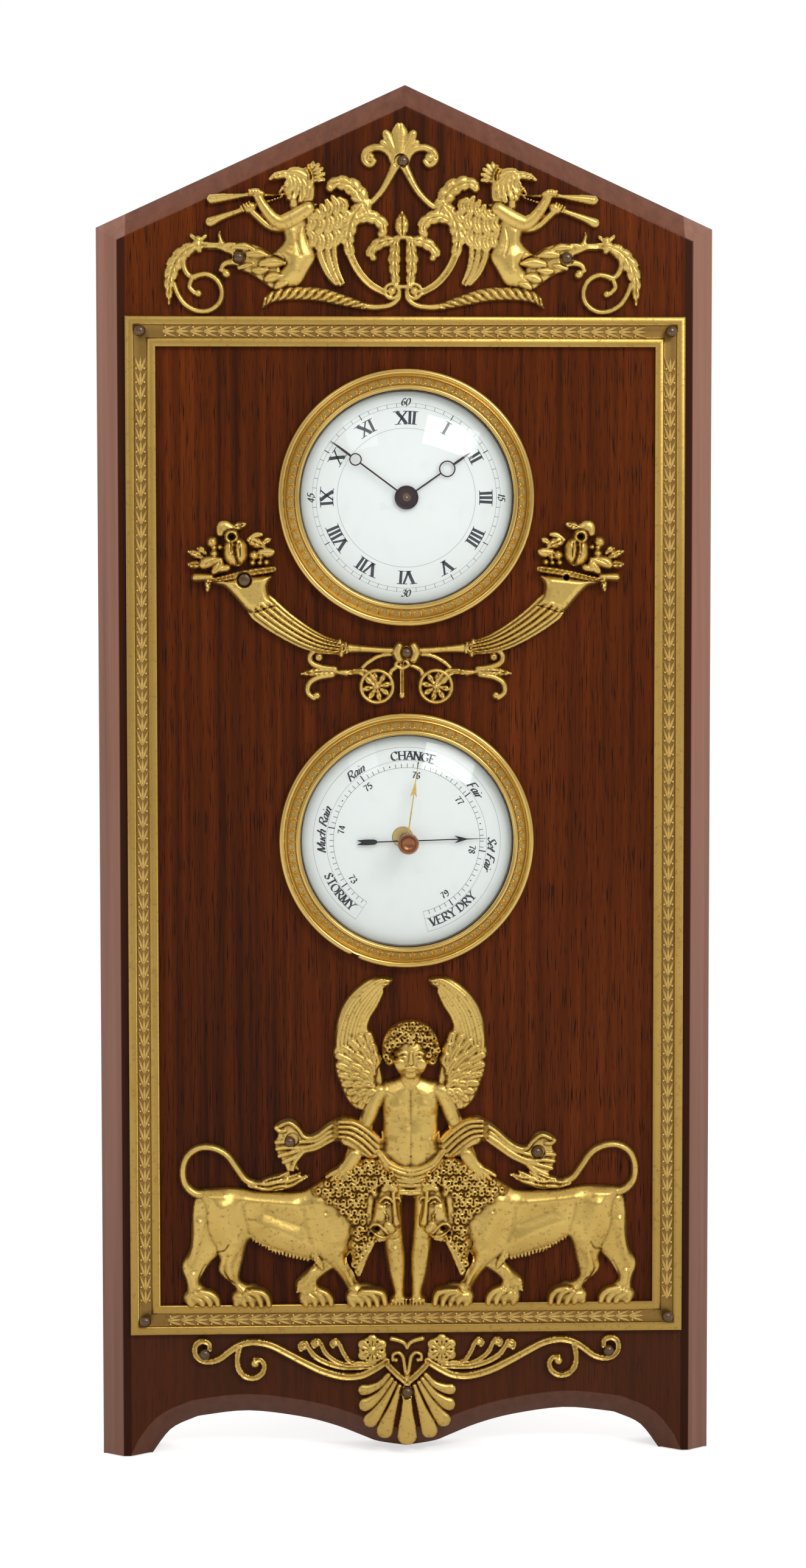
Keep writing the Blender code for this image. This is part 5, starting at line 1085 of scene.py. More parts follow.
@dataclass
class Border:
    """The gilt border strip: two plain rims with a row of laurel between them."""

    half_width: float = 76.7
    low: float = 34.6
    high: float = 315.6
    band: float = 8.35
    pitch: float = 3.78
    leaf_seat: float = 0.86
    first_leaf: float = 0.9
    corner_gap: float = 1.4
    section: Loop = ((0, 0.3), (0, 1.35), (0.12, 1.72), (0.45, 1.95), (1.2, 2.05), (2.0, 1.98),
                     (2.3, 1.8), (2.42, 1.4), (2.5, 1.0), (2.75, 0.86), (4.18, 0.95), (5.6, 0.86),
                     (5.85, 1.0), (5.93, 1.4), (6.05, 1.8), (6.35, 1.98), (7.15, 2.05),
                     (7.9, 1.95), (8.23, 1.72), (8.35, 1.35), (8.35, 0.3))
    groove: Loop = ((2.52, 0.8), (2.52, 1.05), (2.75, 0.92), (4.18, 1.0), (5.6, 0.92),
                    (5.83, 1.05), (5.83, 0.8))

    def unit(self) -> Solid:
        """Draw one leaf between two leaning ones with their berries, growing upwards."""
        parts = []
        for side in (-1, 1):
            parts.append(petal((side * 0.15, -0.3), (side * 1.5, 3.5), 0.44, 1.25))
            parts.append(bead((side * 1.15, 0.5), 0.34, 0.95))
        parts.append(petal((0, -0.2), (0, 3.55), 0.42, 1.3))
        return joined(parts)

    def strip(self, section: Loop) -> Solid:
        """Carry a section round the four sides.

        Args:
            section: Its points, as distances from the outer edge and heights.

        Returns:
            The closed strip.
        """
        rings = []
        for side, top in ((-1, 0), (1, 0), (1, 1), (-1, 1)):
            ring = []
            for across, height in section:
                x = side * (self.half_width - across)
                y = self.high - across if top else self.low + across
                ring.append((x, y, height))
            rings.append(np.array(ring))
        return sweep(rings, closed=True)

    def build(self) -> None:
        """Build the strip, its groove darkened with painted shade, and the laurel, in place of the
        part's strip.
        """
        placed("border_strip", self.strip(self.section), RIM_GILT, nodes=["border_frame"],
               sharp=50)
        # Painted shade: the channel floor under the laurel gets a darker gilt.
        placed("border_groove", self.strip(self.groove), GROOVE_SHADE_GILT, sharp=50)
        middle = self.half_width - self.band / 2
        unit = self.unit()
        rows = []
        upright = int((self.high - self.low - 2 * self.band) / self.pitch)
        for side in (-1, 1):
            start = (side * middle, self.low + self.band + self.first_leaf, self.leaf_seat)
            rows.append(repeated(Pattern.ROW, unit, LAUREL_GILT, Count=upright, Turn=0.0,
                                 From=start, Step=(0.0, self.pitch, 0.0)))
        across = int((2 * middle - self.band - self.corner_gap) / self.pitch)
        for up in (self.low + self.band / 2, self.high - self.band / 2):
            start = (-across * self.pitch / 2, up, self.leaf_seat)
            rows.append(repeated(Pattern.ROW, unit, LAUREL_GILT, Count=across, Turn=-math.pi / 2,
                                 From=start, Step=(self.pitch, 0, 0)))
        placed("border_laurel", joined(rows), LAUREL_GILT, sharp=60)


# The pins


@dataclass
class Pins:
    """The round pin heads that hold the mounts and the border."""

    counts: dict[str, int] = field(default_factory=lambda: {
        "border_pin": 4, "pediment_pin": 3, "cornucopia_pin": 2, "lion_pin": 2, "apron_pin": 3})
    flat_group: str = "cornucopia_pin"
    sunk: float = 1.4
    shank: Loop = ((0.6, 0.0), (0.6, -8.0), (0, -8.0))

    def build(self) -> None:
        """Build each group of pins from where the part's pins stand."""
        head = lathe([(0, 1.45), (0.45, 1.42), (0.9, 1.26), (1.3, 0.9), (1.52, 0.45), (1.6, 0.1),
                      (1.5, 0.0), *self.shank], 20, closed=False)
        flat = lathe([(0, 0.7), (1.2, 0.66), (1.62, 0.5), (1.75, 0.2), (1.65, 0.0), *self.shank],
                     20, closed=False)
        for group, count in self.counts.items():
            nodes = [f"{group}_{i + 1}" for i in range(count)]
            places = []
            for node in nodes:
                low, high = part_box(node)
                places.append((500 * (low.x + high.x), 500 * (low.z + high.z),
                               1000 * (FACE_Y - low.y) - self.sunk))
            marks = bpy.data.objects.new("marks", bpy.data.meshes.new("marks"))
            marks.data.from_pydata(places, [], [])
            bpy.context.scene.collection.objects.link(marks)
            heads = repeated(Pattern.MARKS, head, PIN, Marks=marks)
            bpy.data.objects.remove(marks)
            if group == self.flat_group:
                used = len(head.points)
                later = [tuple(i - used for i in face) for face in heads.faces if min(face) >= used]
                heads = joined([flat.moved(at(*places[0])), Solid(heads.points[used:], later)])
            placed(f"{group}_heads", heads, PIN, nodes=nodes)


# The bezels and glasses


@dataclass
class Bezel:
    """A gilt bezel: a round rim, a sloping ring of palmettes and an inner bead."""

    name: str
    up: float
    nick: float | None = None
    nick_half: float = 1.7
    palmettes: int = 66
    palmette_ring: float = 31.0
    palmette_seat: float = 4.46
    section: Loop = ((35.3, 0.3), (35.3, 1.7), (35.28, 2.4), (35.05, 2.95), (34.65, 3.3),
                     (34.2, 3.38), (33.75, 3.2), (33.5, 2.9), (33.38, 2.62), (33.2, 2.66),
                     (32.4, 3.3), (31.4, 4.1), (30.75, 4.66), (30.66, 4.95), (30.55, 5.3),
                     (30.3, 5.56), (29.95, 5.62), (29.6, 5.5), (29.38, 5.2), (29.3, 4.8),
                     (29.3, 2.2), (34.2, 2.2), (34.2, 0.3))
    ground: Loop = ((33.15, 2.62), (33.1, 2.76), (32.4, 3.35), (31.4, 4.16), (30.85, 4.62),
                    (30.8, 4.5), (32.4, 3.15))

    def nicked(self, radius: float, height: float, turn: float) -> tuple[float, float]:
        """Push the outer rim in at the nick.

        Args:
            radius: Radius of a point of the section.
            height: Its height.
            turn: Its place round the ring, in degrees clockwise from the top.

        Returns:
            The radius and height that it gets.
        """
        if radius < 34.3 or height < 0.5:
            return radius, height
        away = abs((turn - self.nick + 180) % 360 - 180)
        dent = max(0.0, 1 - away / self.nick_half)
        return radius - 0.9 * dent, height - 0.8 * dent

    def palmette(self) -> Solid:
        """Draw one palmette lying on the slope, its rays outwards along x."""
        petals = []
        for degrees, length in ((-62, 1.5), (-31, 1.9), (0, 2.0), (31, 1.9), (62, 1.5)):
            turn = math.radians(degrees)
            tip = (length * math.cos(turn), length * math.sin(turn) * 0.85)
            start = (0.28 * math.cos(turn), 0.28 * math.sin(turn))
            petals.append(petal(start, tip, 0.3, 0.42, -0.06))
        petals.append(bead((0.05, 0), 0.3, 0.34, -0.06, 6))
        solid = joined(petals)
        (outer, low), (inner, high) = self.section[9], self.section[12]
        solid.points[:, 2] += (low - high) / (outer - inner) * solid.points[:, 0]
        return solid

    def build(self) -> None:
        """Build the bezel and its palmettes, in place of the part's bezel."""
        ring = lathe(self.section, 240, shape=self.nicked if self.nick else None)
        placed(f"{self.name}_bezel_ring", ring.moved(at(0, self.up)), BEZEL_GILT,
               nodes=[f"{self.name}_bezel"], sharp=50)
        # The ground under the palmettes is darker gilt: painted shade between them.
        ground = lathe(self.ground, 240)
        placed(f"{self.name}_bezel_ground", ground.moved(at(0, self.up)), BEZEL_SHADED_GROUND, sharp=50)
        fans = repeated(Pattern.RING, self.palmette(), BEZEL_GILT, Count=self.palmettes,
                        Radius=self.palmette_ring)
        placed(f"{self.name}_bezel_palmettes", fans.moved(at(0, self.up, self.palmette_seat)),
               BEZEL_GILT, sharp=60)


@dataclass
class Dome:
    """A domed glass held in a bezel."""

    name: str
    up: float
    hole: float = 0.0
    edge: float = 29.0
    rise: float = 6.2
    foot: float = 4.2
    thickness: float = 1.2
    steps: int = 18

    def height(self, radius: float) -> float:
        """Give the height of the glass's outside at a radius."""
        sphere = (self.edge ** 2 + self.rise ** 2) / (2 * self.rise)
        return self.foot + self.rise - sphere + math.sqrt(sphere ** 2 - radius ** 2)

    def build(self) -> None:
        """Build the glass in place of the part's."""
        radii = [self.hole + (self.edge - self.hole) * (i / self.steps)
                 for i in range(self.steps + 1)]
        outer = [(r, self.height(r)) for r in radii]
        inner = [(r, self.height(r) - self.thickness) for r in radii[::-1]]
        solid = lathe([*outer, *inner], 96, closed=self.hole > 0)
        placed(f"{self.name}_glass_dome", solid.moved(at(0, self.up)), GLASS,
               nodes=[f"{self.name}_glass"], sharp=50)


# The clock


def dial_plate(name: str, radius: float, up: float) -> None:
    """Build a dial's plate, greyer with painted shade where the glass's edge shades it, and a dark
    ring of painted shadow at the glass's seat.

    Args:
        name: The instrument's name.
        radius: The plate's radius.
        up: The height of its middle.
    """
    rings = [(1.0, 1.4), (radius - 0.1, 1.4), (radius, 1.5), (radius, DIAL_FRONT - 0.1),
             *((r, DIAL_FRONT) for r in (radius - 0.1, 29.2, 28.6, 28.0, 27.2, 26.2, 25.0, 1.0))]
    disc = lathe(rings, 96)
    away = np.hypot(disc.points[:, 0], disc.points[:, 1])
    # Painted shade: the rim values grey the dial over its outer few millimetres.
    shade = 0.62 * np.clip((away - 25.0) / 4.2, 0, 1) ** 2
    placed(f"{name}_dial_plate", disc.moved(at(0, up)), DIAL_WHITE, nodes=[f"{name}_dial"],
           marks={"rim": shade})
    # Painted shadow: a dark ring at the glass's seat stands for the shadow in the gap between glass
    # and bezel.
    painted_shadow_ring = lathe([(28.75, 2.3), (29.28, 2.3), (29.28, 3.7), (29.1, 3.8), (28.9, 3.2)], 96)
    placed(f"{name}_glass_seat", painted_shadow_ring.moved(at(0, up)), PIN, sharp=50)


@dataclass
class ClockDial:
    """The clock's dial with its Roman hours and minute ring."""

    up: float = CLOCK_UP
    radius: float = 31.0
    hours: tuple[str, ...] = ("XII", "I", "II", "III", "IIII", "V", "VI", "VII", "VIII", "IX", "X",
                              "XI")
    hour_foot: float = 20.05
    hour_height: float = 3.45
    minute_foot: float = 25.1
    minute_height: float = 1.85
    five_minute_mark: tuple[float, float] = (24.2, 25.75)
    tick_radius: float = 25.15
    tick_half: tuple[float, float] = (0.55, 0.07)
    circles: Loop = ((18.9, 0.035), (24.65, 0.035), (25.7, 0.03))

    def build(self) -> None:
        """Build the dial plate and its printed marks."""
        dial_plate("clock", self.radius, self.up)
        roman = Hand(self.hour_height, thick=0.26, thin=0.05)
        small = Hand(self.minute_height, thick=0.23, thin=0.08, slant=0.28, serifs=False,
                     spacing=1.05)
        solids: list[Solid] = []
        for hour, text in enumerate(self.hours):
            solids += lettering(text, self.hour_foot, 30 * hour, roman)
        for minutes in (15, 30, 45, 60):
            solids += lettering(str(minutes), self.minute_foot, 6 * minutes, small, minutes == 30)
        for minute in range(0, 60, 5):
            if minute % 15:
                solids.append(ray(6 * minute, *self.five_minute_mark, 0.13))
        placed("clock_dial_figures", joined(solids).moved(at(0, self.up)), INK, sharp=60)
        reach, half = self.tick_half
        tick = sweep([np.array([(x, -half, PRINT_LOW), (x, half, PRINT_LOW),
                                (x, half, PRINT_HIGH), (x, -half, PRINT_HIGH)])
                      for x in (-reach, reach)])
        ring = repeated(Pattern.RING, tick, FAINT_INK, Count=60, Radius=self.tick_radius)
        faint = [ring, *(arc_line(radius, 0, 360, half) for radius, half in self.circles)]
        placed("clock_minute_ring", joined(faint).moved(at(0, self.up)), FAINT_INK, sharp=60)


@dataclass
class ClockHands:
    """The pierced hands with the hour hand's rim, the collet and the arbor's tip."""

    up: float = CLOCK_UP
    hour_turn: float = 55.0
    minute_turn: float = 306.6
    bar: float = 0.22
    ring_width: float = 0.27
    thickness: float = 0.3

    def edge(self, length: float, ring: float, ring_radius: float, hub: float) -> list[Loop]:
        """Draw a hand's outline and its ring's hole, pointing up.

        Args:
            length: Length from the middle to the tip.
            ring: Distance of its ring from the middle.
            ring_radius: Outer radius of the ring.
            hub: Radius of the disc on its arbor.

        Returns:
            The outer edge and the ring's hole.
        """
        right: list[Point] = []
        steps = 20
        start = math.asin(self.bar / hub)
        first = math.asin(self.bar / ring_radius)
        for i in range(steps + 1):
            turn = math.pi - (math.pi - start) * i / steps
            right.append((hub * math.sin(turn), hub * math.cos(turn)))
        for i in range(steps + 1):
            turn = math.pi - first - (math.pi - 2.4 * first) * i / steps
            right.append((ring_radius * math.sin(turn), ring + ring_radius * math.cos(turn)))
        swell = ring + ring_radius + (length - ring - ring_radius) * 0.25
        right += [(0.34, swell), (0.27, swell + (length - swell) * 0.5), (0.04, length)]
        outer = right + [(-x, y) for x, y in reversed(right) if x > 1e-6]
        return [outer, circle(ring_radius - self.ring_width, 32, (0.0, ring))[::-1]]

    def build(self) -> None:
        """Build both hands and the collet, in place of the part's."""
        for name, body, turn, level, bore, sizes, node in (
                ("hour_hand_pierced", "hour_work", self.hour_turn, 2.6, 2.0,
                 (21.4, 13.6, 2.25, 3.2), "hour_hand"),
                ("minute_hand_pierced", "minute_work", self.minute_turn, 3.4, 0.85,
                 (25.8, 17.3, 1.72, 2.3), "minute_hand")):
            outer, eye = self.edge(*sizes)
            solid = plate([outer, eye, circle(bore, 24)[::-1]], level, level + self.thickness, 0.07)
            placed(name, solid.moved(at(0, self.up, 0, turn)), BLUED, body, [node], sharp=30)
        rim = lathe([(2.3, 2.95), (3.2, 2.95), (3.25, 3.15), (3.1, 3.3), (2.85, 3.25),
                     (2.75, 3.05), (2.3, 3.05)], 64)
        placed("hour_hand_rim", rim.moved(at(0, self.up)), BLUED, "hour_work", sharp=30)
        collet = lathe([(0, 5.55), (0.35, 5.5), (0.5, 5.3), (0.52, 5.05), (0.95, 5.0), (1.2, 4.8),
                        (1.32, 4.5), (1.3, 4.0), (0, 4.0)], 40, closed=False)
        pin = lathe([(0, 0.62), (0.2, 0.6), (0.3, 0.4), (0.3, 0), (0, 0)], 16, closed=False)
        placed("collet_turned", collet.moved(at(0, self.up)), PIN, "minute_work",
               ["hand_collet"], sharp=30)
        placed("arbor_tip", pin.moved(at(0, self.up, 5.1)), STEEL, "minute_work", sharp=30)


# The barometer


@dataclass
class BarometerDial:
    """The barometer's dial with its scale and weather words."""

    up: float = BAROMETER_UP
    radius: float = 31.0
    numbers: tuple[tuple[str, float], ...] = (
        ("73", -125.5), ("74", -80.0), ("75", -35.4), ("76", 8.5), ("77", 53.0), ("78", 98.0),
        ("79", 144.6))
    words: tuple[tuple[str, float], ...] = (
        ("STORMY", -127.0), ("Much Rain", -81.5), ("Rain", -36.0), ("CHANGE", 4.5),
        ("Fair", 54.0), ("Set Fair", 100.0), ("VERY DRY", 146.5))
    span: tuple[float, float] = (-147.0, 167.0)
    turned_over: float = 110.0
    word_foot: float = 22.35
    number_foot: float = 17.3
    number_mark: tuple[float, float] = (20.0, 21.9)
    scale_radius: float = 20.1
    tick_end: float = 21.2
    dot_radius: float = 20.75
    outer_circle: float = 25.75
    circles: Loop = ((20.1, 0.05), (22.05, 0.035), (25.75, 0.035))

    def build(self) -> None:
        """Build the dial plate, the scale and the words."""
        dial_plate("barometer", self.radius, self.up)
        capital = Hand(2.25, thick=0.26, thin=0.07, spacing=0.98)
        script = Hand(2.3, thick=0.23, thin=0.075, slant=0.42, serifs=False, spacing=0.98)
        figure = Hand(1.7, thick=0.26, thin=0.08, serifs=False, spacing=1.05)
        solids: list[Solid] = []
        for text, middle in self.words:
            solids += lettering(text, self.word_foot, middle, capital if text.isupper() else script,
                                abs(middle) > self.turned_over)
        for text, angle in self.numbers:
            solids += lettering(text, self.number_foot, angle, figure,
                                abs(angle) > self.turned_over)
            solids.append(ray(angle, *self.number_mark, 0.16))
        dot = lathe([(0, PRINT_HIGH), (0.2, PRINT_HIGH), (0.2, PRINT_LOW), (0, PRINT_LOW)], 10,
                    closed=False)
        faint: list[Solid] = []
        step = (self.numbers[-1][1] - self.numbers[0][1]) / 60
        count = 0
        angle = self.numbers[0][1] - 4 * step
        while angle < self.span[1] - 1:
            tenth = (count - 4) % 10
            if tenth == 5:
                turn = math.radians(angle)
                solids.append(dot.moved(at(self.dot_radius * math.sin(turn),
                                           self.dot_radius * math.cos(turn))))
            elif tenth:
                faint.append(ray(angle, self.scale_radius, self.tick_end, 0.1))
            angle += step
            count += 1
        faint += [arc_line(radius, *self.span, half) for radius, half in self.circles]
        faint += [ray(angle, self.scale_radius, self.outer_circle, 0.03) for angle in self.span]
        placed("barometer_scale_figures", joined(solids).moved(at(0, self.up)), INK, sharp=60)
        placed("barometer_scale_lines", joined(faint).moved(at(0, self.up)), FAINT_INK, sharp=60)


@dataclass
class BarometerHands:
    """The black pressure hand, the gilt set hand and its knob in front of the glass."""

    up: float = BAROMETER_UP
    pressure_turn: float = 88.3
    set_turn: float = 8.0
    millings: int = 40

    @staticmethod
    def hub(radius: float, start: int) -> list[Point]:
        """Give the right side of a hand's hub, from a start in degrees up to the bar."""
        return [(radius * math.cos(t), radius * math.sin(t))
                for t in np.radians(np.arange(start, 85, 12))]

    def build(self) -> None:
        """Build the hands, the knob, the boss and the bush in the glass."""
        right = [(0.62, -13.75), (0.8, -11.2), (0.72, -8.9), (0.45, -8.3), (0.16, -8.1),
                 (0.17, -2.1), *self.hub(2.15, -84), (0.16, 2.1), (0.15, 14.2), (1.02, 13.1),
                 (0.72, 14.4), (0.17, 16.4), (0.13, 17.0), (0.04, 21.8)]
        outline = [(0, -12.4), *right, *((-x, y) for x, y in reversed(right))]
        tip = lathe([(0, 3.8), (0.5, 3.7), (0.55, 3.1), (0, 3.1)], 16, closed=False)
        hand = joined([plate([outline], 2.9, 3.2, 0.05), tip])
        placed("pressure_hand_arrow", hand.moved(at(0, self.up, 0, self.pressure_turn)),
               BLACK_HAND, "pressure_hand", ["pressure_hand"], sharp=30)
        boss = lathe([(0, 2.62), (1.9, 2.6), (2.7, 2.5), (2.9, 2.3), (2.9, 1.85), (0, 1.85)], 48,
                     closed=False)
        placed("dial_arbor_boss", boss.moved(at(-1.1, self.up + 1.0)), BRASS, sharp=30)
        right = [*self.hub(2.2, -90), (0.18, 2.25), (0.15, 13.2), (0.95, 12.3), (0.6, 13.7),
                 (0.16, 16.2), (0.12, 17.0), (0.05, 21.4)]
        outline = [*right, *((-x, y) for x, y in reversed(right[1:]))]
        hand = plate([outline, circle(0.8, 20)[::-1]], 5.2, 5.5, 0.05)
        placed("set_hand_arrow", hand.moved(at(0, self.up, 0, self.set_turn)), GILT, "set_hand",
               ["set_hand"], sharp=30)
        knob = lathe([(0, 14.55), (0.9, 14.6), (1.6, 14.85), (1.95, 15.2), (2.15, 15.42),
                      (2.55, 15.36), (2.7, 15.0), (2.72, 12.9), (2.5, 12.4), (1.9, 12.3),
                      (0.6, 12.3), (0.6, 9.4), (1.4, 9.15), (1.47, 8.9), (1.47, 5.85), (0.6, 5.8),
                      (0.6, 4.9), (0, 4.9)], 72, closed=False)
        grip = petal((0, 12.55), (0, 15.2), 0.17, 0.34)
        bar = Solid(np.column_stack([grip.points[:, 2] + 2.66, grip.points[:, 0],
                                     grip.points[:, 1]]), grip.faces)
        ring = repeated(Pattern.RING, bar, COPPER, Count=self.millings, Radius=0.0001)
        placed("set_hand_knob_milled", joined([knob, ring]).moved(at(0, self.up)), COPPER,
               "set_hand", ["set_hand_knob"], sharp=30)
        bush = lathe([(1.8, 12.0), (2.5, 10.95), (2.6, 10.8), (2.6, 10.7), (1.6, 10.69),
                      (1.6, 9.2), (0.9, 9.2), (0.9, 12.0)], 48)
        placed("glass_bush_turned", bush.moved(at(0, self.up)), BRASS, nodes=["glass_bush"],
               sharp=30)


# The carving of the reliefs


class Carving(Enum):
    """How the surface of a chased stroke is worked."""

    DOME = "plain and round"
    PAD = "flat topped"
    BAND = "two edges and a groove"
    LEAF = "a leaf with a midrib"
    TWIST = "slanting lobes"
    FLUTE = "flutes along it"
    LOCK = "strands of hair"
    PLUME = "a feather's barbs"
    ACANTHUS = "a leaf with lobes"
    SPOON = "a soft petal"

    def lost(self, u: np.ndarray, s: np.ndarray) -> np.ndarray:
        """Give the share of the half width that the notches between a leaf's lobes take."""
        if self is not Carving.ACANTHUS:
            return np.zeros_like(u)
        return 0.16 * (0.5 + 0.5 * np.cos(math.tau * (s / 2.8 - 0.4 * u))) ** 3

    def section(self, u: np.ndarray, v: np.ndarray, s: np.ndarray, w: np.ndarray) -> np.ndarray:
        """Give the height of the surface as a share of the stroke's rise.

        Args:
            u: Distance from the middle line as a share of the half width.
            v: The same, less than 0 on the left.
            s: Distance along the stroke.
            w: The half width.

        Returns:
            Shares from 0 at the edge to about 1.
        """
        def wave(phase: np.ndarray) -> np.ndarray:
            return 0.5 + 0.5 * np.cos(math.tau * phase)

        dome = np.sqrt(np.clip(1 - u * u, 0, 1))
        flat = np.clip((1 - u) * 3, 0, 1) ** 0.5
        if self is Carving.PAD:
            return flat
        if self is Carving.BAND:
            return flat * (1 - 0.34 * np.exp(-(u / 0.4) ** 2))
        if self is Carving.LEAF:
            nerves = 1 - 0.2 * wave(s / 1.4 - 0.9 * u) * np.clip(2 * u, 0, 1)
            return dome * nerves * (1 - 0.34 * np.exp(-(u / 0.17) ** 2))
        if self is Carving.TWIST:
            return dome * (1 - 0.45 * wave(s / 2.3 + 0.55 * v) ** 2)
        if self is Carving.FLUTE:
            return dome ** 0.8 * (1 - 0.28 * wave(v * 2.5) ** 2)
        if self is Carving.LOCK:
            count = np.maximum(1.0, np.round(w / 0.75))
            return dome * (1 - 0.4 * wave(v * count / 2 + 0.12 * np.sin(s)) ** 2)
        if self is Carving.PLUME:
            barbs = 1 - 0.02 * wave(s / 0.9 - 1.2 * u)
            return dome ** 0.5 * barbs * (1 - 0.12 * np.exp(-(u / 0.13) ** 2))
        if self is Carving.ACANTHUS:
            veins = 1 - 0.22 * wave(s / 2.8 - 0.55 * u) ** 2 * np.clip(1.5 * u, 0, 1)
            return dome ** 0.7 * veins * (1 - 0.22 * np.exp(-(u / 0.14) ** 2))
        if self is Carving.SPOON:
            return dome ** 0.6
        return dome


def traced(line: Sequence[Point], xs: np.ndarray, ys: np.ndarray, spare: float) -> tuple:
    """Measure the grid round a line.

    Args:
        line: (x, y, half width) points.
        xs: The grid's places along x.
        ys: The grid's places along y.
        spare: How far outside the line's width it measures.

    Returns:
        The window of the grid, then how far each place is inside the line's edge, and
        u, v, s and w as Carving.section takes them.
    """
    path = np.array(line, float)
    far = path[:, 2].max() + spare
    i0, i1 = np.searchsorted(xs, (path[:, 0].min() - far, path[:, 0].max() + far))
    j0, j1 = np.searchsorted(ys, (path[:, 1].min() - far, path[:, 1].max() + far))
    gx, gy = np.meshgrid(xs[i0:i1], ys[j0:j1], indexing="ij")
    inside = np.full(gx.shape, -1e3)
    side, along, half = np.zeros_like(gx), np.zeros_like(gx), np.full(gx.shape, 1.0)
    run = 0.0
    for a, b in zip(path, path[1:]):
        dx, dy = b[:2] - a[:2]
        length = math.hypot(dx, dy)
        if length < 1e-6:
            continue
        t = np.clip(((gx - a[0]) * dx + (gy - a[1]) * dy) / length ** 2, 0, 1)
        ox, oy = gx - a[0] - t * dx, gy - a[1] - t * dy
        w = a[2] + (b[2] - a[2]) * t
        here = w - np.hypot(ox, oy)
        better = here > inside
        inside = np.where(better, here, inside)
        side = np.where(better, np.sign(ox * dy - oy * dx), side)
        along = np.where(better, run + t * length, along)
        half = np.where(better, w, half)
        run += length
    u = (half - inside) / half
    return (slice(i0, i1), slice(j0, j1)), inside, u, u * side, along, half


def mirrored(line: Loop, axis: float) -> Loop:
    """Give a line on the other side of an axis."""
    return tuple((2 * axis - p[0], *p[1:]) for p in line)


@dataclass(frozen=True)
class Stroke:
    """One form of a relief: a line of (x, y, half width) with a rise in millimetres."""

    carving: Carving
    rise: float
    line: Loop
    lift: float = 0.0

    def measured(self, xs: np.ndarray, ys: np.ndarray) -> tuple:
        """Give the grid's window, how far each place is inside, and the surface's share."""
        window, inside, u, v, s, w = traced(smooth(self.line), xs, ys, 2.0)
        lost = self.carving.lost(np.clip(u, 0, 1), s)
        inside = inside - lost * w
        u = 1 - inside / (w * (1 - lost))
        share = self.carving.section(np.clip(u, 0, 1), np.clip(v, -1, 1), s, w)
        return window, inside, share

    def flipped(self, axis: float) -> "Stroke":
        """Give this stroke on the other side of an axis."""
        return replace(self, line=mirrored(self.line, axis))


@dataclass(frozen=True)
class Area:
    """A form of a relief with an outline, rounded along its edge."""

    rise: float
    outline: Loop
    round: float = 2.5
    lift: float = 0.0

    def curve(self) -> np.ndarray:
        """Give the outline as a smooth closed curve."""
        steps = 4
        points = [self.outline[-1], *self.outline, *self.outline[:2]]
        return np.array(smooth(points, steps)[steps:(len(self.outline) + 1) * steps])

    def measured(self, xs: np.ndarray, ys: np.ndarray) -> tuple:
        """Give the grid's window, how far each place is inside, and the surface's share."""
        loop = self.curve()
        (i0, i1), (j0, j1) = (np.searchsorted(places, (loop[:, k].min() - 2, loop[:, k].max() + 2))
                              for k, places in enumerate((xs, ys)))
        gx, gy = np.meshgrid(xs[i0:i1], ys[j0:j1], indexing="ij")
        near = np.full(gx.shape, 1e6)
        odd = np.zeros(gx.shape, bool)
        for a, b in zip(loop, np.roll(loop, -1, axis=0)):
            dx, dy = b - a
            t = np.clip(((gx - a[0]) * dx + (gy - a[1]) * dy) / max(dx * dx + dy * dy, 1e-12),
                        0, 1)
            near = np.minimum(near, (gx - a[0] - t * dx) ** 2 + (gy - a[1] - t * dy) ** 2)
            if dy != 0:
                odd ^= ((a[1] > gy) != (b[1] > gy)) & (gx < a[0] + (gy - a[1]) * dx / dy)
        inside = np.where(odd, 1, -1) * np.sqrt(near)
        share = np.sqrt(1 - (1 - np.clip(inside / self.round, 0, 1)) ** 2)
        return (slice(i0, i1), slice(j0, j1)), inside, share

    def flipped(self, axis: float) -> "Area":
        """Give this area on the other side of an axis."""
        return replace(self, outline=mirrored(self.outline, axis))


def along(line: Loop, share: float) -> Point:
    """Give the point at a share of a line's length, between 0 and 1."""
    path = np.array(line, float)
    runs = np.concatenate([[0], np.cumsum(np.linalg.norm(np.diff(path, axis=0), axis=1))])
    return tuple(float(np.interp(share * runs[-1], runs, path[:, k])) for k in range(2))


def spray(carving: Carving, rise: float, roots: Loop, tips: Loop, count: int, half: float,
          lift: float = 0.0, bend: float = 0.0, blunt: float = 0.7) -> list[Stroke]:
    """Give leaves or feathers from one line to another.

    Args:
        carving: How they are worked.
        rise: Their rise.
        roots: The line where they start.
        tips: The line where they end.
        count: How many there are.
        half: Their half width at the middle.
        lift: How high they lie.
        bend: How far their middles lean to the left of their way.
        blunt: Their half width at the tip as a share of half.

    Returns:
        The strokes.
    """
    found = []
    for i in range(count):
        (ax, ay), (bx, by) = (along(line, i / max(count - 1, 1)) for line in (roots, tips))
        length = math.hypot(bx - ax, by - ay)
        nx, ny = (ay - by) / length * bend, (bx - ax) / length * bend
        end = half * blunt
        bx, by = bx - (bx - ax) / length * end, by - (by - ay) / length * end
        found.append(Stroke(carving, rise, (
            (ax, ay, half * 0.6), ((ax + bx) / 2 + nx, (ay + by) / 2 + ny, half),
            ((ax + 4 * bx) / 5 + 0.7 * nx, (ay + 4 * by) / 5 + 0.7 * ny, (half + end) / 2),
            (bx, by, end)), lift))
    return found


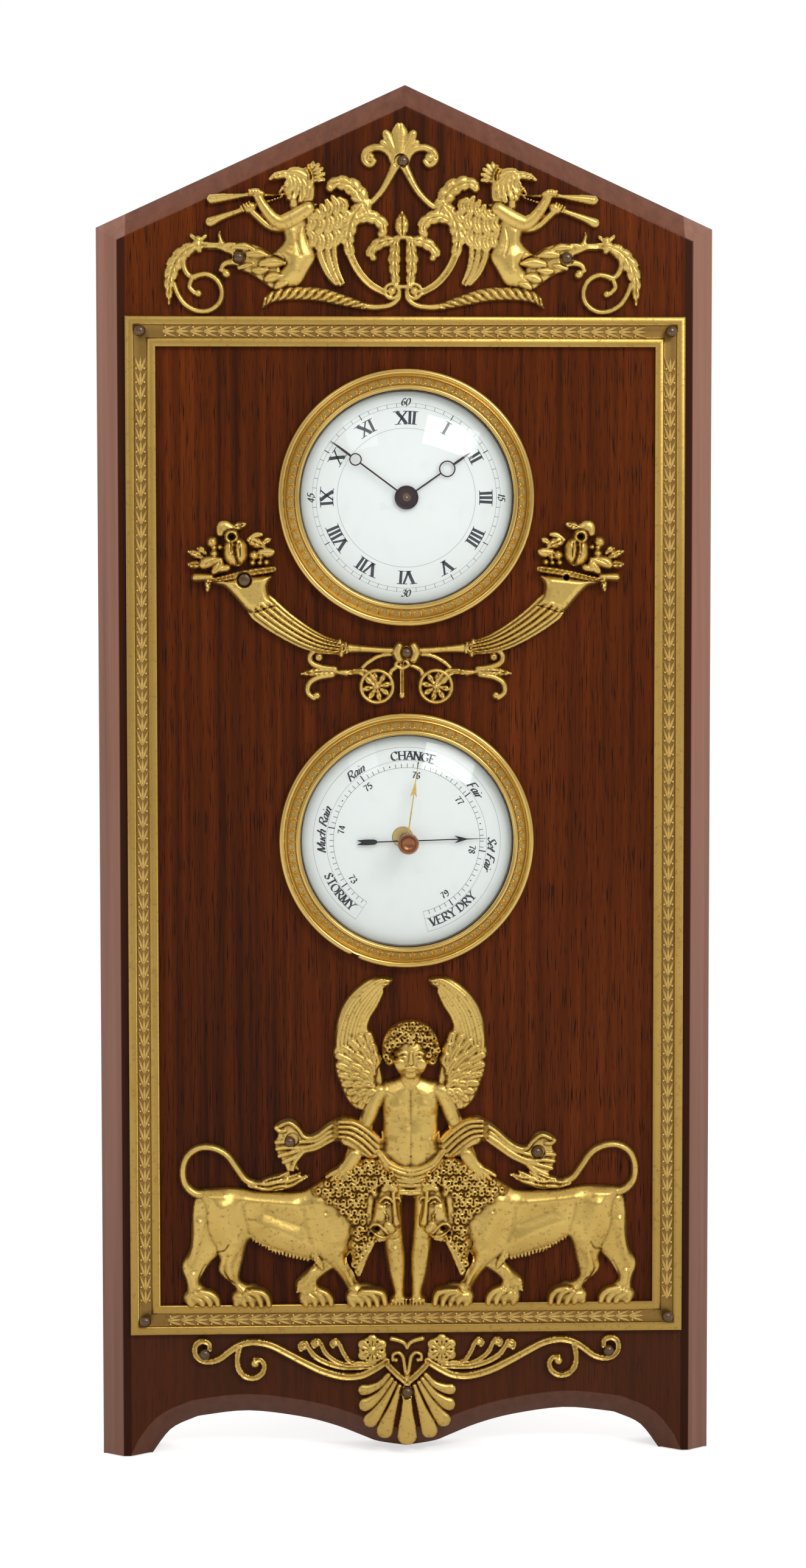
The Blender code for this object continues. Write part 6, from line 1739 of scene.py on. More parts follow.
def curled(outline: Loop, pitch: float, rise: float, lift: float,
           bare: Sequence[tuple[float, float, float]] = ()) -> tuple[list[Stroke], list[tuple]]:
    """Fill an outline with small curls of hair round drilled holes.

    Args:
        outline: The outline.
        pitch: The distance between the curls.
        rise: Their rise.
        lift: How high they lie.
        bare: Places (x, y, radius) that are left bare.

    Returns:
        The curls, and their holes as Relief.pits takes them.
    """
    path = Area(0, outline).curve()
    xs = np.arange(path[:, 0].min(), path[:, 0].max(), pitch)
    ys = np.arange(path[:, 1].min(), path[:, 1].max(), pitch * 0.87)
    window, inside, _ = Area(0, outline).measured(xs, ys)
    (i0, j0) = (part.start for part in window)
    curls, holes = [], []
    for i, j in np.argwhere(inside > 0.3 * pitch):
        turn = 2.4 * (i + i0) + 1.7 * (j + j0)
        x = xs[i + i0] + pitch * (0.5 * ((j + j0) % 2) + 0.16 * math.sin(3 * turn) - 0.25)
        y = ys[j + j0] + pitch * 0.16 * math.cos(5 * turn)
        if any(math.hypot(x - bx, y - by) < radius for bx, by, radius in bare):
            continue
        curls.append(Stroke(Carving.DOME, rise, tuple(
            (x + 0.3 * pitch * math.cos(turn + a), y + 0.3 * pitch * math.sin(turn + a),
             pitch * (0.33 - 0.03 * a)) for a in (0.0, 1.1, 2.2, 3.3, 4.4)), lift))
        holes.append((x, y, 0.2 * pitch, 0.85))
    return curls, holes


def ball(x: float, y: float, radius: float, rise: float, lift: float = 0.0) -> Stroke:
    """Give a round boss."""
    return Stroke(Carving.DOME, rise, ((x, y, radius), (x + 0.01, y, radius)), lift)


def hoop(x: float, y: float, radius: float, half: float, rise: float, lift: float = 0.0,
         carving: Carving = Carving.DOME) -> Stroke:
    """Give a ring of a radius with a half width."""
    line = [(x + radius * math.cos(t), y + radius * math.sin(t), half)
            for t in np.linspace(0, math.tau, 17)]
    return Stroke(carving, rise, tuple(line), lift)


def ring_points(place: Point, radius: float, count: int) -> list[Point]:
    """Give points spaced evenly round a place."""
    return [(place[0] + radius * math.cos(t), place[1] + radius * math.sin(t))
            for t in np.linspace(0, math.tau, count + 1)[:-1]]


def rosette(x: float, y: float, radius: float, petals: int, half: float, rise: float,
            lift: float = 0.0, start: float = 0.0) -> list[Stroke]:
    """Give petals round a small boss."""
    found = [ball(x, y, radius * 0.28, rise * 1.1, lift)]
    for i in range(petals):
        t = start + math.tau * i / petals
        found.append(Stroke(Carving.LEAF, rise, tuple(
            (x + radius * r * math.cos(t), y + radius * r * math.sin(t), half * w)
            for r, w in ((0.3, 0.5), (0.68, 1.0), (0.9, 0.7))), lift))
    return found


@dataclass(frozen=True)
class Group:
    """Forms that flow into each other over a distance.

    A mirrored group shows on both sides of the axis, with the second side moved by slip.
    """

    strokes: Sequence[Stroke | Area]
    blend: float = 0.25
    mirrored: bool = True
    slip: float = 0.0


def blended(a: np.ndarray, b: np.ndarray, width: float) -> np.ndarray:
    """Give the larger of two fields, rounded where they cross."""
    near = np.clip(1 - np.abs(a - b) / width, 0, 1)
    return np.maximum(a, b) + near * near * width / 4


def spread_out(values: np.ndarray, radius: int) -> np.ndarray:
    """Blur a field over a square of a radius in cells."""
    for axis in (0, 1):
        padded = np.pad(values, [(radius + 1, radius) if i == axis else (0, 0) for i in (0, 1)],
                        mode="edge")
        total = np.cumsum(padded, axis=axis)
        size = 2 * radius + 1
        high = np.take(total, range(size, total.shape[axis]), axis=axis)
        low = np.take(total, range(0, total.shape[axis] - size), axis=axis)
        values = (high - low) / size
    return values


OUTSIDE = -9.0


@dataclass
class Relief:
    """A chased gilt mount, raised from strokes on a fine grid."""

    name: str
    nodes: tuple[str, ...]
    axis: float
    reach: float
    low: float
    high: float
    groups: Sequence[Group]
    pits: Sequence[tuple[float, float, float, float]] = ()
    cuts: Sequence[tuple[float, float, Loop]] = ()
    swells: Sequence[tuple[float, Loop]] = ()
    holes: Sequence[tuple[float, float, float]] = ()
    pads: Sequence[Point] = ()
    mirrored_cuts: bool = True
    cell: float = 0.25
    edge_share: float = 0.28
    least_height: float = 0.75
    pad_radius: float = 1.9
    pad_height: float = 1.6

    def grid(self) -> tuple[np.ndarray, np.ndarray]:
        """Give the grid's places along x, even about the axis, and along y."""
        half = int(self.reach / self.cell)
        xs = self.axis + self.cell * np.arange(-half, half + 1)
        return xs, np.arange(self.low, self.high, self.cell)

    def raised(self) -> tuple[np.ndarray, np.ndarray, np.ndarray, np.ndarray]:
        """Raise the strokes.

        Returns:
            The grid's xs and ys, the height of each place, and how far it is inside the edge.
        """
        xs, ys = self.grid()
        height = np.full((len(xs), len(ys)), OUTSIDE)
        inside = np.full(height.shape, OUTSIDE)
        for group in self.groups:
            rise = np.full(height.shape, OUTSIDE)
            reach = np.full(height.shape, OUTSIDE)
            for form in group.strokes:
                window, here, share = form.measured(xs, ys)
                share = self.edge_share + (1 - self.edge_share) * share
                level = form.lift + form.rise * share - 1.5 * np.clip(-here, 0, None)
                rise[window] = blended(rise[window], level, group.blend)
                reach[window] = blended(reach[window], here, min(group.blend, 0.3))
            if group.mirrored:
                shift = round(group.slip / self.cell)
                rise = np.maximum(rise, np.roll(rise[::-1], shift, axis=0))
                reach = np.maximum(reach, np.roll(reach[::-1], shift, axis=0))
            height = np.maximum(height, rise)
            inside = np.maximum(inside, reach)
        swell = np.zeros_like(height)
        for rise, line in self.swells:
            window, _, u, *_ = traced(smooth(line), xs, ys, 4.0)
            swell[window] += rise * np.exp(-1.6 * u * u)
        sink = np.zeros_like(height)
        lines = [(depth, ((x, y, r), (x + 0.01, y, r))) for x, y, r, depth in self.pits]
        lines += [(depth, tuple((x, y, width) for x, y in line))
                  for width, depth, line in self.cuts]
        for depth, line in lines:
            window, _, u, *_ = traced(smooth(line), xs, ys, 2.0)
            sink[window] = np.maximum(sink[window], depth * np.exp(-(1.4 * u) ** 2))
        if self.mirrored_cuts:
            sink = np.maximum(sink, sink[::-1])
            swell = np.maximum(swell, swell[::-1])
        height = np.maximum(height + swell - sink, self.least_height)
        for x, y in self.pads:
            away = np.hypot(xs[:, None] - x, ys[None] - y)
            inside = np.maximum(inside, self.pad_radius - away)
            height = np.minimum(height, self.pad_height + 5.0 * np.clip(away - 1.8, 0, None))
            height = np.where(away < 2.0, np.maximum(height, 1.2), height)
        for x, y, radius in self.holes:
            inside = np.minimum(inside, np.hypot(xs[:, None] - x, ys[None] - y) - radius)
        return xs, ys, height, inside

    def build(self) -> None:
        """Raise the mount and skin it, in place of the part's mount."""
        xs, ys, height, inside = self.raised()
        middle = (inside[1:, 1:] + inside[:-1, 1:] + inside[1:, :-1] + inside[:-1, :-1]) / 4
        cells = middle > 0
        for _ in range(2):
            slash = cells[1:, 1:] & cells[:-1, :-1] & ~cells[1:, :-1] & ~cells[:-1, 1:]
            back = ~cells[1:, 1:] & ~cells[:-1, :-1] & cells[1:, :-1] & cells[:-1, 1:]
            cells[1:, :-1] |= slash
            cells[1:, 1:] |= back
        around = np.zeros(inside.shape, int)
        for i in (0, 1):
            for j in (0, 1):
                around[i:i + cells.shape[0], j:j + cells.shape[1]] += cells
        used, rim = around > 0, (around > 0) & (around < 4)
        slope = np.gradient(inside, self.cell)
        steep = np.maximum(slope[0] ** 2 + slope[1] ** 2, 0.5)
        gx, gy = np.meshgrid(xs, ys, indexing="ij")
        limit = 0.75 * self.cell
        for place, pull in ((gx, slope[0]), (gy, slope[1])):
            place -= np.where(rim, np.clip(inside * pull / steep, -limit, limit), 0)
        level = np.where(inside > 0, height, 0.8)
        hollow = sum(np.clip(spread_out(level, max(1, int(r / self.cell))) - height, 0, None) * k
                     for r, k in ((0.5, 2.2), (1.3, 0.9)))
        number = np.cumsum(used).reshape(used.shape) - 1
        count = int(used.sum())
        spots = np.column_stack([gx[used], gy[used], height[used]])
        floor = np.column_stack([gx[used], gy[used], np.full(count, SEAT)])
        ci, cj = np.nonzero(cells)
        quads = np.column_stack([number[ci, cj], number[ci + 1, cj], number[ci + 1, cj + 1],
                                 number[ci, cj + 1]])
        walls = []
        padded = np.pad(cells, 1)
        for di, dj, a, b in ((0, -1, 0, 1), (1, 0, 1, 2), (0, 1, 2, 3), (-1, 0, 3, 0)):
            bare = ~padded[ci + 1 + di, cj + 1 + dj]
            first, second = quads[bare, a], quads[bare, b]
            walls.append(np.column_stack([second, first, first + count, second + count]))
        faces = np.concatenate([quads, quads[:, ::-1] + count, *walls])
        patina = np.clip(np.concatenate([hollow[used], np.full(count, 0.5)]), 0, 1)
        solid = Solid(np.concatenate([spots, floor]), list(map(tuple, faces.tolist())))
        placed(self.name, solid, GILT, nodes=self.nodes, sharp=70, turn_out=False,
               marks={"patina": patina})


# The mounts

DOME, PAD, BAND, LEAF = Carving.DOME, Carving.PAD, Carving.BAND, Carving.LEAF
TWIST, FLUTE, LOCK, PLUME, SPOON, ACANTHUS = (Carving.TWIST, Carving.FLUTE, Carving.LOCK,
                                              Carving.PLUME, Carving.SPOON, Carving.ACANTHUS)


def pediment() -> Relief:
    """Draw the pediment's mount: scrolls, a palmette and two winged pipers."""
    crown = Group((
        Stroke(SPOON, 2.5, ((-1.8, 358.6, 1.2), (-2.0, 362.4, 1.7), (-2.05, 364.8, 2.0),
            (-2.1, 366.6, 1.1), (-2.1, 367.4, 0.6))),
        Stroke(SPOON, 2.3, ((-2.6, 359.2, 0.8), (-4.2, 362.4, 1.2), (-5.2, 364.6, 1.35),
            (-5.6, 365.2, 0.6))),
        Stroke(SPOON, 2.1, ((-3.0, 358.6, 0.8), (-5.0, 361.4, 1.0), (-6.3, 362.6, 0.9))),
        Stroke(DOME, 2.0, ((-3.2, 357.9, 1.5), (-4.4, 359.8, 1.2), (-6.2, 361.0, 1.15),
            (-8.6, 361.2, 1.15), (-10.8, 360.1, 1.15), (-11.4, 358.2, 1.1), (-10.6, 356.8, 0.95),
            (-9.4, 356.6, 0.9), (-8.5, 357.6, 0.8))),
        ball(-9.8, 358.5, 1.5, 2.3),
        Stroke(DOME, 2.0, ((-2.4, 357.6, 1.5), (-4.2, 353.8, 1.2), (-6.2, 350.1, 1.0),
            (-8.6, 347.2, 0.95), (-11.0, 345.2, 1.0))),
    ), 0.2, slip=-1.8)
    scrolls = Group((
        Stroke(ACANTHUS, 2.5, ((-10.6, 343.6, 1.83), (-12.0, 347.0, 2.56), (-14.0, 350.0, 2.68),
            (-16.8, 351.5, 2.32), (-19.4, 351.6, 1.83), (-20.8, 350.4, 1.46))),
        ball(-20.6, 350.0, 1.15, 2.4),
        Stroke(ACANTHUS, 2.6, ((-11.6, 346.0, 1.46), (-14.0, 343.2, 2.32), (-15.4, 340.0, 2.44),
            (-15.9, 336.4, 2.07), (-15.3, 333.0, 1.59))),
        Stroke(BAND, 2.2, ((-15.8, 336.0, 1.2), (-15.0, 331.9, 1.25), (-12.8, 327.6, 1.2),
            (-9.8, 324.3, 1.15), (-6.6, 322.4, 1.1), (-4.6, 321.6, 1.1))),
        Stroke(ACANTHUS, 2.5, ((-14.0, 341.0, 1.22), (-11.4, 342.4, 1.83), (-8.6, 342.2, 2.07),
            (-6.5, 340.6, 1.83), (-6.2, 338.6, 1.46))),
        ball(-6.7, 337.9, 1.3, 2.4), hoop(-3.9, 322.4, 1.9, 0.7, 2.2), ball(-3.9, 322.4, 1.4, 2.6),
        Stroke(DOME, 2.0, ((-1.7, 322.4, 0.7), (-2.2, 320.2, 0.8), (-4.8, 318.5, 0.9),
            (-8.9, 318.1, 0.95), (-13.0, 318.7, 1.1))),
        Stroke(TWIST, 2.7, ((-11.4, 318.3, 1.0), (-17.5, 320.0, 1.6), (-23.0, 321.4, 1.9),
            (-29.0, 321.8, 1.85), (-34.4, 321.4, 1.75), (-37.4, 320.2, 1.3), (-39.2, 317.9, 0.4))),
        Stroke(ACANTHUS, 2.4, ((-2.6, 336.2, 1.1), (-5.4, 335.9, 1.71), (-8.2, 334.7, 1.83),
            (-9.8, 332.8, 1.46))),
        ball(-8.9, 331.4, 1.15, 2.3),
        Stroke(ACANTHUS, 2.5, ((-2.6, 336.4, 1.22), (-3.2, 331.4, 1.95), (-3.0, 326.8, 1.59),
            (-2.6, 323.8, 1.22))),
        Stroke(DOME, 2.2, ((-56.3, 333.4, 1.0), (-56.5, 336.2, 1.25))),
        Stroke(LEAF, 2.0, ((-56.8, 335.6, 0.8), (-58.4, 337.4, 0.7))),
        Stroke(LEAF, 2.0, ((-56.0, 335.8, 0.8), (-54.6, 337.2, 0.6))),
        Stroke(BAND, 2.0, ((-46.6, 334.2, 1.1), (-51.0, 334.6, 1.0), (-55.4, 334.7, 1.1))),
        Stroke(DOME, 1.9, ((-58.4, 333.2, 0.9), (-60.4, 331.0, 0.95), (-60.4, 328.6, 0.95),
            (-59.2, 326.6, 0.9), (-57.6, 326.0, 0.9))),
        Stroke(DOME, 2.1, ((-58.4, 326.0, 0.95), (-54.6, 326.9, 0.9), (-51.6, 325.4, 0.85),
            (-50.2, 322.4, 0.85), (-50.9, 319.2, 0.85), (-53.6, 317.1, 0.85), (-57.0, 317.0, 0.85),
            (-60.2, 318.7, 0.85), (-62.2, 321.5, 0.85), (-63.2, 324.2, 0.85))),
        Stroke(DOME, 1.9, ((-58.2, 326.0, 0.8), (-59.0, 323.6, 0.8), (-57.6, 321.9, 0.85))),
        ball(-56.6, 321.7, 1.15, 2.2),
        Stroke(ACANTHUS, 2.6, ((-57.0, 334.6, 1.46), (-60.4, 332.9, 2.07), (-63.0, 329.6, 2.32),
            (-64.3, 325.6, 1.83), (-64.6, 322.0, 1.22), (-64.5, 318.8, 0.43))),
    ), 0.18)
    bud = Group((
        Stroke(LEAF, 2.6, ((-1.1, 337.4, 1.0), (-1.1, 340.4, 2.1), (-1.05, 343.8, 0.4))),
        Stroke(DOME, 2.4, ((-2.4, 336.9, 0.8), (0.3, 336.9, 0.8))),
        Stroke(DOME, 2.2, ((-2.3, 323.6, 0.8), (0.4, 323.6, 0.8))),
    ), 0.15, False)
    pinions = Group((
        Area(1.6, ((-24.8, 333.5), (-25.9, 335.0), (-26.5, 337.5), (-26.2, 341.5), (-25.4, 344.0),
            (-23.4, 345.7), (-19.7, 347.9), (-17.8, 347.2), (-16.6, 344.6), (-16.2, 341.2),
            (-16.6, 337.5), (-18.1, 335.0), (-18.8, 332.7), (-18.5, 328.7), (-16.7, 324.5),
            (-17.6, 323.8), (-19.9, 323.9), (-22.2, 326.7), (-24.5, 331.6)), 0.8),
        Stroke(PLUME, 2.1, ((-23.7, 334.4, 0.64), (-23.1, 331.3, 0.98), (-21.4, 327.3, 0.93),
            (-19.1, 324.3, 0.52))),
        Stroke(PLUME, 2.2, ((-21.5, 334.4, 0.64), (-21.1, 331.3, 0.93), (-19.8, 327.3, 0.81),
            (-17.9, 324.1, 0.46))),
        Stroke(PLUME, 2.1, ((-19.4, 335.0, 0.64), (-19.5, 332.1, 0.87), (-18.7, 328.2, 0.75),
            (-17.0, 324.6, 0.41))),
    ), 0.05)
    quills = [Group(spray(PLUME, rise, roots, tips, count, half, bend=0.7, blunt=0.9), 0.05)
        for rise, roots, tips, count, half in (
            (2.4, ((-26.5, 338.4), (-24.8, 338.1), (-21.9, 338.4), (-19.4, 339.2), (-17.4, 340.4)),
                ((-25.1, 334.0), (-23.4, 332.8), (-21.4, 333.1), (-19.4, 334.0),
                (-17.6, 335.8)), 5, 1.6),
            (2.75, ((-26.2, 342.3), (-24.2, 342.9), (-21.4, 343.2), (-18.8, 343.8), (-16.9, 343.8)),
                ((-26.2, 338.1), (-24.5, 337.2), (-22.2, 337.5), (-19.9, 338.1), (-17.9, 339.0),
                (-16.4, 340.4)), 5, 1.6),
            (3.1, ((-24.2, 344.0), (-22.2, 346.3), (-19.9, 347.7), (-18.2, 347.2)), ((-25.9, 341.5),
                (-24.2, 341.0), (-22.2, 341.8), (-20.2, 342.2), (-18.2, 342.6),
                (-16.6, 343.2)), 5, 1.35)
        )]
    figure = Group((
        Area(2.7, ((-23.9, 345.7), (-26.5, 342.9), (-26.8, 338.9), (-26.2, 335.8), (-24.8, 332.7),
            (-24.9, 330.7), (-26.2, 328.4), (-28.1, 325.0), (-29.7, 323.7), (-32.3, 323.3),
            (-35.0, 323.0), (-36.1, 323.9), (-35.7, 326.4), (-33.4, 329.0), (-33.7, 330.4),
            (-36.3, 332.2), (-35.6, 333.1), (-34.0, 334.8), (-33.2, 336.3), (-33.4, 339.2),
            (-31.7, 341.7), (-28.2, 345.1), (-25.9, 346.3)), 3.0),
        Stroke(DOME, 2.6, ((-30.5, 345.7, 1.5), (-30.4, 347.4, 1.45))),
    ), 0.6)
    tail = Group((
        Area(1.9, ((-34.5, 330.4), (-36.3, 332.2), (-39.1, 334.2), (-42.5, 335.4), (-46.2, 335.7),
            (-49.1, 335.7), (-50.1, 337.1), (-50.5, 338.8), (-51.4, 337.7), (-51.3, 335.7),
            (-53.4, 335.4), (-54.5, 335.7), (-54.5, 333.6), (-51.1, 333.4), (-48.8, 332.5),
            (-47.5, 331.9), (-47.1, 330.3), (-45.4, 328.1), (-42.0, 326.7), (-38.6, 324.3),
            (-36.1, 322.7), (-33.7, 323.0)), 1.0),
        Stroke(DOME, 2.1, ((-46.5, 330.1, 0.98), (-48.0, 330.1, 1.04), (-49.7, 329.5, 0.87),
            (-50.4, 328.1, 0.81))),
        Stroke(DOME, 2.4, ((-49.1, 327.2, 1.27), (-48.8, 326.9, 1.22))),
    ), 0.15)
    leaves = [Group([Stroke(SPOON, rise, line)], 0.03) for rise, line in (
        (2.3, ((-46.7, 335.1, 0.41), (-48.3, 334.8, 0.87), (-49.6, 334.6, 0.52))),
        (2.5, ((-41.4, 333.6, 0.52), (-44.0, 334.3, 1.33), (-46.8, 334.2, 0.87))),
        (2.5, ((-42.0, 329.4, 0.52), (-43.7, 329.1, 0.98), (-45.4, 328.6, 0.75))),
        (2.7, ((-37.7, 331.9, 0.52), (-40.3, 332.5, 1.5), (-43.1, 332.2, 0.98))),
        (2.7, ((-37.7, 328.1, 0.52), (-39.8, 327.8, 1.33), (-41.5, 327.8, 0.81))),
        (2.95, ((-33.1, 329.8, 0.58), (-36.3, 330.1, 1.62), (-39.3, 329.7, 1.1))),
        (2.9, ((-34.0, 326.4, 0.52), (-36.3, 326.1, 1.56), (-38.0, 325.4, 0.98))),
        (3.0, ((-32.5, 324.4, 0.46), (-34.3, 324.1, 1.22), (-35.6, 323.3, 0.69)))
    )]
    head = Group((
        Stroke(DOME, 2.9, ((-31.6, 349.4, 1.91), (-31.4, 350.5, 1.91), (-30.8, 351.1, 1.79))),
        Stroke(DOME, 2.6, ((-31.9, 347.5, 0.93), (-31.4, 348.0, 1.27))),
        Stroke(DOME, 1.0, ((-33.5, 350.5, 0.29), (-34.1, 349.4, 0.35), (-34.4, 349.0, 0.26)), 1.7),
        Stroke(DOME, 0.9, ((-33.6, 348.4, 0.26), (-34.0, 348.3, 0.29)), 1.7),
        Stroke(DOME, 0.8, ((-33.7, 347.8, 0.26), (-33.9, 347.8, 0.26)), 1.7),
        Stroke(DOME, 0.5, ((-33.4, 350.5, 0.2), (-32.6, 350.7, 0.23), (-32.1, 350.5, 0.17)), 2.5),
        Stroke(DOME, 0.5, ((-33.2, 350.0, 0.17), (-32.7, 350.0, 0.2)), 2.4),
    ), 0.25)
    far_arm = Group((
        Stroke(DOME, 2.4, ((-32.5, 339.0, 0.69), (-35.7, 339.2, 0.98), (-38.0, 340.3, 1.1),
            (-40.2, 342.3, 1.1), (-41.9, 343.9, 1.04))),
        Stroke(DOME, 1.9, ((-41.9, 345.1, 1.33), (-42.8, 344.5, 1.27)), 0.9),
        *(Stroke(DOME, 0.8, line, 2.0) for line in (((-45.0, 345.2, 0.29), (-44.3, 343.9, 0.29)),
            ((-44.3, 345.7, 0.29), (-43.5, 344.3, 0.29)), ((-43.5, 346.0, 0.29),
            (-42.8, 344.6, 0.29)), ((-42.7, 346.3, 0.29), (-42.1, 345.0, 0.29)))),
    ), 0.25)
    arms = Group((
        Stroke(DOME, 1.9, ((-26.8, 344.6, 1.93), (-29.7, 342.7, 2.2), (-32.2, 341.4, 2.2),
            (-34.2, 340.9, 2.06), (-36.2, 342.0, 1.72), (-37.9, 344.0, 1.53), (-39.4, 346.2, 1.33),
            (-40.2, 347.8, 1.33)), 1.6),
        Stroke(DOME, 1.5, ((-41.9, 348.9, 0.75), (-40.7, 349.0, 0.87), (-39.1, 348.5, 0.69)), 2.2),
        *(Stroke(DOME, 0.6, line, 3.2) for line in (((-42.6, 349.3, 0.32), (-42.3, 348.4, 0.32)),
            ((-41.8, 349.4, 0.32), (-41.6, 348.5, 0.32)), ((-41.0, 349.5, 0.32),
            (-40.8, 348.5, 0.32)), ((-40.2, 349.4, 0.32), (-39.9, 348.5, 0.32)))),
    ), 0.35)
    pipes = Group((
        Stroke(DOME, 1.9, ((-34.4, 348.3, 0.23), (-38.5, 348.2, 0.46), (-42.8, 348.2, 0.52),
            (-47.7, 347.7, 0.98), (-52.8, 347.1, 1.39)), 0.6),
        Stroke(DOME, 1.9, ((-33.9, 347.7, 0.23), (-37.7, 346.5, 0.35), (-41.9, 345.3, 0.75),
            (-45.7, 343.9, 0.81), (-49.7, 342.5, 1.04), (-53.3, 341.0, 1.39)), 0.3),
    ), 0.1)
    hair = spray(LOCK, 1.1, ((-33.0, 353.6), (-30.4, 353.6), (-27.4, 352.9)), ((-32.2, 350.6),
        (-31.4, 347.6), (-29.4, 345.9), (-27.2, 346.6),
        (-26.2, 349.4)), 6, 0.85, 2.2, bend=0.8, blunt=0.9)
    plume = spray(LOCK, 1.6, ((-25.9, 352.2), (-25.9, 353.6), (-26.2, 355.6)), ((-21.9, 352.5),
        (-21.8, 354.5), (-23.1, 356.8), (-25.1, 357.4), (-26.4, 356.7)), 6, 0.75, 1.2, blunt=0.8)
    dress = Group((
        Area(2.6, ((-30.5, 351.6), (-27.7, 352.6), (-25.1, 351.7), (-24.6, 349.1), (-25.1, 346.7),
            (-27.1, 346.0), (-28.9, 345.9), (-29.7, 347.4), (-30.0, 349.7)), 0.9),
        *hair, *plume,
        Stroke(LEAF, 2.0, ((-37.0, 352.5, 0.41), (-35.1, 353.4, 1.04), (-32.5, 353.7, 1.16),
            (-30.5, 352.8, 1.16), (-28.8, 351.4, 0.75)), 1.3),
        Stroke(DOME, 2.2, ((-31.1, 354.5, 1.22), (-29.4, 354.2, 1.68), (-27.4, 353.1, 1.62)), 1.0),
        Stroke(DOME, 0.8, ((-27.4, 355.3, 0.26), (-26.5, 353.8, 0.26), (-26.3, 351.8, 0.26)), 2.9),
        Stroke(DOME, 0.8, ((-26.6, 355.9, 0.23), (-25.7, 354.2, 0.26), (-25.4, 352.4, 0.23)), 2.8),
    ), 0.1)
    return Relief(
        "pediment_relief", ("pediment_mount",), -0.8, 66.5, 314.5, 369.5,
        (crown, scrolls, bud, tail, pinions, *quills, figure, *leaves, head, far_arm, pipes, arms,
         dress),
        pits=((-9.8, 358.5, 0.35, 0.7),),
        cuts=((0.22, 0.3, ((-34.6, 333.0), (-33.2, 331.4), (-33.0, 329.2))),
              (0.5, 0.25, ((-28.9, 339.6), (-29.6, 335.6), (-28.6, 332.0)))),
        swells=((0.7, ((-30.4, 331.6, 3.0), (-30.6, 328.0, 3.0))),
                (0.35, ((-31.6, 338.4, 1.6), (-31.6, 336.4, 1.6))),
                (0.3, ((-31.2, 347.4, 1.2), (-31.0, 347.2, 1.2)))),
        pads=((-1.4, 357.5), (-45.5, 331.4), (43.9, 331.0)))


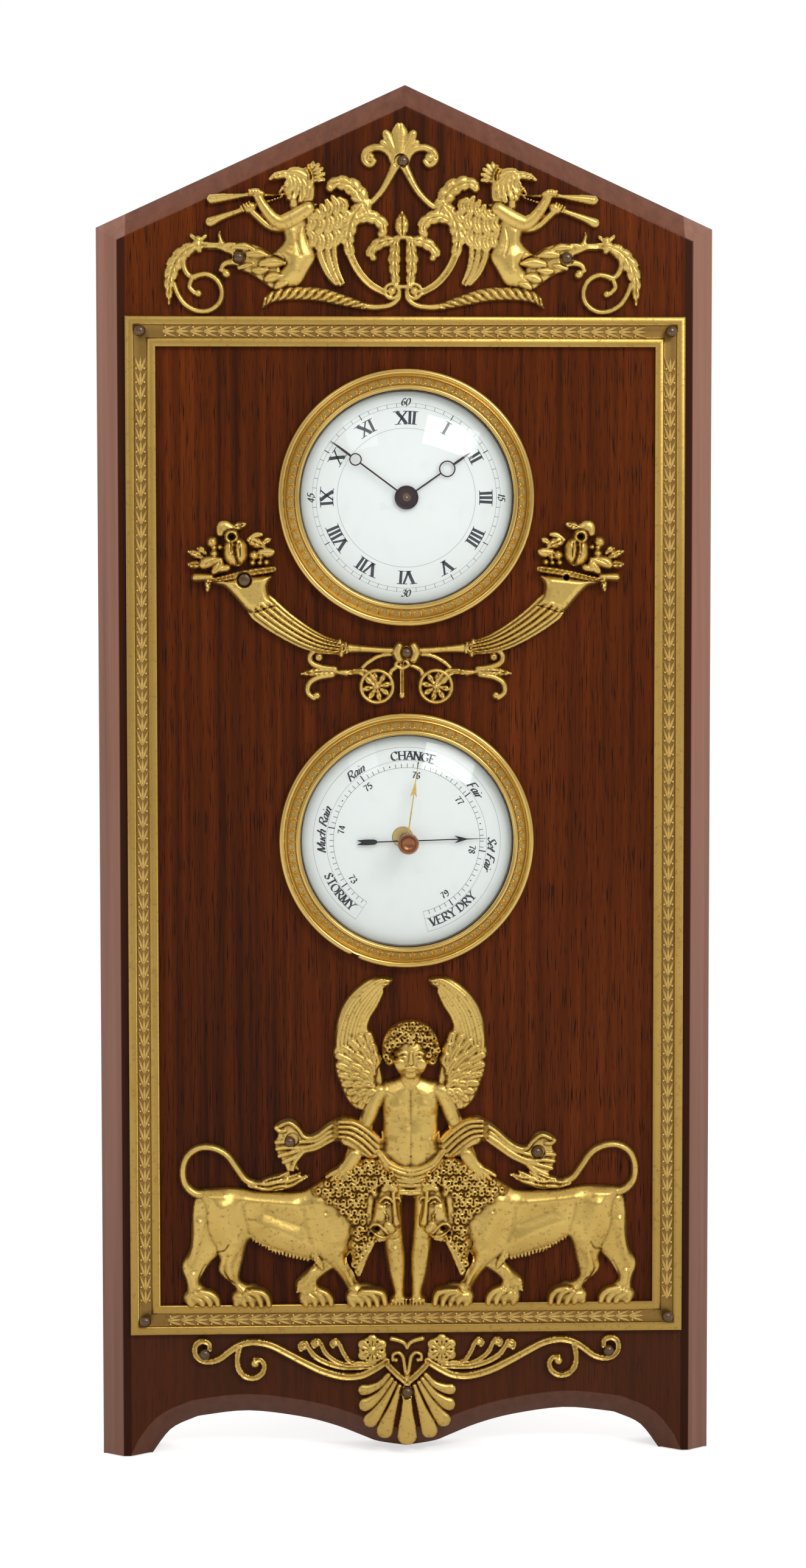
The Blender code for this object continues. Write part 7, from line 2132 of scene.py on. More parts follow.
def cornucopia() -> Relief:
    """Draw the crossed horns of plenty below the clock."""
    horn = Group((
        Stroke(FLUTE, 4.0, ((-39.8, 236.5, 4.1), (-38.6, 235.4, 4.2), (-34.0, 231.8, 3.75),
            (-28.2, 228.2, 3.25), (-23.2, 226.1, 2.6), (-18.0, 225.1, 2.0))),
    ), 0.2)
    funnel = Group((
        Area(3.8, ((-36.7, 244.9), (-37.9, 242.4), (-37.4, 239.5), (-35.9, 236.9), (-39.1, 235.8),
            (-41.7, 235.0), (-43.7, 235.2), (-46.0, 237.8), (-48.6, 240.7), (-50.4, 242.1),
            (-52.9, 242.8), (-52.0, 243.8), (-44.3, 244.7), (-39.7, 245.1)), 2.2),
    ), 0.3)
    trim = Group((
        Stroke(BAND, 3.0, ((-36.3, 246.7, 0.87), (-41.4, 246.0, 0.98), (-46.0, 245.1, 0.98),
            (-50.6, 244.1, 0.75), (-54.3, 243.6, 0.52)), 1.3),
        Stroke(DOME, 4.0, ((-57.8, 244.4, 1.27), (-56.0, 244.5, 1.27), (-53.5, 244.6, 0.98))),
        Stroke(LEAF, 3.6, ((-54.3, 243.0, 1.04), (-54.4, 241.8, 0.87), (-54.5, 240.5, 0.29))),
        Stroke(DOME, 3.4, ((-18.3, 227.1, 0.75), (-17.9, 225.1, 0.8), (-17.9, 223.1, 0.75))),
        Stroke(DOME, 3.0, ((-16.6, 226.5, 0.45), (-16.4, 225.1, 0.5), (-16.4, 223.7, 0.45))),
        Stroke(DOME, 2.4, ((-17.2, 225.1, 1.5), (-10.0, 224.7, 1.0), (-2.0, 224.3, 1.0))),
        Stroke(DOME, 3.4, ((-2.0, 225.6, 1.3), (-2.6, 223.9, 1.5), (-2.0, 222.0, 1.3))),
        Stroke(DOME, 1.8, ((-3.3, 223.4, 0.8), (-7.2, 222.9, 0.75), (-10.8, 220.9, 0.75),
            (-12.6, 218.8, 0.75))),
        Stroke(LEAF, 2.6, ((-29.0, 218.0, 0.3), (-26.4, 218.3, 1.1), (-23.0, 218.6, 1.5),
            (-19.6, 218.6, 1.2))),
        Stroke(DOME, 2.6, ((-18.2, 218.4, 0.9), (-16.6, 218.3, 1.2))),
        Stroke(BAND, 2.5, ((-15.4, 218.4, 0.9), (-12.8, 218.6, 1.1), (-10.6, 217.6, 1.35),
            (-8.8, 215.4, 1.0))),
        Stroke(DOME, 2.4, ((-19.6, 219.4, 0.9), (-23.2, 219.8, 1.0), (-26.0, 221.0, 0.95),
            (-26.5, 223.0, 0.9), (-25.0, 224.2, 0.85), (-23.6, 224.0, 0.85))),
        ball(-24.0, 222.6, 1.25, 2.9),
        Stroke(DOME, 2.4, ((-20.4, 217.6, 0.9), (-24.4, 216.9, 0.95), (-26.8, 215.2, 0.95),
            (-27.0, 212.8, 0.9), (-25.4, 211.3, 0.85))),
        ball(-24.6, 212.0, 1.2, 2.8), hoop(-8.1, 214.5, 4.4, 0.7, 2.8),
        *rosette(-8.1, 214.5, 3.9, 8, 1.0, 2.5, start=0.2),
        Stroke(DOME, 2.2, ((-1.6, 220.2, 0.7), (-3.0, 219.6, 0.8), (-4.2, 218.6, 0.8),
            (-4.4, 217.6, 0.9))),
    ), 0.15)
    bar = Group((
        Stroke(BAND, 2.2, ((-1.2, 212.2, 0.8), (-1.2, 221.2, 0.8))),
        ball(-1.2, 211.9, 1.0, 2.4),
        Stroke(PAD, 1.9, ((0.0, 223.2, 2.6), (0.01, 223.3, 2.6))),
        Stroke(DOME, 2.6, ((-1.2, 219.4, 0.8), (-3.0, 220.4, 0.7), (-2.0, 221.6, 0.6))),
        Stroke(DOME, 2.6, ((-1.2, 219.4, 0.8), (0.7, 220.4, 0.7), (-0.2, 221.6, 0.6))),
    ), 0.15, False)
    fruit = Group((
        Stroke(DOME, 4.6, ((-46.8, 252.2, 3.41), (-46.8, 250.7, 3.47))),
        Stroke(SPOON, 2.8, ((-48.0, 257.3, 1.74), (-50.0, 258.2, 1.97), (-50.8, 256.7, 1.27))),
        Stroke(LEAF, 3.0, ((-47.7, 257.9, 0.69), (-45.7, 258.5, 1.27), (-44.1, 259.0, 0.58))),
        Stroke(SPOON, 2.7, ((-43.1, 255.0, 0.58), (-41.2, 256.0, 0.98), (-39.7, 256.2, 0.64))),
        Stroke(LEAF, 3.2, ((-39.1, 253.0, 0.87), (-41.4, 254.0, 1.68), (-43.4, 254.7, 0.58))),
        Stroke(LEAF, 2.8, ((-39.4, 253.6, 0.69), (-38.2, 254.5, 1.04), (-37.2, 254.9, 0.41))),
        Stroke(SPOON, 3.0, ((-39.9, 251.3, 0.98), (-37.9, 251.2, 1.5), (-36.5, 251.5, 0.75))),
        Stroke(LEAF, 2.8, ((-54.9, 250.9, 0.58), (-56.0, 252.0, 1.04), (-57.1, 252.4, 0.46))),
        Stroke(LEAF, 3.0, ((-55.7, 249.7, 0.69), (-57.7, 250.9, 1.22), (-59.6, 251.5, 0.52))),
        Stroke(LEAF, 3.0, ((-55.7, 248.1, 0.69), (-58.0, 247.9, 1.27), (-59.5, 248.0, 0.69))),
        ball(-41.7, 250.4, 1.45, 3.9), ball(-39.9, 249.9, 0.87, 3.6), ball(-42.1, 248.4, 0.98, 3.6),
        ball(-40.1, 248.4, 0.87, 3.6), ball(-38.3, 248.5, 0.98, 3.6), ball(-53.1, 254.1, 1.68, 3.6),
        ball(-52.6, 252.6, 0.98, 3.9), ball(-51.0, 252.7, 0.87, 3.8), ball(-52.6, 250.9, 1.27, 3.7),
    ), 0.06)
    leaves = Group((
        Stroke(SPOON, 4.2, ((-50.9, 249.3, 0.75), (-54.3, 248.6, 1.74), (-55.7, 247.9, 1.27))),
        Stroke(SPOON, 4.4, ((-50.6, 248.7, 0.58), (-51.4, 247.3, 1.5), (-52.6, 246.1, 0.98))),
        Stroke(SPOON, 4.2, ((-51.4, 246.6, 0.98), (-49.4, 247.0, 1.16), (-48.4, 247.0, 0.41))),
        hoop(-47.8, 255.5, 1.39, 0.72, 4.9),
    ), 0.08)
    seeds = Group((ball(-47.0, 253.2, 0.67, 1.2, 3.6),
                   ball(-46.7, 251.8, 0.69, 1.2, 3.6),
                   ball(-46.5, 250.2, 0.67, 1.2, 3.6)), 0.05)
    return Relief(
        "cornucopia_relief", ("cornucopia_mount",), 0.0, 60.5, 209.0, 260.5,
        (horn, funnel, trim, bar, fruit, leaves, seeds),
        holes=((43.9, 244.4, 0.85),),
        pits=((-47.8, 255.5, 0.64, 1.6), (-24.0, 222.6, 0.35, 0.5), (-24.6, 212.0, 0.35, 0.5)),
        cuts=(
            (0.75, 1.5, ((-46.9, 253.9), (-47.0, 252.2), (-46.7, 250.2), (-46.1, 248.2))),
            (0.3, 0.6, ((-48.0, 253.9), (-47.9, 251.3), (-47.1, 249.0), (-46.2, 247.7))),
            (0.3, 0.6, ((-45.8, 253.9), (-45.5, 251.3), (-45.7, 249.3), (-46.1, 247.7))),
            (0.25, 0.6, ((-43.7, 235.2), (-41.7, 234.9), (-39.1, 235.8), (-35.9, 236.8))),
            (0.25, 0.4, ((-52.3, 249.3), (-54.0, 248.7), (-55.3, 247.9))),
            (0.25, 0.4, ((-51.0, 248.4), (-51.7, 247.0), (-52.6, 246.1)))
        ),
        pads=((-44.4, 243.75),)
    )


LION_AXIS = 0.75


def lion(side: int) -> Relief:
    """Draw one lion.

    Args:
        side: -1 for the lion on the left, 1 for the one on the right.

    Returns:
        The lion's relief.
    """
    far = Group((
        Area(2.6, ((-58.6, 73.0), (-59.7, 67.1), (-59.9, 61.4), (-60.6, 57.9), (-62.3, 55.0),
            (-62.5, 52.7), (-61.5, 50.0), (-61.1, 47.1), (-61.6, 44.4), (-60.8, 43.0),
            (-56.4, 42.8), (-52.9, 42.9), (-52.4, 44.4), (-53.2, 46.8), (-55.4, 47.6),
            (-57.0, 48.8), (-57.1, 50.7), (-54.7, 54.3), (-51.6, 58.4), (-51.0, 66.0),
            (-54.0, 73.0)), 2.0),
        Area(2.9, ((-23.0, 57.0), (-25.6, 54.6), (-28.3, 52.2), (-30.9, 49.4), (-31.0, 47.1),
            (-29.8, 45.7), (-30.0, 43.8), (-29.0, 42.9), (-25.0, 42.8), (-21.5, 42.9),
            (-20.7, 44.3), (-21.5, 46.5), (-24.0, 47.6), (-24.7, 49.3), (-22.6, 51.4),
            (-20.0, 53.6)), 1.9),
    ), 0.6)
    tail = Group((
        Stroke(DOME, 2.6, ((-55.6, 73.8, 1.4), (-58.8, 74.3, 1.3), (-61.4, 76.9, 1.15),
            (-62.0, 81.0, 1.1), (-60.6, 84.8, 1.1), (-57.4, 86.9, 1.1), (-53.4, 86.8, 1.1),
            (-49.8, 84.8, 1.1), (-47.2, 81.2, 1.1), (-44.8, 78.0, 1.1), (-42.0, 76.6, 1.2))),
        Stroke(LOCK, 3.0, ((-43.4, 76.6, 1.0), (-39.8, 76.2, 1.7), (-35.6, 76.6, 1.9),
            (-31.6, 77.4, 1.6), (-27.4, 79.0, 0.35))),
        Stroke(LOCK, 2.8, ((-39.4, 77.2, 1.2), (-35.6, 78.4, 1.2), (-33.0, 79.6, 0.7))),
        Stroke(LOCK, 2.8, ((-33.6, 77.6, 1.2), (-30.8, 78.8, 0.9), (-29.6, 79.8, 0.3))),
    ), 0.2)
    body = Group((
        Area(3.9, ((-57.0, 75.2), (-52.6, 75.7), (-46.9, 75.7), (-42.6, 75.0), (-36.9, 74.6),
            (-31.9, 74.4), (-28.3, 74.9), (-22.0, 77.6), (-14.0, 74.0), (-13.4, 64.0),
            (-15.0, 59.0), (-16.8, 55.7), (-14.9, 52.1), (-13.7, 49.1), (-10.4, 48.6), (-7.6, 47.1),
            (-5.8, 45.0), (-5.9, 43.2), (-11.1, 42.8), (-16.1, 42.9), (-17.0, 44.3), (-16.5, 46.6),
            (-18.3, 50.0), (-21.1, 53.2), (-25.1, 55.4), (-28.3, 55.7), (-33.3, 57.1),
            (-37.6, 58.6), (-41.1, 60.0), (-43.4, 61.3), (-44.6, 59.3), (-45.4, 55.7),
            (-46.1, 52.9), (-46.4, 50.2), (-44.7, 48.9), (-41.9, 48.6), (-39.0, 46.8),
            (-37.8, 44.3), (-38.6, 42.9), (-43.0, 42.8), (-47.6, 42.9), (-48.3, 44.3),
            (-47.5, 46.6), (-48.5, 48.7), (-51.1, 50.7), (-52.5, 52.9), (-52.0, 55.7),
            (-53.3, 58.6), (-55.2, 62.1), (-56.1, 65.7), (-56.3, 70.0), (-57.4, 73.0)), 5.2),
    ), 1.2)
    toes = Group(tuple(Stroke(DOME, rise, line) for rise, line in (
        (3.7, ((-46.6, 45.0, 2.3), (-40.8, 45.1, 2.5))),
        (4.0, ((-15.0, 45.0, 2.3), (-8.4, 45.1, 2.5))),
        (2.7, ((-60.0, 45.0, 2.2), (-55.4, 45.0, 2.3))),
        (3.0, ((-28.2, 45.0, 2.1), (-23.6, 45.0, 2.2))),
        (4.3, ((-42.8, 47.12, 1.16), (-40.2, 46.52, 1.25), (-38.8, 45.0, 1.25),
            (-38.4, 43.2, 1.03))),
        (4.4, ((-44.0, 46.9, 1.16), (-41.9, 46.07, 1.25), (-40.9, 44.6, 1.25),
            (-40.5, 43.1, 1.03))),
        (4.2, ((-44.9, 46.3, 1.03), (-43.6, 45.0, 1.25), (-43.0, 43.7, 1.25), (-42.8, 43.1, 1.03))),
        (3.8, ((-45.6, 45.5, 1.03), (-45.3, 44.0, 1.25), (-45.0, 43.2, 1.03))),
        (3.4, ((-47.0, 45.7, 1.16), (-47.4, 44.2, 1.16), (-47.3, 43.3, 1.03))),
        (3.1, ((-57.5, 46.84, 1.16), (-54.6, 46.13, 1.21), (-53.0, 44.7, 1.21),
            (-52.5, 43.3, 0.98))),
        (3.2, ((-58.8, 46.35, 1.03), (-56.2, 45.5, 1.21), (-54.9, 44.2, 1.21),
            (-54.6, 43.2, 0.98))),
        (3.1, ((-59.8, 45.8, 1.03), (-57.9, 44.7, 1.16), (-57.0, 43.8, 1.16), (-56.7, 43.2, 0.98))),
        (2.9, ((-60.4, 45.6, 1.16), (-60.4, 44.3, 1.25), (-59.7, 43.3, 1.16))),
        (3.4, ((-24.6, 46.95, 1.16), (-22.5, 45.96, 1.21), (-21.3, 44.3, 1.21),
            (-21.1, 43.1, 0.98))),
        (3.5, ((-25.7, 46.46, 1.03), (-24.2, 45.5, 1.21), (-23.5, 44.2, 1.21),
            (-23.3, 43.1, 0.98))),
        (3.3, ((-27.2, 45.7, 1.03), (-26.1, 44.7, 1.16), (-25.6, 43.7, 1.16), (-25.5, 43.0, 0.98))),
        (3.0, ((-28.4, 45.5, 1.16), (-28.5, 44.3, 1.16), (-28.1, 43.1, 1.03))),
        (4.6, ((-12.2, 46.95, 1.03), (-9.0, 46.68, 1.25), (-6.9, 45.8, 1.25), (-6.2, 43.2, 1.03))),
        (4.7, ((-12.6, 46.46, 1.03), (-10.1, 46.07, 1.25), (-8.7, 44.5, 1.25), (-8.3, 42.9, 1.03))),
        (4.5, ((-13.2, 46.13, 1.03), (-11.6, 45.3, 1.25), (-10.7, 43.9, 1.25),
            (-10.5, 42.9, 1.03))),
        (4.1, ((-14.1, 45.4, 1.03), (-13.4, 44.4, 1.16), (-12.7, 43.6, 1.16), (-12.6, 42.9, 0.98))),
        (3.7, ((-15.4, 45.4, 1.16), (-15.6, 44.0, 1.25), (-14.9, 42.9, 1.16)))
    )), 0.35)
    fringe = Group((
        *spray(LOCK, 1.5, ((-42.5, 62.5), (-36.8, 59.1), (-31.8, 57.7), (-27.6, 56.7)),
            ((-42.7, 60.7), (-37.3, 57.5), (-32.2, 55.9), (-27.5, 54.9)), 17, 0.5, 1.2, blunt=0.5),
        *spray(LOCK, 1.5, ((-25.7, 58.1), (-24.6, 56.0)), ((-26.3, 55.5),
            (-23.4, 52.7)), 4, 0.7, 2.4, blunt=0.4),
        *spray(LOCK, 1.2, ((-28.0, 50.0), (-28.9, 47.9)), ((-30.5, 49.2),
            (-30.8, 46.4)), 4, 0.6, 1.8, blunt=0.6),
    ), 0.1)
    mane_outline = ((-26.2, 75.6), (-25.0, 76.8), (-21.9, 78.6), (-18.3, 80.4), (-15.4, 82.4),
        (-11.9, 83.9), (-8.3, 83.5), (-5.0, 81.2), (-3.0, 78.6), (-2.6, 76.0), (-4.6, 75.6),
        (-8.4, 76.4), (-10.6, 74.0), (-11.0, 69.0), (-11.6, 64.6), (-9.4, 61.4), (-11.1, 57.9),
        (-12.4, 54.3), (-13.9, 51.2), (-14.9, 54.3), (-15.8, 58.6), (-15.3, 61.8), (-14.6, 64.3),
        (-16.0, 66.4), (-18.4, 68.4), (-21.6, 71.0), (-24.2, 73.4))
    curls, holes = curled(mane_outline, 1.75, 1.35, 4.2)
    mane = Group((Area(4.5, mane_outline, 1.3), *curls, Stroke(DOME, 4.6, ((-9.4, 76.6, 2.0),
        (-10.4, 72.0, 1.8), (-10.8, 66.0, 1.8), (-10.4, 62.6, 1.4)))), 0.16)
    face = Group((
        Area(4.9, ((-7.3, 76.7), (-4.8, 77.6), (-2.7, 76.5), (-2.0, 73.6), (-1.9, 70.4),
            (-1.7, 67.1), (-1.8, 65.0), (-3.4, 63.4), (-5.3, 62.1), (-7.3, 61.0), (-9.4, 60.8),
            (-10.6, 62.1), (-10.0, 64.3), (-10.7, 66.1), (-10.1, 68.2), (-9.5, 71.0),
            (-8.8, 73.7)), 1.6),
        Stroke(DOME, 1.1, ((-6.5, 75.6, 0.86), (-4.8, 76.1, 1.07), (-3.2, 75.4, 0.75)), 4.5),
        Stroke(DOME, 1.5, ((-3.9, 74.5, 0.59), (-3.6, 71.2, 0.54), (-3.3, 67.9, 0.7),
            (-2.9, 66.1, 0.91)), 4.6),
        Stroke(DOME, 1.0, ((-7.3, 69.9, 1.39), (-7.5, 67.9, 1.39)), 4.4),
        Stroke(DOME, 1.3, ((-5.3, 65.4, 1.29), (-4.6, 64.5, 1.29)), 4.5),
        Stroke(DOME, 0.9, ((-7.8, 61.6, 0.8), (-6.5, 61.9, 0.8)), 4.4),
    ), 0.45)
    details = Group((
        Stroke(DOME, 1.0, ((-7.7, 72.2, 0.38), (-6.4, 73.4, 0.48), (-4.9, 73.1, 0.43),
            (-4.2, 72.2, 0.32)), 4.9),
        Stroke(DOME, 0.8, ((-3.2, 73.3, 0.32), (-2.3, 73.1, 0.38), (-1.9, 72.3, 0.27)), 4.9),
        Stroke(DOME, 0.8, ((-6.8, 71.5, 0.21), (-5.8, 72.1, 0.32), (-4.7, 71.4, 0.21)), 4.8),
        Stroke(DOME, 0.7, ((-6.6, 70.9, 0.16), (-5.6, 70.6, 0.21), (-4.8, 71.0, 0.16)), 4.7),
        Stroke(DOME, 1.2, ((-10.4, 65.0, 0.38), (-9.4, 65.9, 0.43), (-7.9, 65.7, 0.43),
            (-6.7, 64.6, 0.43), (-5.5, 63.4, 0.38)), 4.7),
        Stroke(DOME, 1.1, ((-10.2, 64.4, 0.32), (-9.0, 63.2, 0.38), (-7.3, 62.3, 0.43),
            (-5.5, 62.4, 0.32)), 4.6),
        Stroke(DOME, 1.3, ((-8.6, 76.9, 0.64), (-9.4, 75.6, 0.75), (-9.0, 74.2, 0.64)), 4.8),
        Stroke(DOME, 0.8, ((-6.3, 69.2, 0.21), (-5.5, 68.0, 0.27), (-5.7, 66.8, 0.21)), 4.9),
        Stroke(LOCK, 1.3, ((-10.0, 60.6, 0.86), (-11.6, 57.9, 1.18), (-12.9, 54.6, 1.07),
            (-13.5, 52.1, 0.64)), 4.8),
    ), 0.12)
    pits = [(-5.8, 71.4, 0.27, 0.8), (-2.5, 65.5, 0.27, 0.8), (-3.4, 64.9, 0.21, 0.6),
        (-8.4, 64.5, 0.75, 2.4), (-10.0, 63.0, 0.59, 2.0), (-9.2, 75.5, 0.38, 1.0),
        (-22.5, 69.3, 0.9, 0.4), *holes]
    swells = [
        (1.0, ((-51.4, 70.4, 3.4), (-50.2, 65.6, 4.0), (-48.4, 61.0, 2.8))),
        (0.8, ((-48.2, 58.0, 1.7), (-49.8, 54.0, 1.2), (-48.8, 50.6, 1.0))),
        (1.1, ((-24.2, 71.6, 3.4), (-22.2, 67.0, 4.2), (-20.0, 61.6, 3.0))),
        (0.8, ((-18.8, 57.4, 1.9), (-16.6, 52.4, 1.3), (-15.2, 49.0, 1.0))),
        (0.5, ((-45.0, 73.0, 2.0), (-38.0, 72.0, 2.2), (-32.0, 71.6, 2.2))),
        (0.5, ((-40.0, 65.6, 2.4), (-34.0, 63.2, 2.8), (-30.0, 61.0, 2.4))),
        (-0.45, ((-38.6, 69.4, 2.0), (-33.4, 67.4, 2.4), (-29.6, 65.8, 1.8))),
        (0.6, ((-57.6, 66.0, 1.6), (-58.8, 60.0, 1.3), (-60.2, 54.6, 1.0))),
        (0.6, ((-59.4, 51.6, 0.9), (-59.0, 48.2, 0.9))),
        (0.6, ((-26.6, 52.6, 1.4), (-28.4, 48.6, 1.1))),
        (0.4, ((-54.6, 73.6, 1.4), (-50.6, 74.0, 1.4))),
        (-0.3, ((-49.6, 57.0, 0.9), (-50.6, 53.6, 0.8))),
        (-0.3, ((-15.4, 55.0, 0.6), (-14.6, 51.6, 0.6)))]
    cuts = [
        (1.2, 0.3, ((-45.4, 70.6), (-44.6, 67.0), (-43.8, 63.6))),
        (1.3, 0.3, ((-28.6, 69.6), (-27.8, 65.0), (-26.6, 61.0))),
        (0.3, 0.4, ((-52.6, 57.8), (-50.6, 58.6), (-49.4, 60.4))),
        (0.3, 0.35, ((-56.0, 54.4), (-57.4, 51.2), (-57.4, 48.8))),
        (0.3, 0.3, ((-51.0, 52.8), (-49.6, 50.4), (-47.8, 49.0)))]
    groups = [replace(group, mirrored=False)
              for group in (far, tail, body, toes, fringe, mane, face, details)]
    if side > 0:
        groups = [replace(group, strokes=[form.flipped(LION_AXIS) for form in group.strokes])
                  for group in groups]
        pits = [(2 * LION_AXIS - x, y, r, d) for x, y, r, d in pits]
        cuts = [(w, d, mirrored(line, LION_AXIS)) for w, d, line in cuts]
        swells = [(rise, mirrored(line, LION_AXIS)) for rise, line in swells]
    return Relief(
        "lion_relief_left" if side < 0 else "lion_relief_right", ("lion_mount",),
        LION_AXIS + side * 31.5, 33.0, 42.4, 90.0, groups, pits=pits, cuts=cuts, swells=swells,
        mirrored_cuts=False)


def winged_child() -> Relief:
    """Draw the winged child between the lions, with its scarf."""
    wing = Group((
        Area(2.7, ((-4.0, 132.8), (-5.7, 131.2), (-7.3, 131.1), (-8.6, 129.9), (-9.8, 127.6),
            (-10.5, 124.8), (-10.7, 121.6), (-10.1, 118.2), (-9.0, 114.9), (-7.9, 112.0),
            (-7.1, 109.0), (-6.6, 104.6), (-8.6, 101.8), (-11.0, 99.6), (-13.2, 97.1),
            (-15.7, 98.8), (-17.4, 101.6), (-18.6, 104.9), (-19.8, 108.2), (-19.4, 110.8),
            (-20.5, 112.9), (-19.9, 116.0), (-19.7, 120.4), (-18.5, 124.9), (-16.3, 128.8),
            (-13.0, 132.1), (-9.8, 134.0), (-6.4, 134.4), (-4.0, 133.8)), 0.9),
    ), 0.1)
    quills = Group(tuple(
        Stroke(PLUME, rise, ((x, 110.0, 0.9), (x - 0.9, 116.0, 1.3), (x + 0.4, 122.6, 1.35),
                             (x + 3.4 - 0.2 * k, 128.2 - 0.5 * k, 1.3),
                             (-8.4 + 0.4 * k, 132.9 - 0.85 * k, 0.95),
                             (-5.0 - 0.9 * k, 133.2 - 0.95 * k, 0.5)))
        for k, (x, rise) in enumerate(((-17.6, 3.3), (-15.6, 3.1), (-13.7, 2.95), (-11.9, 2.8)))),
        0.08)
    rows = [Group(spray(PLUME, rise, roots, tips, count, half, bend=-0.3, blunt=0.85), 0.05)
        for rise, roots, tips, count, half in (
            (3.5, ((-10.4, 112.6), (-12.4, 106.0), (-10.6, 100.6)), ((-10.6, 119.4), (-14.4, 118.4),
                (-17.6, 116.2), (-20.2, 112.8), (-19.6, 108.4), (-18.4, 104.6), (-16.2, 100.4),
                (-13.6, 97.6)), 11, 1.5),
            (4.0, ((-9.6, 111.6), (-11.2, 106.0), (-9.8, 101.4)), ((-9.6, 116.6), (-13.0, 115.6),
                (-15.6, 112.8), (-16.4, 109.0), (-15.8, 105.0), (-14.0, 101.2),
                (-12.2, 99.2)), 8, 1.55),
            (4.4, ((-8.8, 109.6), (-9.8, 105.6), (-8.8, 102.4)), ((-8.8, 113.8), (-11.4, 112.8),
                (-13.0, 109.6), (-13.0, 105.6), (-11.8, 102.0)), 5, 1.55)
        )]
    scarf_outline = ((-7.6, 89.6), (-10.3, 92.5), (-12.8, 94.4), (-15.9, 95.3), (-19.2, 95.0),
        (-22.0, 93.6), (-24.8, 91.4), (-27.0, 90.5), (-28.7, 91.1), (-29.8, 93.0), (-30.9, 94.4),
        (-32.7, 95.0), (-35.0, 94.4), (-36.8, 92.6), (-35.8, 90.6), (-36.6, 88.0), (-35.9, 85.2),
        (-34.2, 82.4), (-33.1, 79.9), (-31.2, 80.8), (-29.8, 80.2), (-30.1, 83.0), (-28.1, 84.8),
        (-25.3, 85.7), (-22.6, 87.1), (-19.8, 88.5), (-17.0, 88.6), (-14.8, 87.4), (-11.4, 84.9),
        (-7.0, 83.0))
    folds = [Stroke(DOME, rise, tuple((x, y, 0.62) for x, y in line), 1.5) for rise, line in (
        (1.3, ((-9.0, 90.6), (-12.6, 93.4), (-17.0, 94.2), (-21.2, 92.8), (-25.4, 89.9),
            (-28.4, 89.9), (-30.2, 92.2), (-32.6, 93.9), (-35.2, 93.0))),
        (1.0, ((-9.6, 89.2), (-13.2, 92.1), (-17.2, 92.8), (-21.4, 91.2), (-25.2, 88.9),
            (-29.0, 88.6))),
        (1.2, ((-10.0, 87.8), (-13.6, 90.8), (-17.4, 91.5), (-21.4, 89.9), (-25.0, 87.8),
            (-28.8, 86.9), (-33.0, 87.0), (-36.0, 86.6))),
        (0.9, ((-10.8, 86.6), (-14.2, 89.5), (-17.8, 90.2), (-21.4, 88.6), (-25.2, 86.6),
            (-28.6, 85.8), (-31.6, 84.0), (-34.2, 82.8))),
        (0.9, ((-12.0, 86.0), (-15.0, 88.5), (-18.4, 89.2))),
        (1.0, ((-29.8, 88.4), (-33.2, 88.6), (-36.2, 88.4))),
        (1.0, ((-29.0, 86.4), (-32.6, 85.4), (-35.4, 84.6))),
        (1.0, ((-28.8, 85.6), (-30.8, 83.2), (-31.8, 80.8))),
        (1.1, ((-33.8, 91.6), (-35.4, 91.6), (-36.2, 92.4)))
    )]
    scarf = [
        Group((Area(1.9, scarf_outline, 0.8), *folds), 0.3, False),
        Group((Area(1.9, far_end(scarf_outline), 0.8), *(
            replace(fold, line=far_end(fold.line)) for fold in folds
        )), 0.3, False)]
    body = Group((
        Area(4.2, ((2.4, 106.3), (-1.9, 106.3), (-3.9, 105.6), (-6.5, 105.1), (-8.4, 104.1),
            (-7.5, 100.9), (-7.0, 97.6), (-6.8, 94.3), (-7.0, 91.1), (-7.2, 87.8), (-8.0, 85.4),
            (-5.9, 82.4), (-2.9, 79.6), (2.5, 78.5)), 5.4),
        Stroke(DOME, 4.3, ((-7.6, 102.6, 2.5), (-9.2, 99.2, 2.45), (-10.6, 95.5, 2.3),
            (-12.0, 92.2, 2.05), (-13.5, 88.9, 1.93), (-15.3, 85.4, 1.61), (-16.6, 82.4, 1.29),
            (-17.4, 80.7, 1.29))),
    ), 0.9)
    legs = Group((
        Area(4.0, ((2.5, 79.6), (-5.1, 81.3), (-5.4, 75.8), (-6.1, 70.4), (-6.5, 64.9),
            (-6.6, 61.1), (-6.4, 57.9), (-5.7, 54.0), (-4.9, 50.2), (-4.0, 46.9), (-4.0, 45.4),
            (-5.0, 44.3), (-5.0, 42.8), (-2.4, 42.5), (0.0, 42.5), (0.1, 44.1), (-0.6, 45.5),
            (-0.6, 48.5), (-0.4, 51.8), (-0.3, 56.2), (-0.8, 60.5), (-1.1, 66.0), (-1.2, 70.4),
            (-0.9, 74.2), (2.5, 74.4)), 2.6),
        *(Stroke(DOME, 3.9, line) for line in (((-4.1, 44.3, 0.48), (-4.4, 43.1, 0.48)),
            ((-3.0, 44.6, 0.54), (-3.2, 43.0, 0.54)), ((-2.0, 44.7, 0.54), (-2.1, 42.9, 0.54)),
            ((-1.1, 44.6, 0.48), (-1.1, 42.9, 0.48)), ((-0.3, 44.4, 0.43), (-0.3, 43.0, 0.43)))),
    ), 0.35, slip=-1.5)
    head = Group((
        Stroke(DOME, 5.0, ((1.0, 109.4, 3.5), (1.0, 111.2, 4.7), (1.0, 113.4, 4.9))),
        Stroke(DOME, 4.0, ((1.0, 107.4, 2.6), (1.0, 104.8, 3.6))),
    ), 0.6)
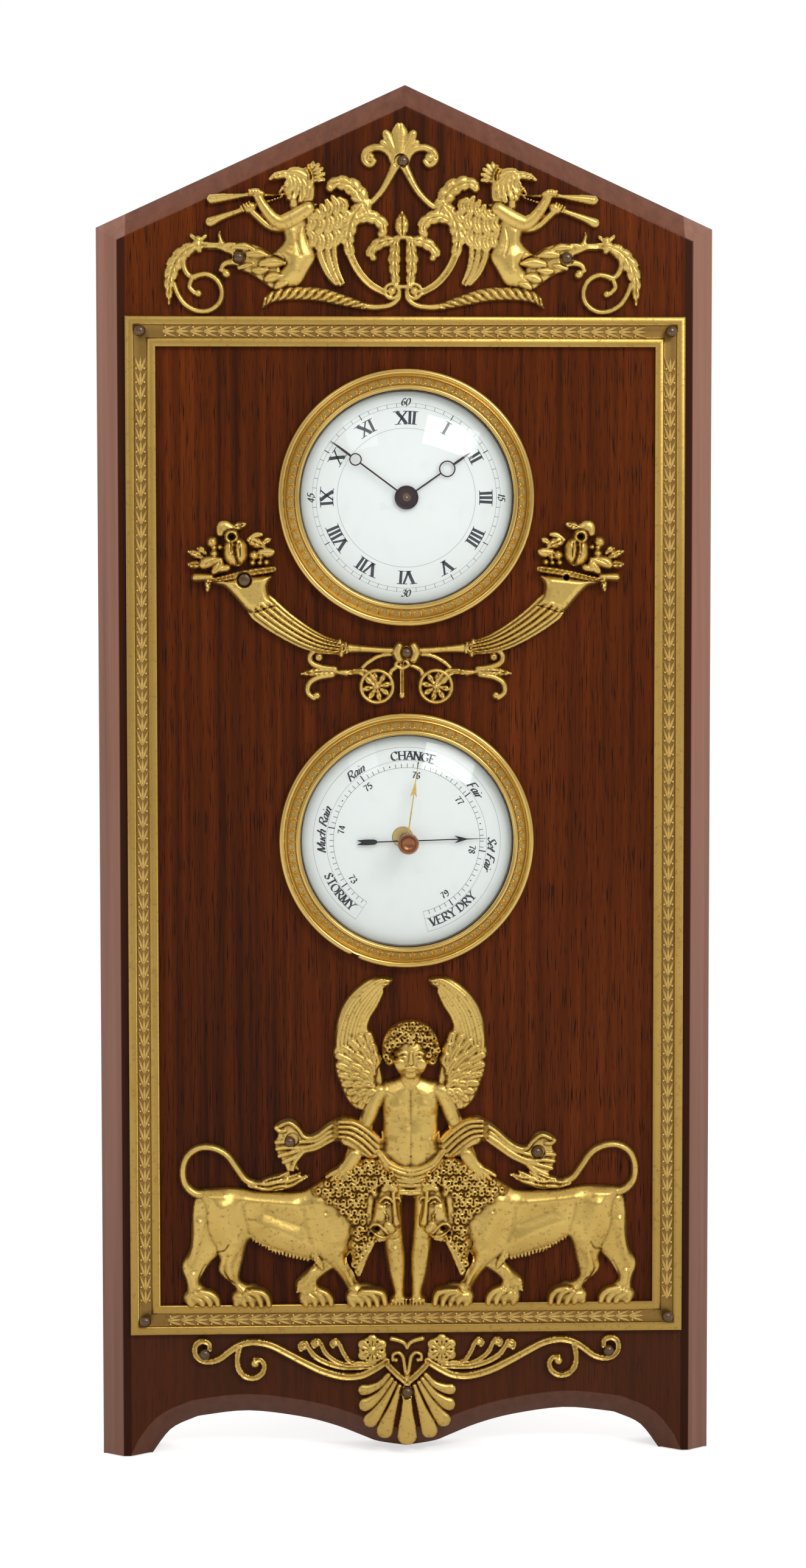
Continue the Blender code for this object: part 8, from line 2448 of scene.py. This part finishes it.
    hair_outline = ((1.0, 122.2), (-2.6, 121.4), (-5.4, 119.2), (-6.8, 115.9), (-6.7, 112.4),
        (-5.4, 109.9), (-3.9, 110.2), (-3.7, 112.2), (-2.8, 114.4), (-0.9, 115.3), (1.0, 115.0),
        (2.9, 115.3), (4.8, 114.4), (5.7, 112.2), (5.9, 110.2), (7.4, 109.9), (8.7, 112.4),
        (8.8, 115.9), (7.4, 119.2), (4.6, 121.4))
    curls, holes = curled(hair_outline, 1.7, 1.35, 3.9)
    hair = Group((Area(4.6, hair_outline, 3.4), *curls), 0.15, False)
    features = Group((
        Stroke(DOME, 0.9, ((1.0, 113.4, 0.4), (1.0, 111.6, 0.5), (1.0, 110.7, 0.75)), 4.85),
        Stroke(DOME, 0.45, ((-2.3, 113.2, 0.35), (-1.2, 113.7, 0.45), (0.0, 113.2, 0.35)), 4.7),
        Stroke(DOME, 0.55, ((-1.9, 112.2, 0.3), (-1.1, 112.4, 0.42), (-0.3, 112.15, 0.3)), 4.55),
        Stroke(DOME, 0.5, ((-0.5, 109.2, 0.28), (0.4, 109.45, 0.38), (1.0, 109.3, 0.32)), 4.75),
        Stroke(DOME, 0.55, ((0.1, 108.7, 0.35), (1.0, 108.55, 0.42)), 4.7),
        Stroke(DOME, 0.5, ((0.5, 107.4, 0.9), (1.0, 107.4, 0.9)), 4.3),
        Stroke(DOME, 0.5, ((-1.9, 110.4, 1.3), (-1.8, 110.0, 1.3)), 4.5),
    ), 0.2)
    wrap = Group((
        Area(4.6, ((-18.6, 95.1), (-14.8, 94.8), (-11.1, 92.7), (-7.5, 90.0), (-7.0, 86.7),
            (-7.5, 84.5), (-10.0, 83.5), (-13.2, 84.9), (-15.9, 86.8), (-18.6, 88.5)), 1.0),
        *(Stroke(DOME, 1.1, line, 4.2) for line in (((-18.8, 94.4, 0.54), (-14.8, 94.1, 0.59),
            (-11.1, 91.9, 0.64), (-7.8, 88.9, 0.59)), ((-18.8, 93.1, 0.54), (-15.3, 92.8, 0.59),
            (-11.6, 90.5, 0.64), (-8.0, 87.2, 0.59)), ((-18.8, 91.7, 0.48), (-15.7, 91.3, 0.59),
            (-12.2, 89.2, 0.64), (-8.9, 86.0, 0.59)), ((-18.8, 90.3, 0.48), (-16.1, 89.9, 0.54),
            (-12.9, 87.7, 0.59), (-10.0, 85.1, 0.54)))),
    ), 0.2)
    cloth = Group((
        Stroke(LOCK, 1.5, ((-8.1, 86.1, 0.75), (-5.7, 83.0, 1.07), (-2.4, 80.8, 1.29),
            (0.9, 80.3, 1.39)), 3.8),
        Stroke(LOCK, 1.3, ((-7.5, 83.5, 0.64), (-4.9, 81.0, 0.86), (-1.9, 79.2, 0.96),
            (0.9, 78.7, 0.96)), 3.5),
        Stroke(DOME, 1.2, ((-2.8, 77.9, 0.64), (0.9, 77.5, 0.8)), 3.4),
        Stroke(DOME, 1.1, ((-2.5, 76.6, 0.54), (0.9, 76.3, 0.64)), 3.2),
        Stroke(LOCK, 1.3, ((-1.8, 74.6, 0.86), (1.0, 74.4, 0.91)), 3.2),
        *spray(DOME, 1.0, ((-18.6, 81.4), (-16.8, 79.7)), ((-22.7, 78.9), (-21.3, 77.8),
            (-19.1, 77.0), (-16.6, 77.8)), 5, 0.6, 4.3, blunt=0.8),
        Stroke(DOME, 1.3, ((-14.5, 84.8, 1.84), (-16.2, 82.2, 1.84), (-17.9, 80.6, 1.67)), 4.0),
    ), 0.2)
    return Relief(
        "winged_child_relief", ("lion_mount",), 1.0, 41.5, 42.4, 136.0,
        (wing, quills, *rows, *scarf, legs, body, wrap, head, hair, features, cloth),
        pits=((0.95, 84.6, 0.3, 0.4), (-1.1, 111.8, 0.2, 0.12), (0.4, 110.2, 0.18, 0.12), *holes),
        cuts=(
            (1.2, 0.05, ((0.95, 100.0), (0.95, 97.4))),
            (1.3, 0.16, ((-5.8, 96.2), (-3.6, 95.2), (-1.2, 96.0))),
            (0.9, 0.1, ((-2.4, 104.2), (-4.8, 103.2))),
            (0.5, 0.4, ((-7.4, 98.0), (-7.7, 95.4), (-7.4, 92.6))),
            (0.3, 0.12, ((-0.7, 108.9), (1.0, 109.05))),
            (0.3, 0.25, ((-5.0, 62.0), (-3.5, 61.4), (-2.0, 62.0)))
        ),
        swells=(
            (0.6, ((-2.6, 98.4, 2.8), (-4.2, 98.0, 2.4))),
            (0.8, ((1.0, 90.6, 3.4), (1.0, 85.6, 4.2))),
            (0.35, ((-4.6, 88.6, 1.6), (-5.0, 85.6, 1.6))),
            (0.5, ((-3.5, 63.6, 1.5), (-3.5, 63.2, 1.5))),
            (0.5, ((-3.6, 58.4, 1.4), (-3.2, 54.0, 1.1))),
            (0.6, ((-4.0, 73.0, 2.2), (-3.8, 67.0, 1.8)))
        ),
        pads=((-31.7, 89.2), (36.5, 85.2))
    )


def far_end(line: Loop) -> Loop:
    """Give a line of the scarf on the right, whose end hangs lower and further out."""
    def moved(p: Sequence[float]) -> tuple[float, ...]:
        share = min(max((-18.0 - p[0]) / 11.0, 0.0), 1.0)
        return (2.0 - p[0] + 2.8 * share, p[1] - 4.0 * share, *p[2:])
    return tuple(moved(p) for p in line)


def apron() -> Relief:
    """Draw the mount along the board's foot: bands, rosettes, curls and a palmette."""
    flower = (-9.65, 29.8)
    bands = Group((
        Stroke(BAND, 2.0, ((-54.9, 30.4, 0.8), (-55.1, 32.0, 0.85), (-57.0, 32.7, 0.95),
            (-58.7, 31.6, 0.95), (-58.8, 29.2, 0.95), (-57.2, 27.4, 0.95), (-54.6, 27.0, 0.95),
            (-52.0, 27.8, 0.95), (-49.6, 29.6, 1.0), (-47.2, 31.2, 1.05), (-44.4, 32.2, 1.1),
            (-41.0, 32.2, 1.1), (-37.4, 31.2, 1.1), (-33.2, 29.0, 1.1), (-28.6, 26.5, 1.15),
            (-23.2, 23.9, 1.2), (-17.6, 22.4, 1.2), (-13.0, 22.6, 1.15), (-9.4, 24.2, 1.1),
            (-5.6, 26.6, 1.0))),
        Stroke(BAND, 2.0, ((-46.6, 30.9, 0.95), (-47.2, 27.8, 0.95), (-46.8, 24.8, 0.95),
            (-45.0, 22.7, 0.95), (-42.4, 22.3, 0.95), (-40.4, 23.5, 0.9), (-39.7, 25.6, 0.85),
            (-40.6, 27.2, 0.8), (-42.2, 27.5, 0.8))),
        ball(-42.3, 26.3, 1.3, 2.3),
        Stroke(BAND, 2.3, ((-5.4, 25.6, 0.95), (-2.8, 22.9, 1.0), (0.2, 20.4, 1.0))),
        *(Stroke(BAND, 1.9, line) for line in (((-10.0, 25.2, 0.8), (-16.8, 24.9, 0.85),
            (-21.6, 26.0, 0.9), (-25.4, 28.0, 0.9), (-27.3, 30.4, 0.8), (-28.4, 32.1, 0.75),
            (-29.9, 31.4, 0.7), (-29.5, 30.1, 0.7)), ((-11.0, 25.8, 0.8), (-17.2, 25.8, 0.8),
            (-20.6, 27.2, 0.8), (-22.9, 29.4, 0.8), (-23.9, 31.6, 0.75), (-25.0, 32.8, 0.7),
            (-26.3, 32.0, 0.7), (-25.8, 30.9, 0.7)), ((-12.4, 26.0, 0.8), (-15.6, 26.4, 0.75),
            (-17.6, 28.8, 0.75), (-18.7, 31.2, 0.75), (-19.8, 32.7, 0.7), (-21.1, 31.9, 0.7),
            (-20.6, 30.9, 0.7)))),
        ball(-28.7, 30.6, 0.9, 2.1), ball(-25.0, 31.5, 0.85, 2.1), ball(-19.9, 31.5, 0.85, 2.1),
        Stroke(DOME, 1.9, ((-0.1, 22.0, 0.8), (-0.7, 25.2, 0.7), (-1.2, 27.8, 0.7),
            (-2.4, 29.0, 0.65), (-3.9, 28.4, 0.6), (-4.0, 26.9, 0.6))),
        ball(-3.1, 26.9, 0.75, 2.1),
        Stroke(DOME, 1.9, ((-0.1, 30.2, 0.5), (-0.7, 31.6, 0.75), (-2.2, 32.4, 0.8),
            (-4.2, 32.9, 0.85))),
        ball(-0.1, 23.2, 0.75, 2.4),
    ), 0.1)
    flowers = Group((
        *rosette(*flower, 3.7, 6, 1.75, 2.1, start=0.52),
        *(ball(x, y, 0.75, 1.7) for x, y in ring_points(flower, 3.2, 6)),
        *(Stroke(SPOON, rise, line) for rise, line in (
            (2.4, ((-0.1, 19.0, 1.1), (-0.1, 12.6, 1.65), (-0.1, 8.2, 2.44), (-0.1, 5.6, 2.68))),
            (2.3, ((-2.1, 19.6, 0.73), (-4.0, 13.6, 1.34), (-5.6, 9.2, 2.13), (-6.2, 7.2, 2.38))),
            (2.3, ((-3.3, 20.6, 0.73), (-6.1, 15.6, 1.16), (-8.8, 11.6, 1.83),
                (-10.1, 10.1, 2.13))),
            (2.2, ((-4.3, 21.6, 0.73), (-7.3, 17.6, 1.1), (-10.2, 15.1, 1.71),
                (-11.6, 14.4, 1.95))),
            (2.2, ((-5.2, 22.8, 0.73), (-7.6, 20.2, 1.04), (-10.2, 18.9, 1.4),
                (-12.1, 18.6, 1.65)))
        )),
    ), 0.1)
    return Relief(
        "apron_relief", ("apron_mount",), 0.0, 61.5, 2.2, 35.4, (bands, flowers),
        pits=[(x, y, 0.3, 0.9) for x, y in ring_points(flower, 2.6, 6)],
        pads=((-0.2, 17.9),),
        cell=0.22
    )


# Behind the board


@dataclass
class Backs:
    """The drums behind the board, their clamp rings, and the clock's cover and knob."""

    radius: float = 30.5
    wall: float = 0.8
    flange: float = 33.5
    clamp_inner: float = 30.8
    clamp_outer: float = 35.3
    screw_ring: float = 33.05
    cover_radius: float = 29.4
    arbor_hole: float = 0.8
    key: Point = (-10.42, -7.3)
    key_hole: float = 1.8
    knob_radius: float = 4.5
    flutes: int = 16
    flute_depth: float = 0.25

    def drum(self, name: str, up: float, cup: bool) -> None:
        """Build one drum.

        Args:
            name: clock or barometer.
            up: Height of its middle.
            cup: Whether its back is closed.
        """
        wall = self.radius - self.wall
        profile: list[Point] = [(wall, 1.1), (self.flange, 1.1), (self.flange, SEAT),
                                (self.radius, SEAT), (self.radius, DRUM_BACK + 0.7),
                                (self.radius - 0.2, DRUM_BACK + 0.2),
                                (self.radius - 0.7, DRUM_BACK)]
        if cup:
            profile += [(12.0, DRUM_BACK), (11.6, DRUM_BACK + 0.25), (11.2, DRUM_BACK),
                        (0, DRUM_BACK), (0, DRUM_BACK + self.wall), (wall, DRUM_BACK + self.wall),
                        profile[0]]
        else:
            profile.append((wall, DRUM_BACK))
        solid = lathe(profile, closed=not cup)
        placed(f"{name}_drum_spun", solid.moved(at(0, up)), BRASS, nodes=[f"{name}_drum"],
               sharp=30, weld=True)

    def clamp(self, name: str, up: float) -> None:
        """Build one clamp ring with its three screws."""
        front, back = BOARD_BACK - 0.3, BOARD_BACK - 2.8
        inner, outer = self.clamp_inner, self.clamp_outer
        parts = [lathe([(inner, front), (outer, front), (outer, back + 0.3), (outer - 0.3, back),
                        (inner + 0.3, back), (inner, back + 0.3)])]
        screw = lathe([(0, back - 0.9), (0.9, back - 0.85), (1.35, back - 0.55),
                       (1.45, back - 0.1), (1.4, back + 0.1), (0, back + 0.1)], 20, closed=False)
        for turn in (30, 150, 270):
            angle = math.radians(turn)
            parts.append(screw.moved(at(self.screw_ring * math.sin(angle),
                                        self.screw_ring * math.cos(angle))))
        placed(f"{name}_clamp_ring_turned", joined(parts).moved(at(0, up)), BRASS,
               nodes=[f"{name}_clamp_ring"], sharp=30)

    def cover(self) -> None:
        """Build the clock's back cover with its two holes and a turned step."""
        holes = [circle(self.arbor_hole, 24)[::-1], circle(self.key_hole, 32, self.key)[::-1]]
        disc = plate([circle(self.cover_radius, 96), *holes], DRUM_BACK, DRUM_BACK + 1.0, 0.12)
        step = lathe([(28.6, DRUM_BACK + 0.1), (28.2, DRUM_BACK - 0.2), (27.6, DRUM_BACK - 0.25),
                      (27.0, DRUM_BACK - 0.2), (26.6, DRUM_BACK + 0.1)])
        placed("clock_back_cover_turned", joined([disc, step]).moved(at(0, CLOCK_UP)), BRASS,
               nodes=["clock_back_cover"], sharp=30)

    def fluted(self, radius: float, height: float, turn: float) -> tuple[float, float]:
        """Cut the flutes into the knob's rim, as lathe takes it."""
        if radius < self.knob_radius - 0.5:
            return radius, height
        wave = 0.5 + 0.5 * math.cos(math.radians(turn) * self.flutes)
        return radius - self.flute_depth * wave, height

    def knob(self) -> None:
        """Build the fluted knob that sets the clock's hands."""
        r = self.knob_radius
        front, back = DRUM_BACK - 0.3, DRUM_BACK - 2.5
        knob = lathe([(0, front), (r - 0.4, front), (r, front - 0.3), (r, back + 0.35),
                      (r - 0.3, back + 0.05), (r - 0.9, back), (r - 1.3, back + 0.2),
                      (1.1, back + 0.25), (0.8, back - 0.1), (0, back - 0.15)], 128, closed=False,
                     shape=self.fluted)
        placed("set_hands_knob_fluted", knob.moved(at(0, CLOCK_UP)), BRASS, "minute_work",
               ["set_hands_knob"], sharp=30)

    def build(self) -> None:
        """Build everything behind the board."""
        self.cover()
        self.knob()
        self.drum("clock", CLOCK_UP, False)
        self.drum("barometer", BAROMETER_UP, True)
        self.clamp("clock", CLOCK_UP)
        self.clamp("barometer", BAROMETER_UP)


# The part's own pieces that are kept

KEPT: dict[str, Metal] = {
    **dict.fromkeys(("front_plate", "back_plate", "mainspring_barrel", "centre_wheel",
                     "minute_wheel", "hour_wheel", "third_wheel", "fourth_wheel", "balance_wheel",
                     "balance_cock", "movement_base", "strut", "hinge_leaf"), BRASS),
    **dict.fromkeys(("cannon_pinion", "escape_wheel", "pallet_lever", "winding_key",
                     "steel_spring", "rocking_lever", "strut_hinge_pin", "aneroid_capsule"), STEEL),
}


def dress_kept_nodes() -> None:
    """Give the part's own pieces, most of them inside, their finishes."""
    for name, finish in KEPT.items():
        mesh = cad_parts[name].data
        material = finish.material()
        if not len(mesh.materials):
            mesh.materials.append(material)
        for i in range(len(mesh.materials)):
            mesh.materials[i] = material
        LOG.info("%s kept, finished in %s", name, finish.name)


# The studio


@dataclass(frozen=True)
class Lamp:
    """A soft box: its size in metres, its power in watts and its roll in degrees."""

    name: str
    place: Point
    size: Point
    power: float
    roll: float

    def hang(self, aim: Point) -> None:
        """Hang the lamp so that it faces a point."""
        data = bpy.data.lights.new(self.name, "AREA")
        data.shape = "RECTANGLE"
        data.size, data.size_y = self.size
        data.energy = self.power
        thing = bpy.data.objects.new(self.name, data)
        thing.location = self.place
        toward = Vector(aim) - Vector(self.place)
        thing.rotation_euler = (toward.to_track_quat("-Z", "Y").to_matrix()
                                @ Matrix.Rotation(math.radians(self.roll), 3, "Z")).to_euler()
        bpy.context.scene.collection.objects.link(thing)


@dataclass(frozen=True)
class Studio:
    """The camera, the lamps, the pale floor and the world."""

    camera_place: Point = (-0.0358, -0.9241, 0.2423)
    pitch: float = -3.48
    yaw: float = 2.22
    roll: float = 0.06
    focal: float = 5373.0
    image_height: int = 2576
    sensor: float = 36.0
    fill: float = 0.7
    front: float = 0.35
    floor_tone: Colour = (0.9, 0.89, 0.87)
    floor_fade: tuple[float, float] = (0.16, 0.5)
    floor_half: float = 3.0
    lamps: tuple[Lamp, ...] = (
        Lamp("window_right", (0.55, -1.19, 0.98), (0.62, 0.36), 7.0, -24.0),
        Lamp("window_left", (-0.46, -1.19, 1.02), (0.34, 0.4), 1.1, 20.0))
    lamp_aim: Point = (0, FACE_Y, 0.22)

    def camera(self) -> None:
        """Stand the camera where the photograph was taken from."""
        yaw, pitch = math.radians(self.yaw), math.radians(self.pitch)
        ahead = Vector((math.sin(yaw) * math.cos(pitch), math.cos(yaw) * math.cos(pitch),
                        math.sin(pitch)))
        right = Vector((math.cos(yaw), -math.sin(yaw), 0))
        up = right.cross(ahead)
        turn = Matrix((right, up, -ahead)).transposed().to_4x4()
        data = bpy.data.cameras.new("camera")
        data.sensor_fit = "VERTICAL"
        data.sensor_height = self.sensor
        data.lens = self.focal * self.sensor / self.image_height
        data.clip_start, data.clip_end = 0.01, 50.0
        camera = bpy.data.objects.new("camera", data)
        camera.matrix_world = (Matrix.Translation(self.camera_place) @ turn
                               @ Matrix.Rotation(math.radians(-self.roll), 4, "Z"))
        bpy.context.scene.collection.objects.link(camera)
        bpy.context.scene.camera = camera

    def world(self) -> None:
        """Make a white room to the eye that lights the object evenly."""
        world = bpy.data.worlds.new("studio")
        world.use_nodes = True
        graph = Graph(world.node_tree)
        place = graph.add("ShaderNodeTexCoord")
        split = graph.add("ShaderNodeSeparateXYZ", {"Vector": (place, "Generated")})
        tone = graph.add("ShaderNodeValToRGB", {"Fac": graph.spread((split, "Y"), -1.0, 1.0)})
        stops = tone.color_ramp.elements
        stops[0].color = (self.front, self.front, self.front * 0.97, 1)
        stops[1].position, stops[1].color = 0.75, WHITE
        seen = graph.add("ShaderNodeBackground", {"Color": WHITE, "Strength": 1.0})
        light = graph.add("ShaderNodeBackground", {"Color": WHITE, "Strength": self.fill})
        shine = graph.add("ShaderNodeBackground", {"Color": (tone, "Color"), "Strength": 1.0})
        rays = graph.add("ShaderNodeLightPath")
        glossy = graph.add("ShaderNodeMixShader", {0: (rays, "Is Glossy Ray"), 1: light,
                                                   2: shine})
        direct = graph.math("MAXIMUM", (rays, "Is Camera Ray"), (rays, "Is Transmission Ray"))
        whole = graph.add("ShaderNodeMixShader", {0: direct, 1: glossy, 2: seen})
        graph.add("ShaderNodeOutputWorld", {"Surface": whole})
        bpy.context.scene.world = world

    def floor(self) -> None:
        """Lay a pale floor that fades into the white room."""
        material = bpy.data.materials.new("studio_floor")
        material.use_nodes = True
        graph = Graph(material.node_tree)
        rays = graph.add("ShaderNodeLightPath")
        lift = graph.math("MULTIPLY", (rays, "Is Camera Ray"), 0.6)
        matt = graph.add("ShaderNodeBsdfDiffuse", {"Color": (*self.floor_tone, 1)})
        glow = graph.add("ShaderNodeEmission", {"Color": WHITE, "Strength": lift})
        both = graph.add("ShaderNodeAddShader", {0: matt, 1: glow})
        place = graph.add("ShaderNodeTexCoord")
        length = graph.add("ShaderNodeVectorMath", {0: (place, "Object")}, operation="LENGTH")
        fade = graph.spread((length, "Value"), *self.floor_fade)
        white = graph.add("ShaderNodeEmission", {"Color": WHITE, "Strength": 1.0})
        surface = graph.add("ShaderNodeMixShader", {0: fade, 1: both, 2: white})
        graph.add("ShaderNodeOutputMaterial", {"Surface": surface})
        half = self.floor_half
        mesh = bpy.data.meshes.new("floor")
        mesh.from_pydata([(-half, -half, 0), (half, -half, 0), (half, half, 0), (-half, half, 0)],
                         [], [(0, 1, 2, 3)])
        mesh.materials.append(material)
        floor = bpy.data.objects.new("floor", mesh)
        bpy.context.scene.collection.objects.link(floor)

    def build(self) -> None:
        """Set the camera, the world, the floor and the lamps."""
        bpy.context.scene.view_settings.view_transform = "Standard"
        self.camera()
        self.world()
        self.floor()
        for lamp in self.lamps:
            lamp.hang(self.lamp_aim)


# The whole model


def main() -> None:
    """Build the studio and every group of pieces."""
    logging.basicConfig(level=logging.INFO, format="%(message)s")
    groups = (Studio(), Board(), Border(), Pins(), Bezel("clock", CLOCK_UP),
              Bezel("barometer", BAROMETER_UP, nick=204.6), Dome("clock", CLOCK_UP),
              Dome("barometer", BAROMETER_UP, hole=1.6), ClockDial(), ClockHands(),
              BarometerDial(), BarometerHands(), Backs(), pediment(), cornucopia(), lion(-1),
              lion(1), winged_child(), apron())
    for group in groups:
        group.build()
    dress_kept_nodes()


if __name__ == "__main__":
    main()
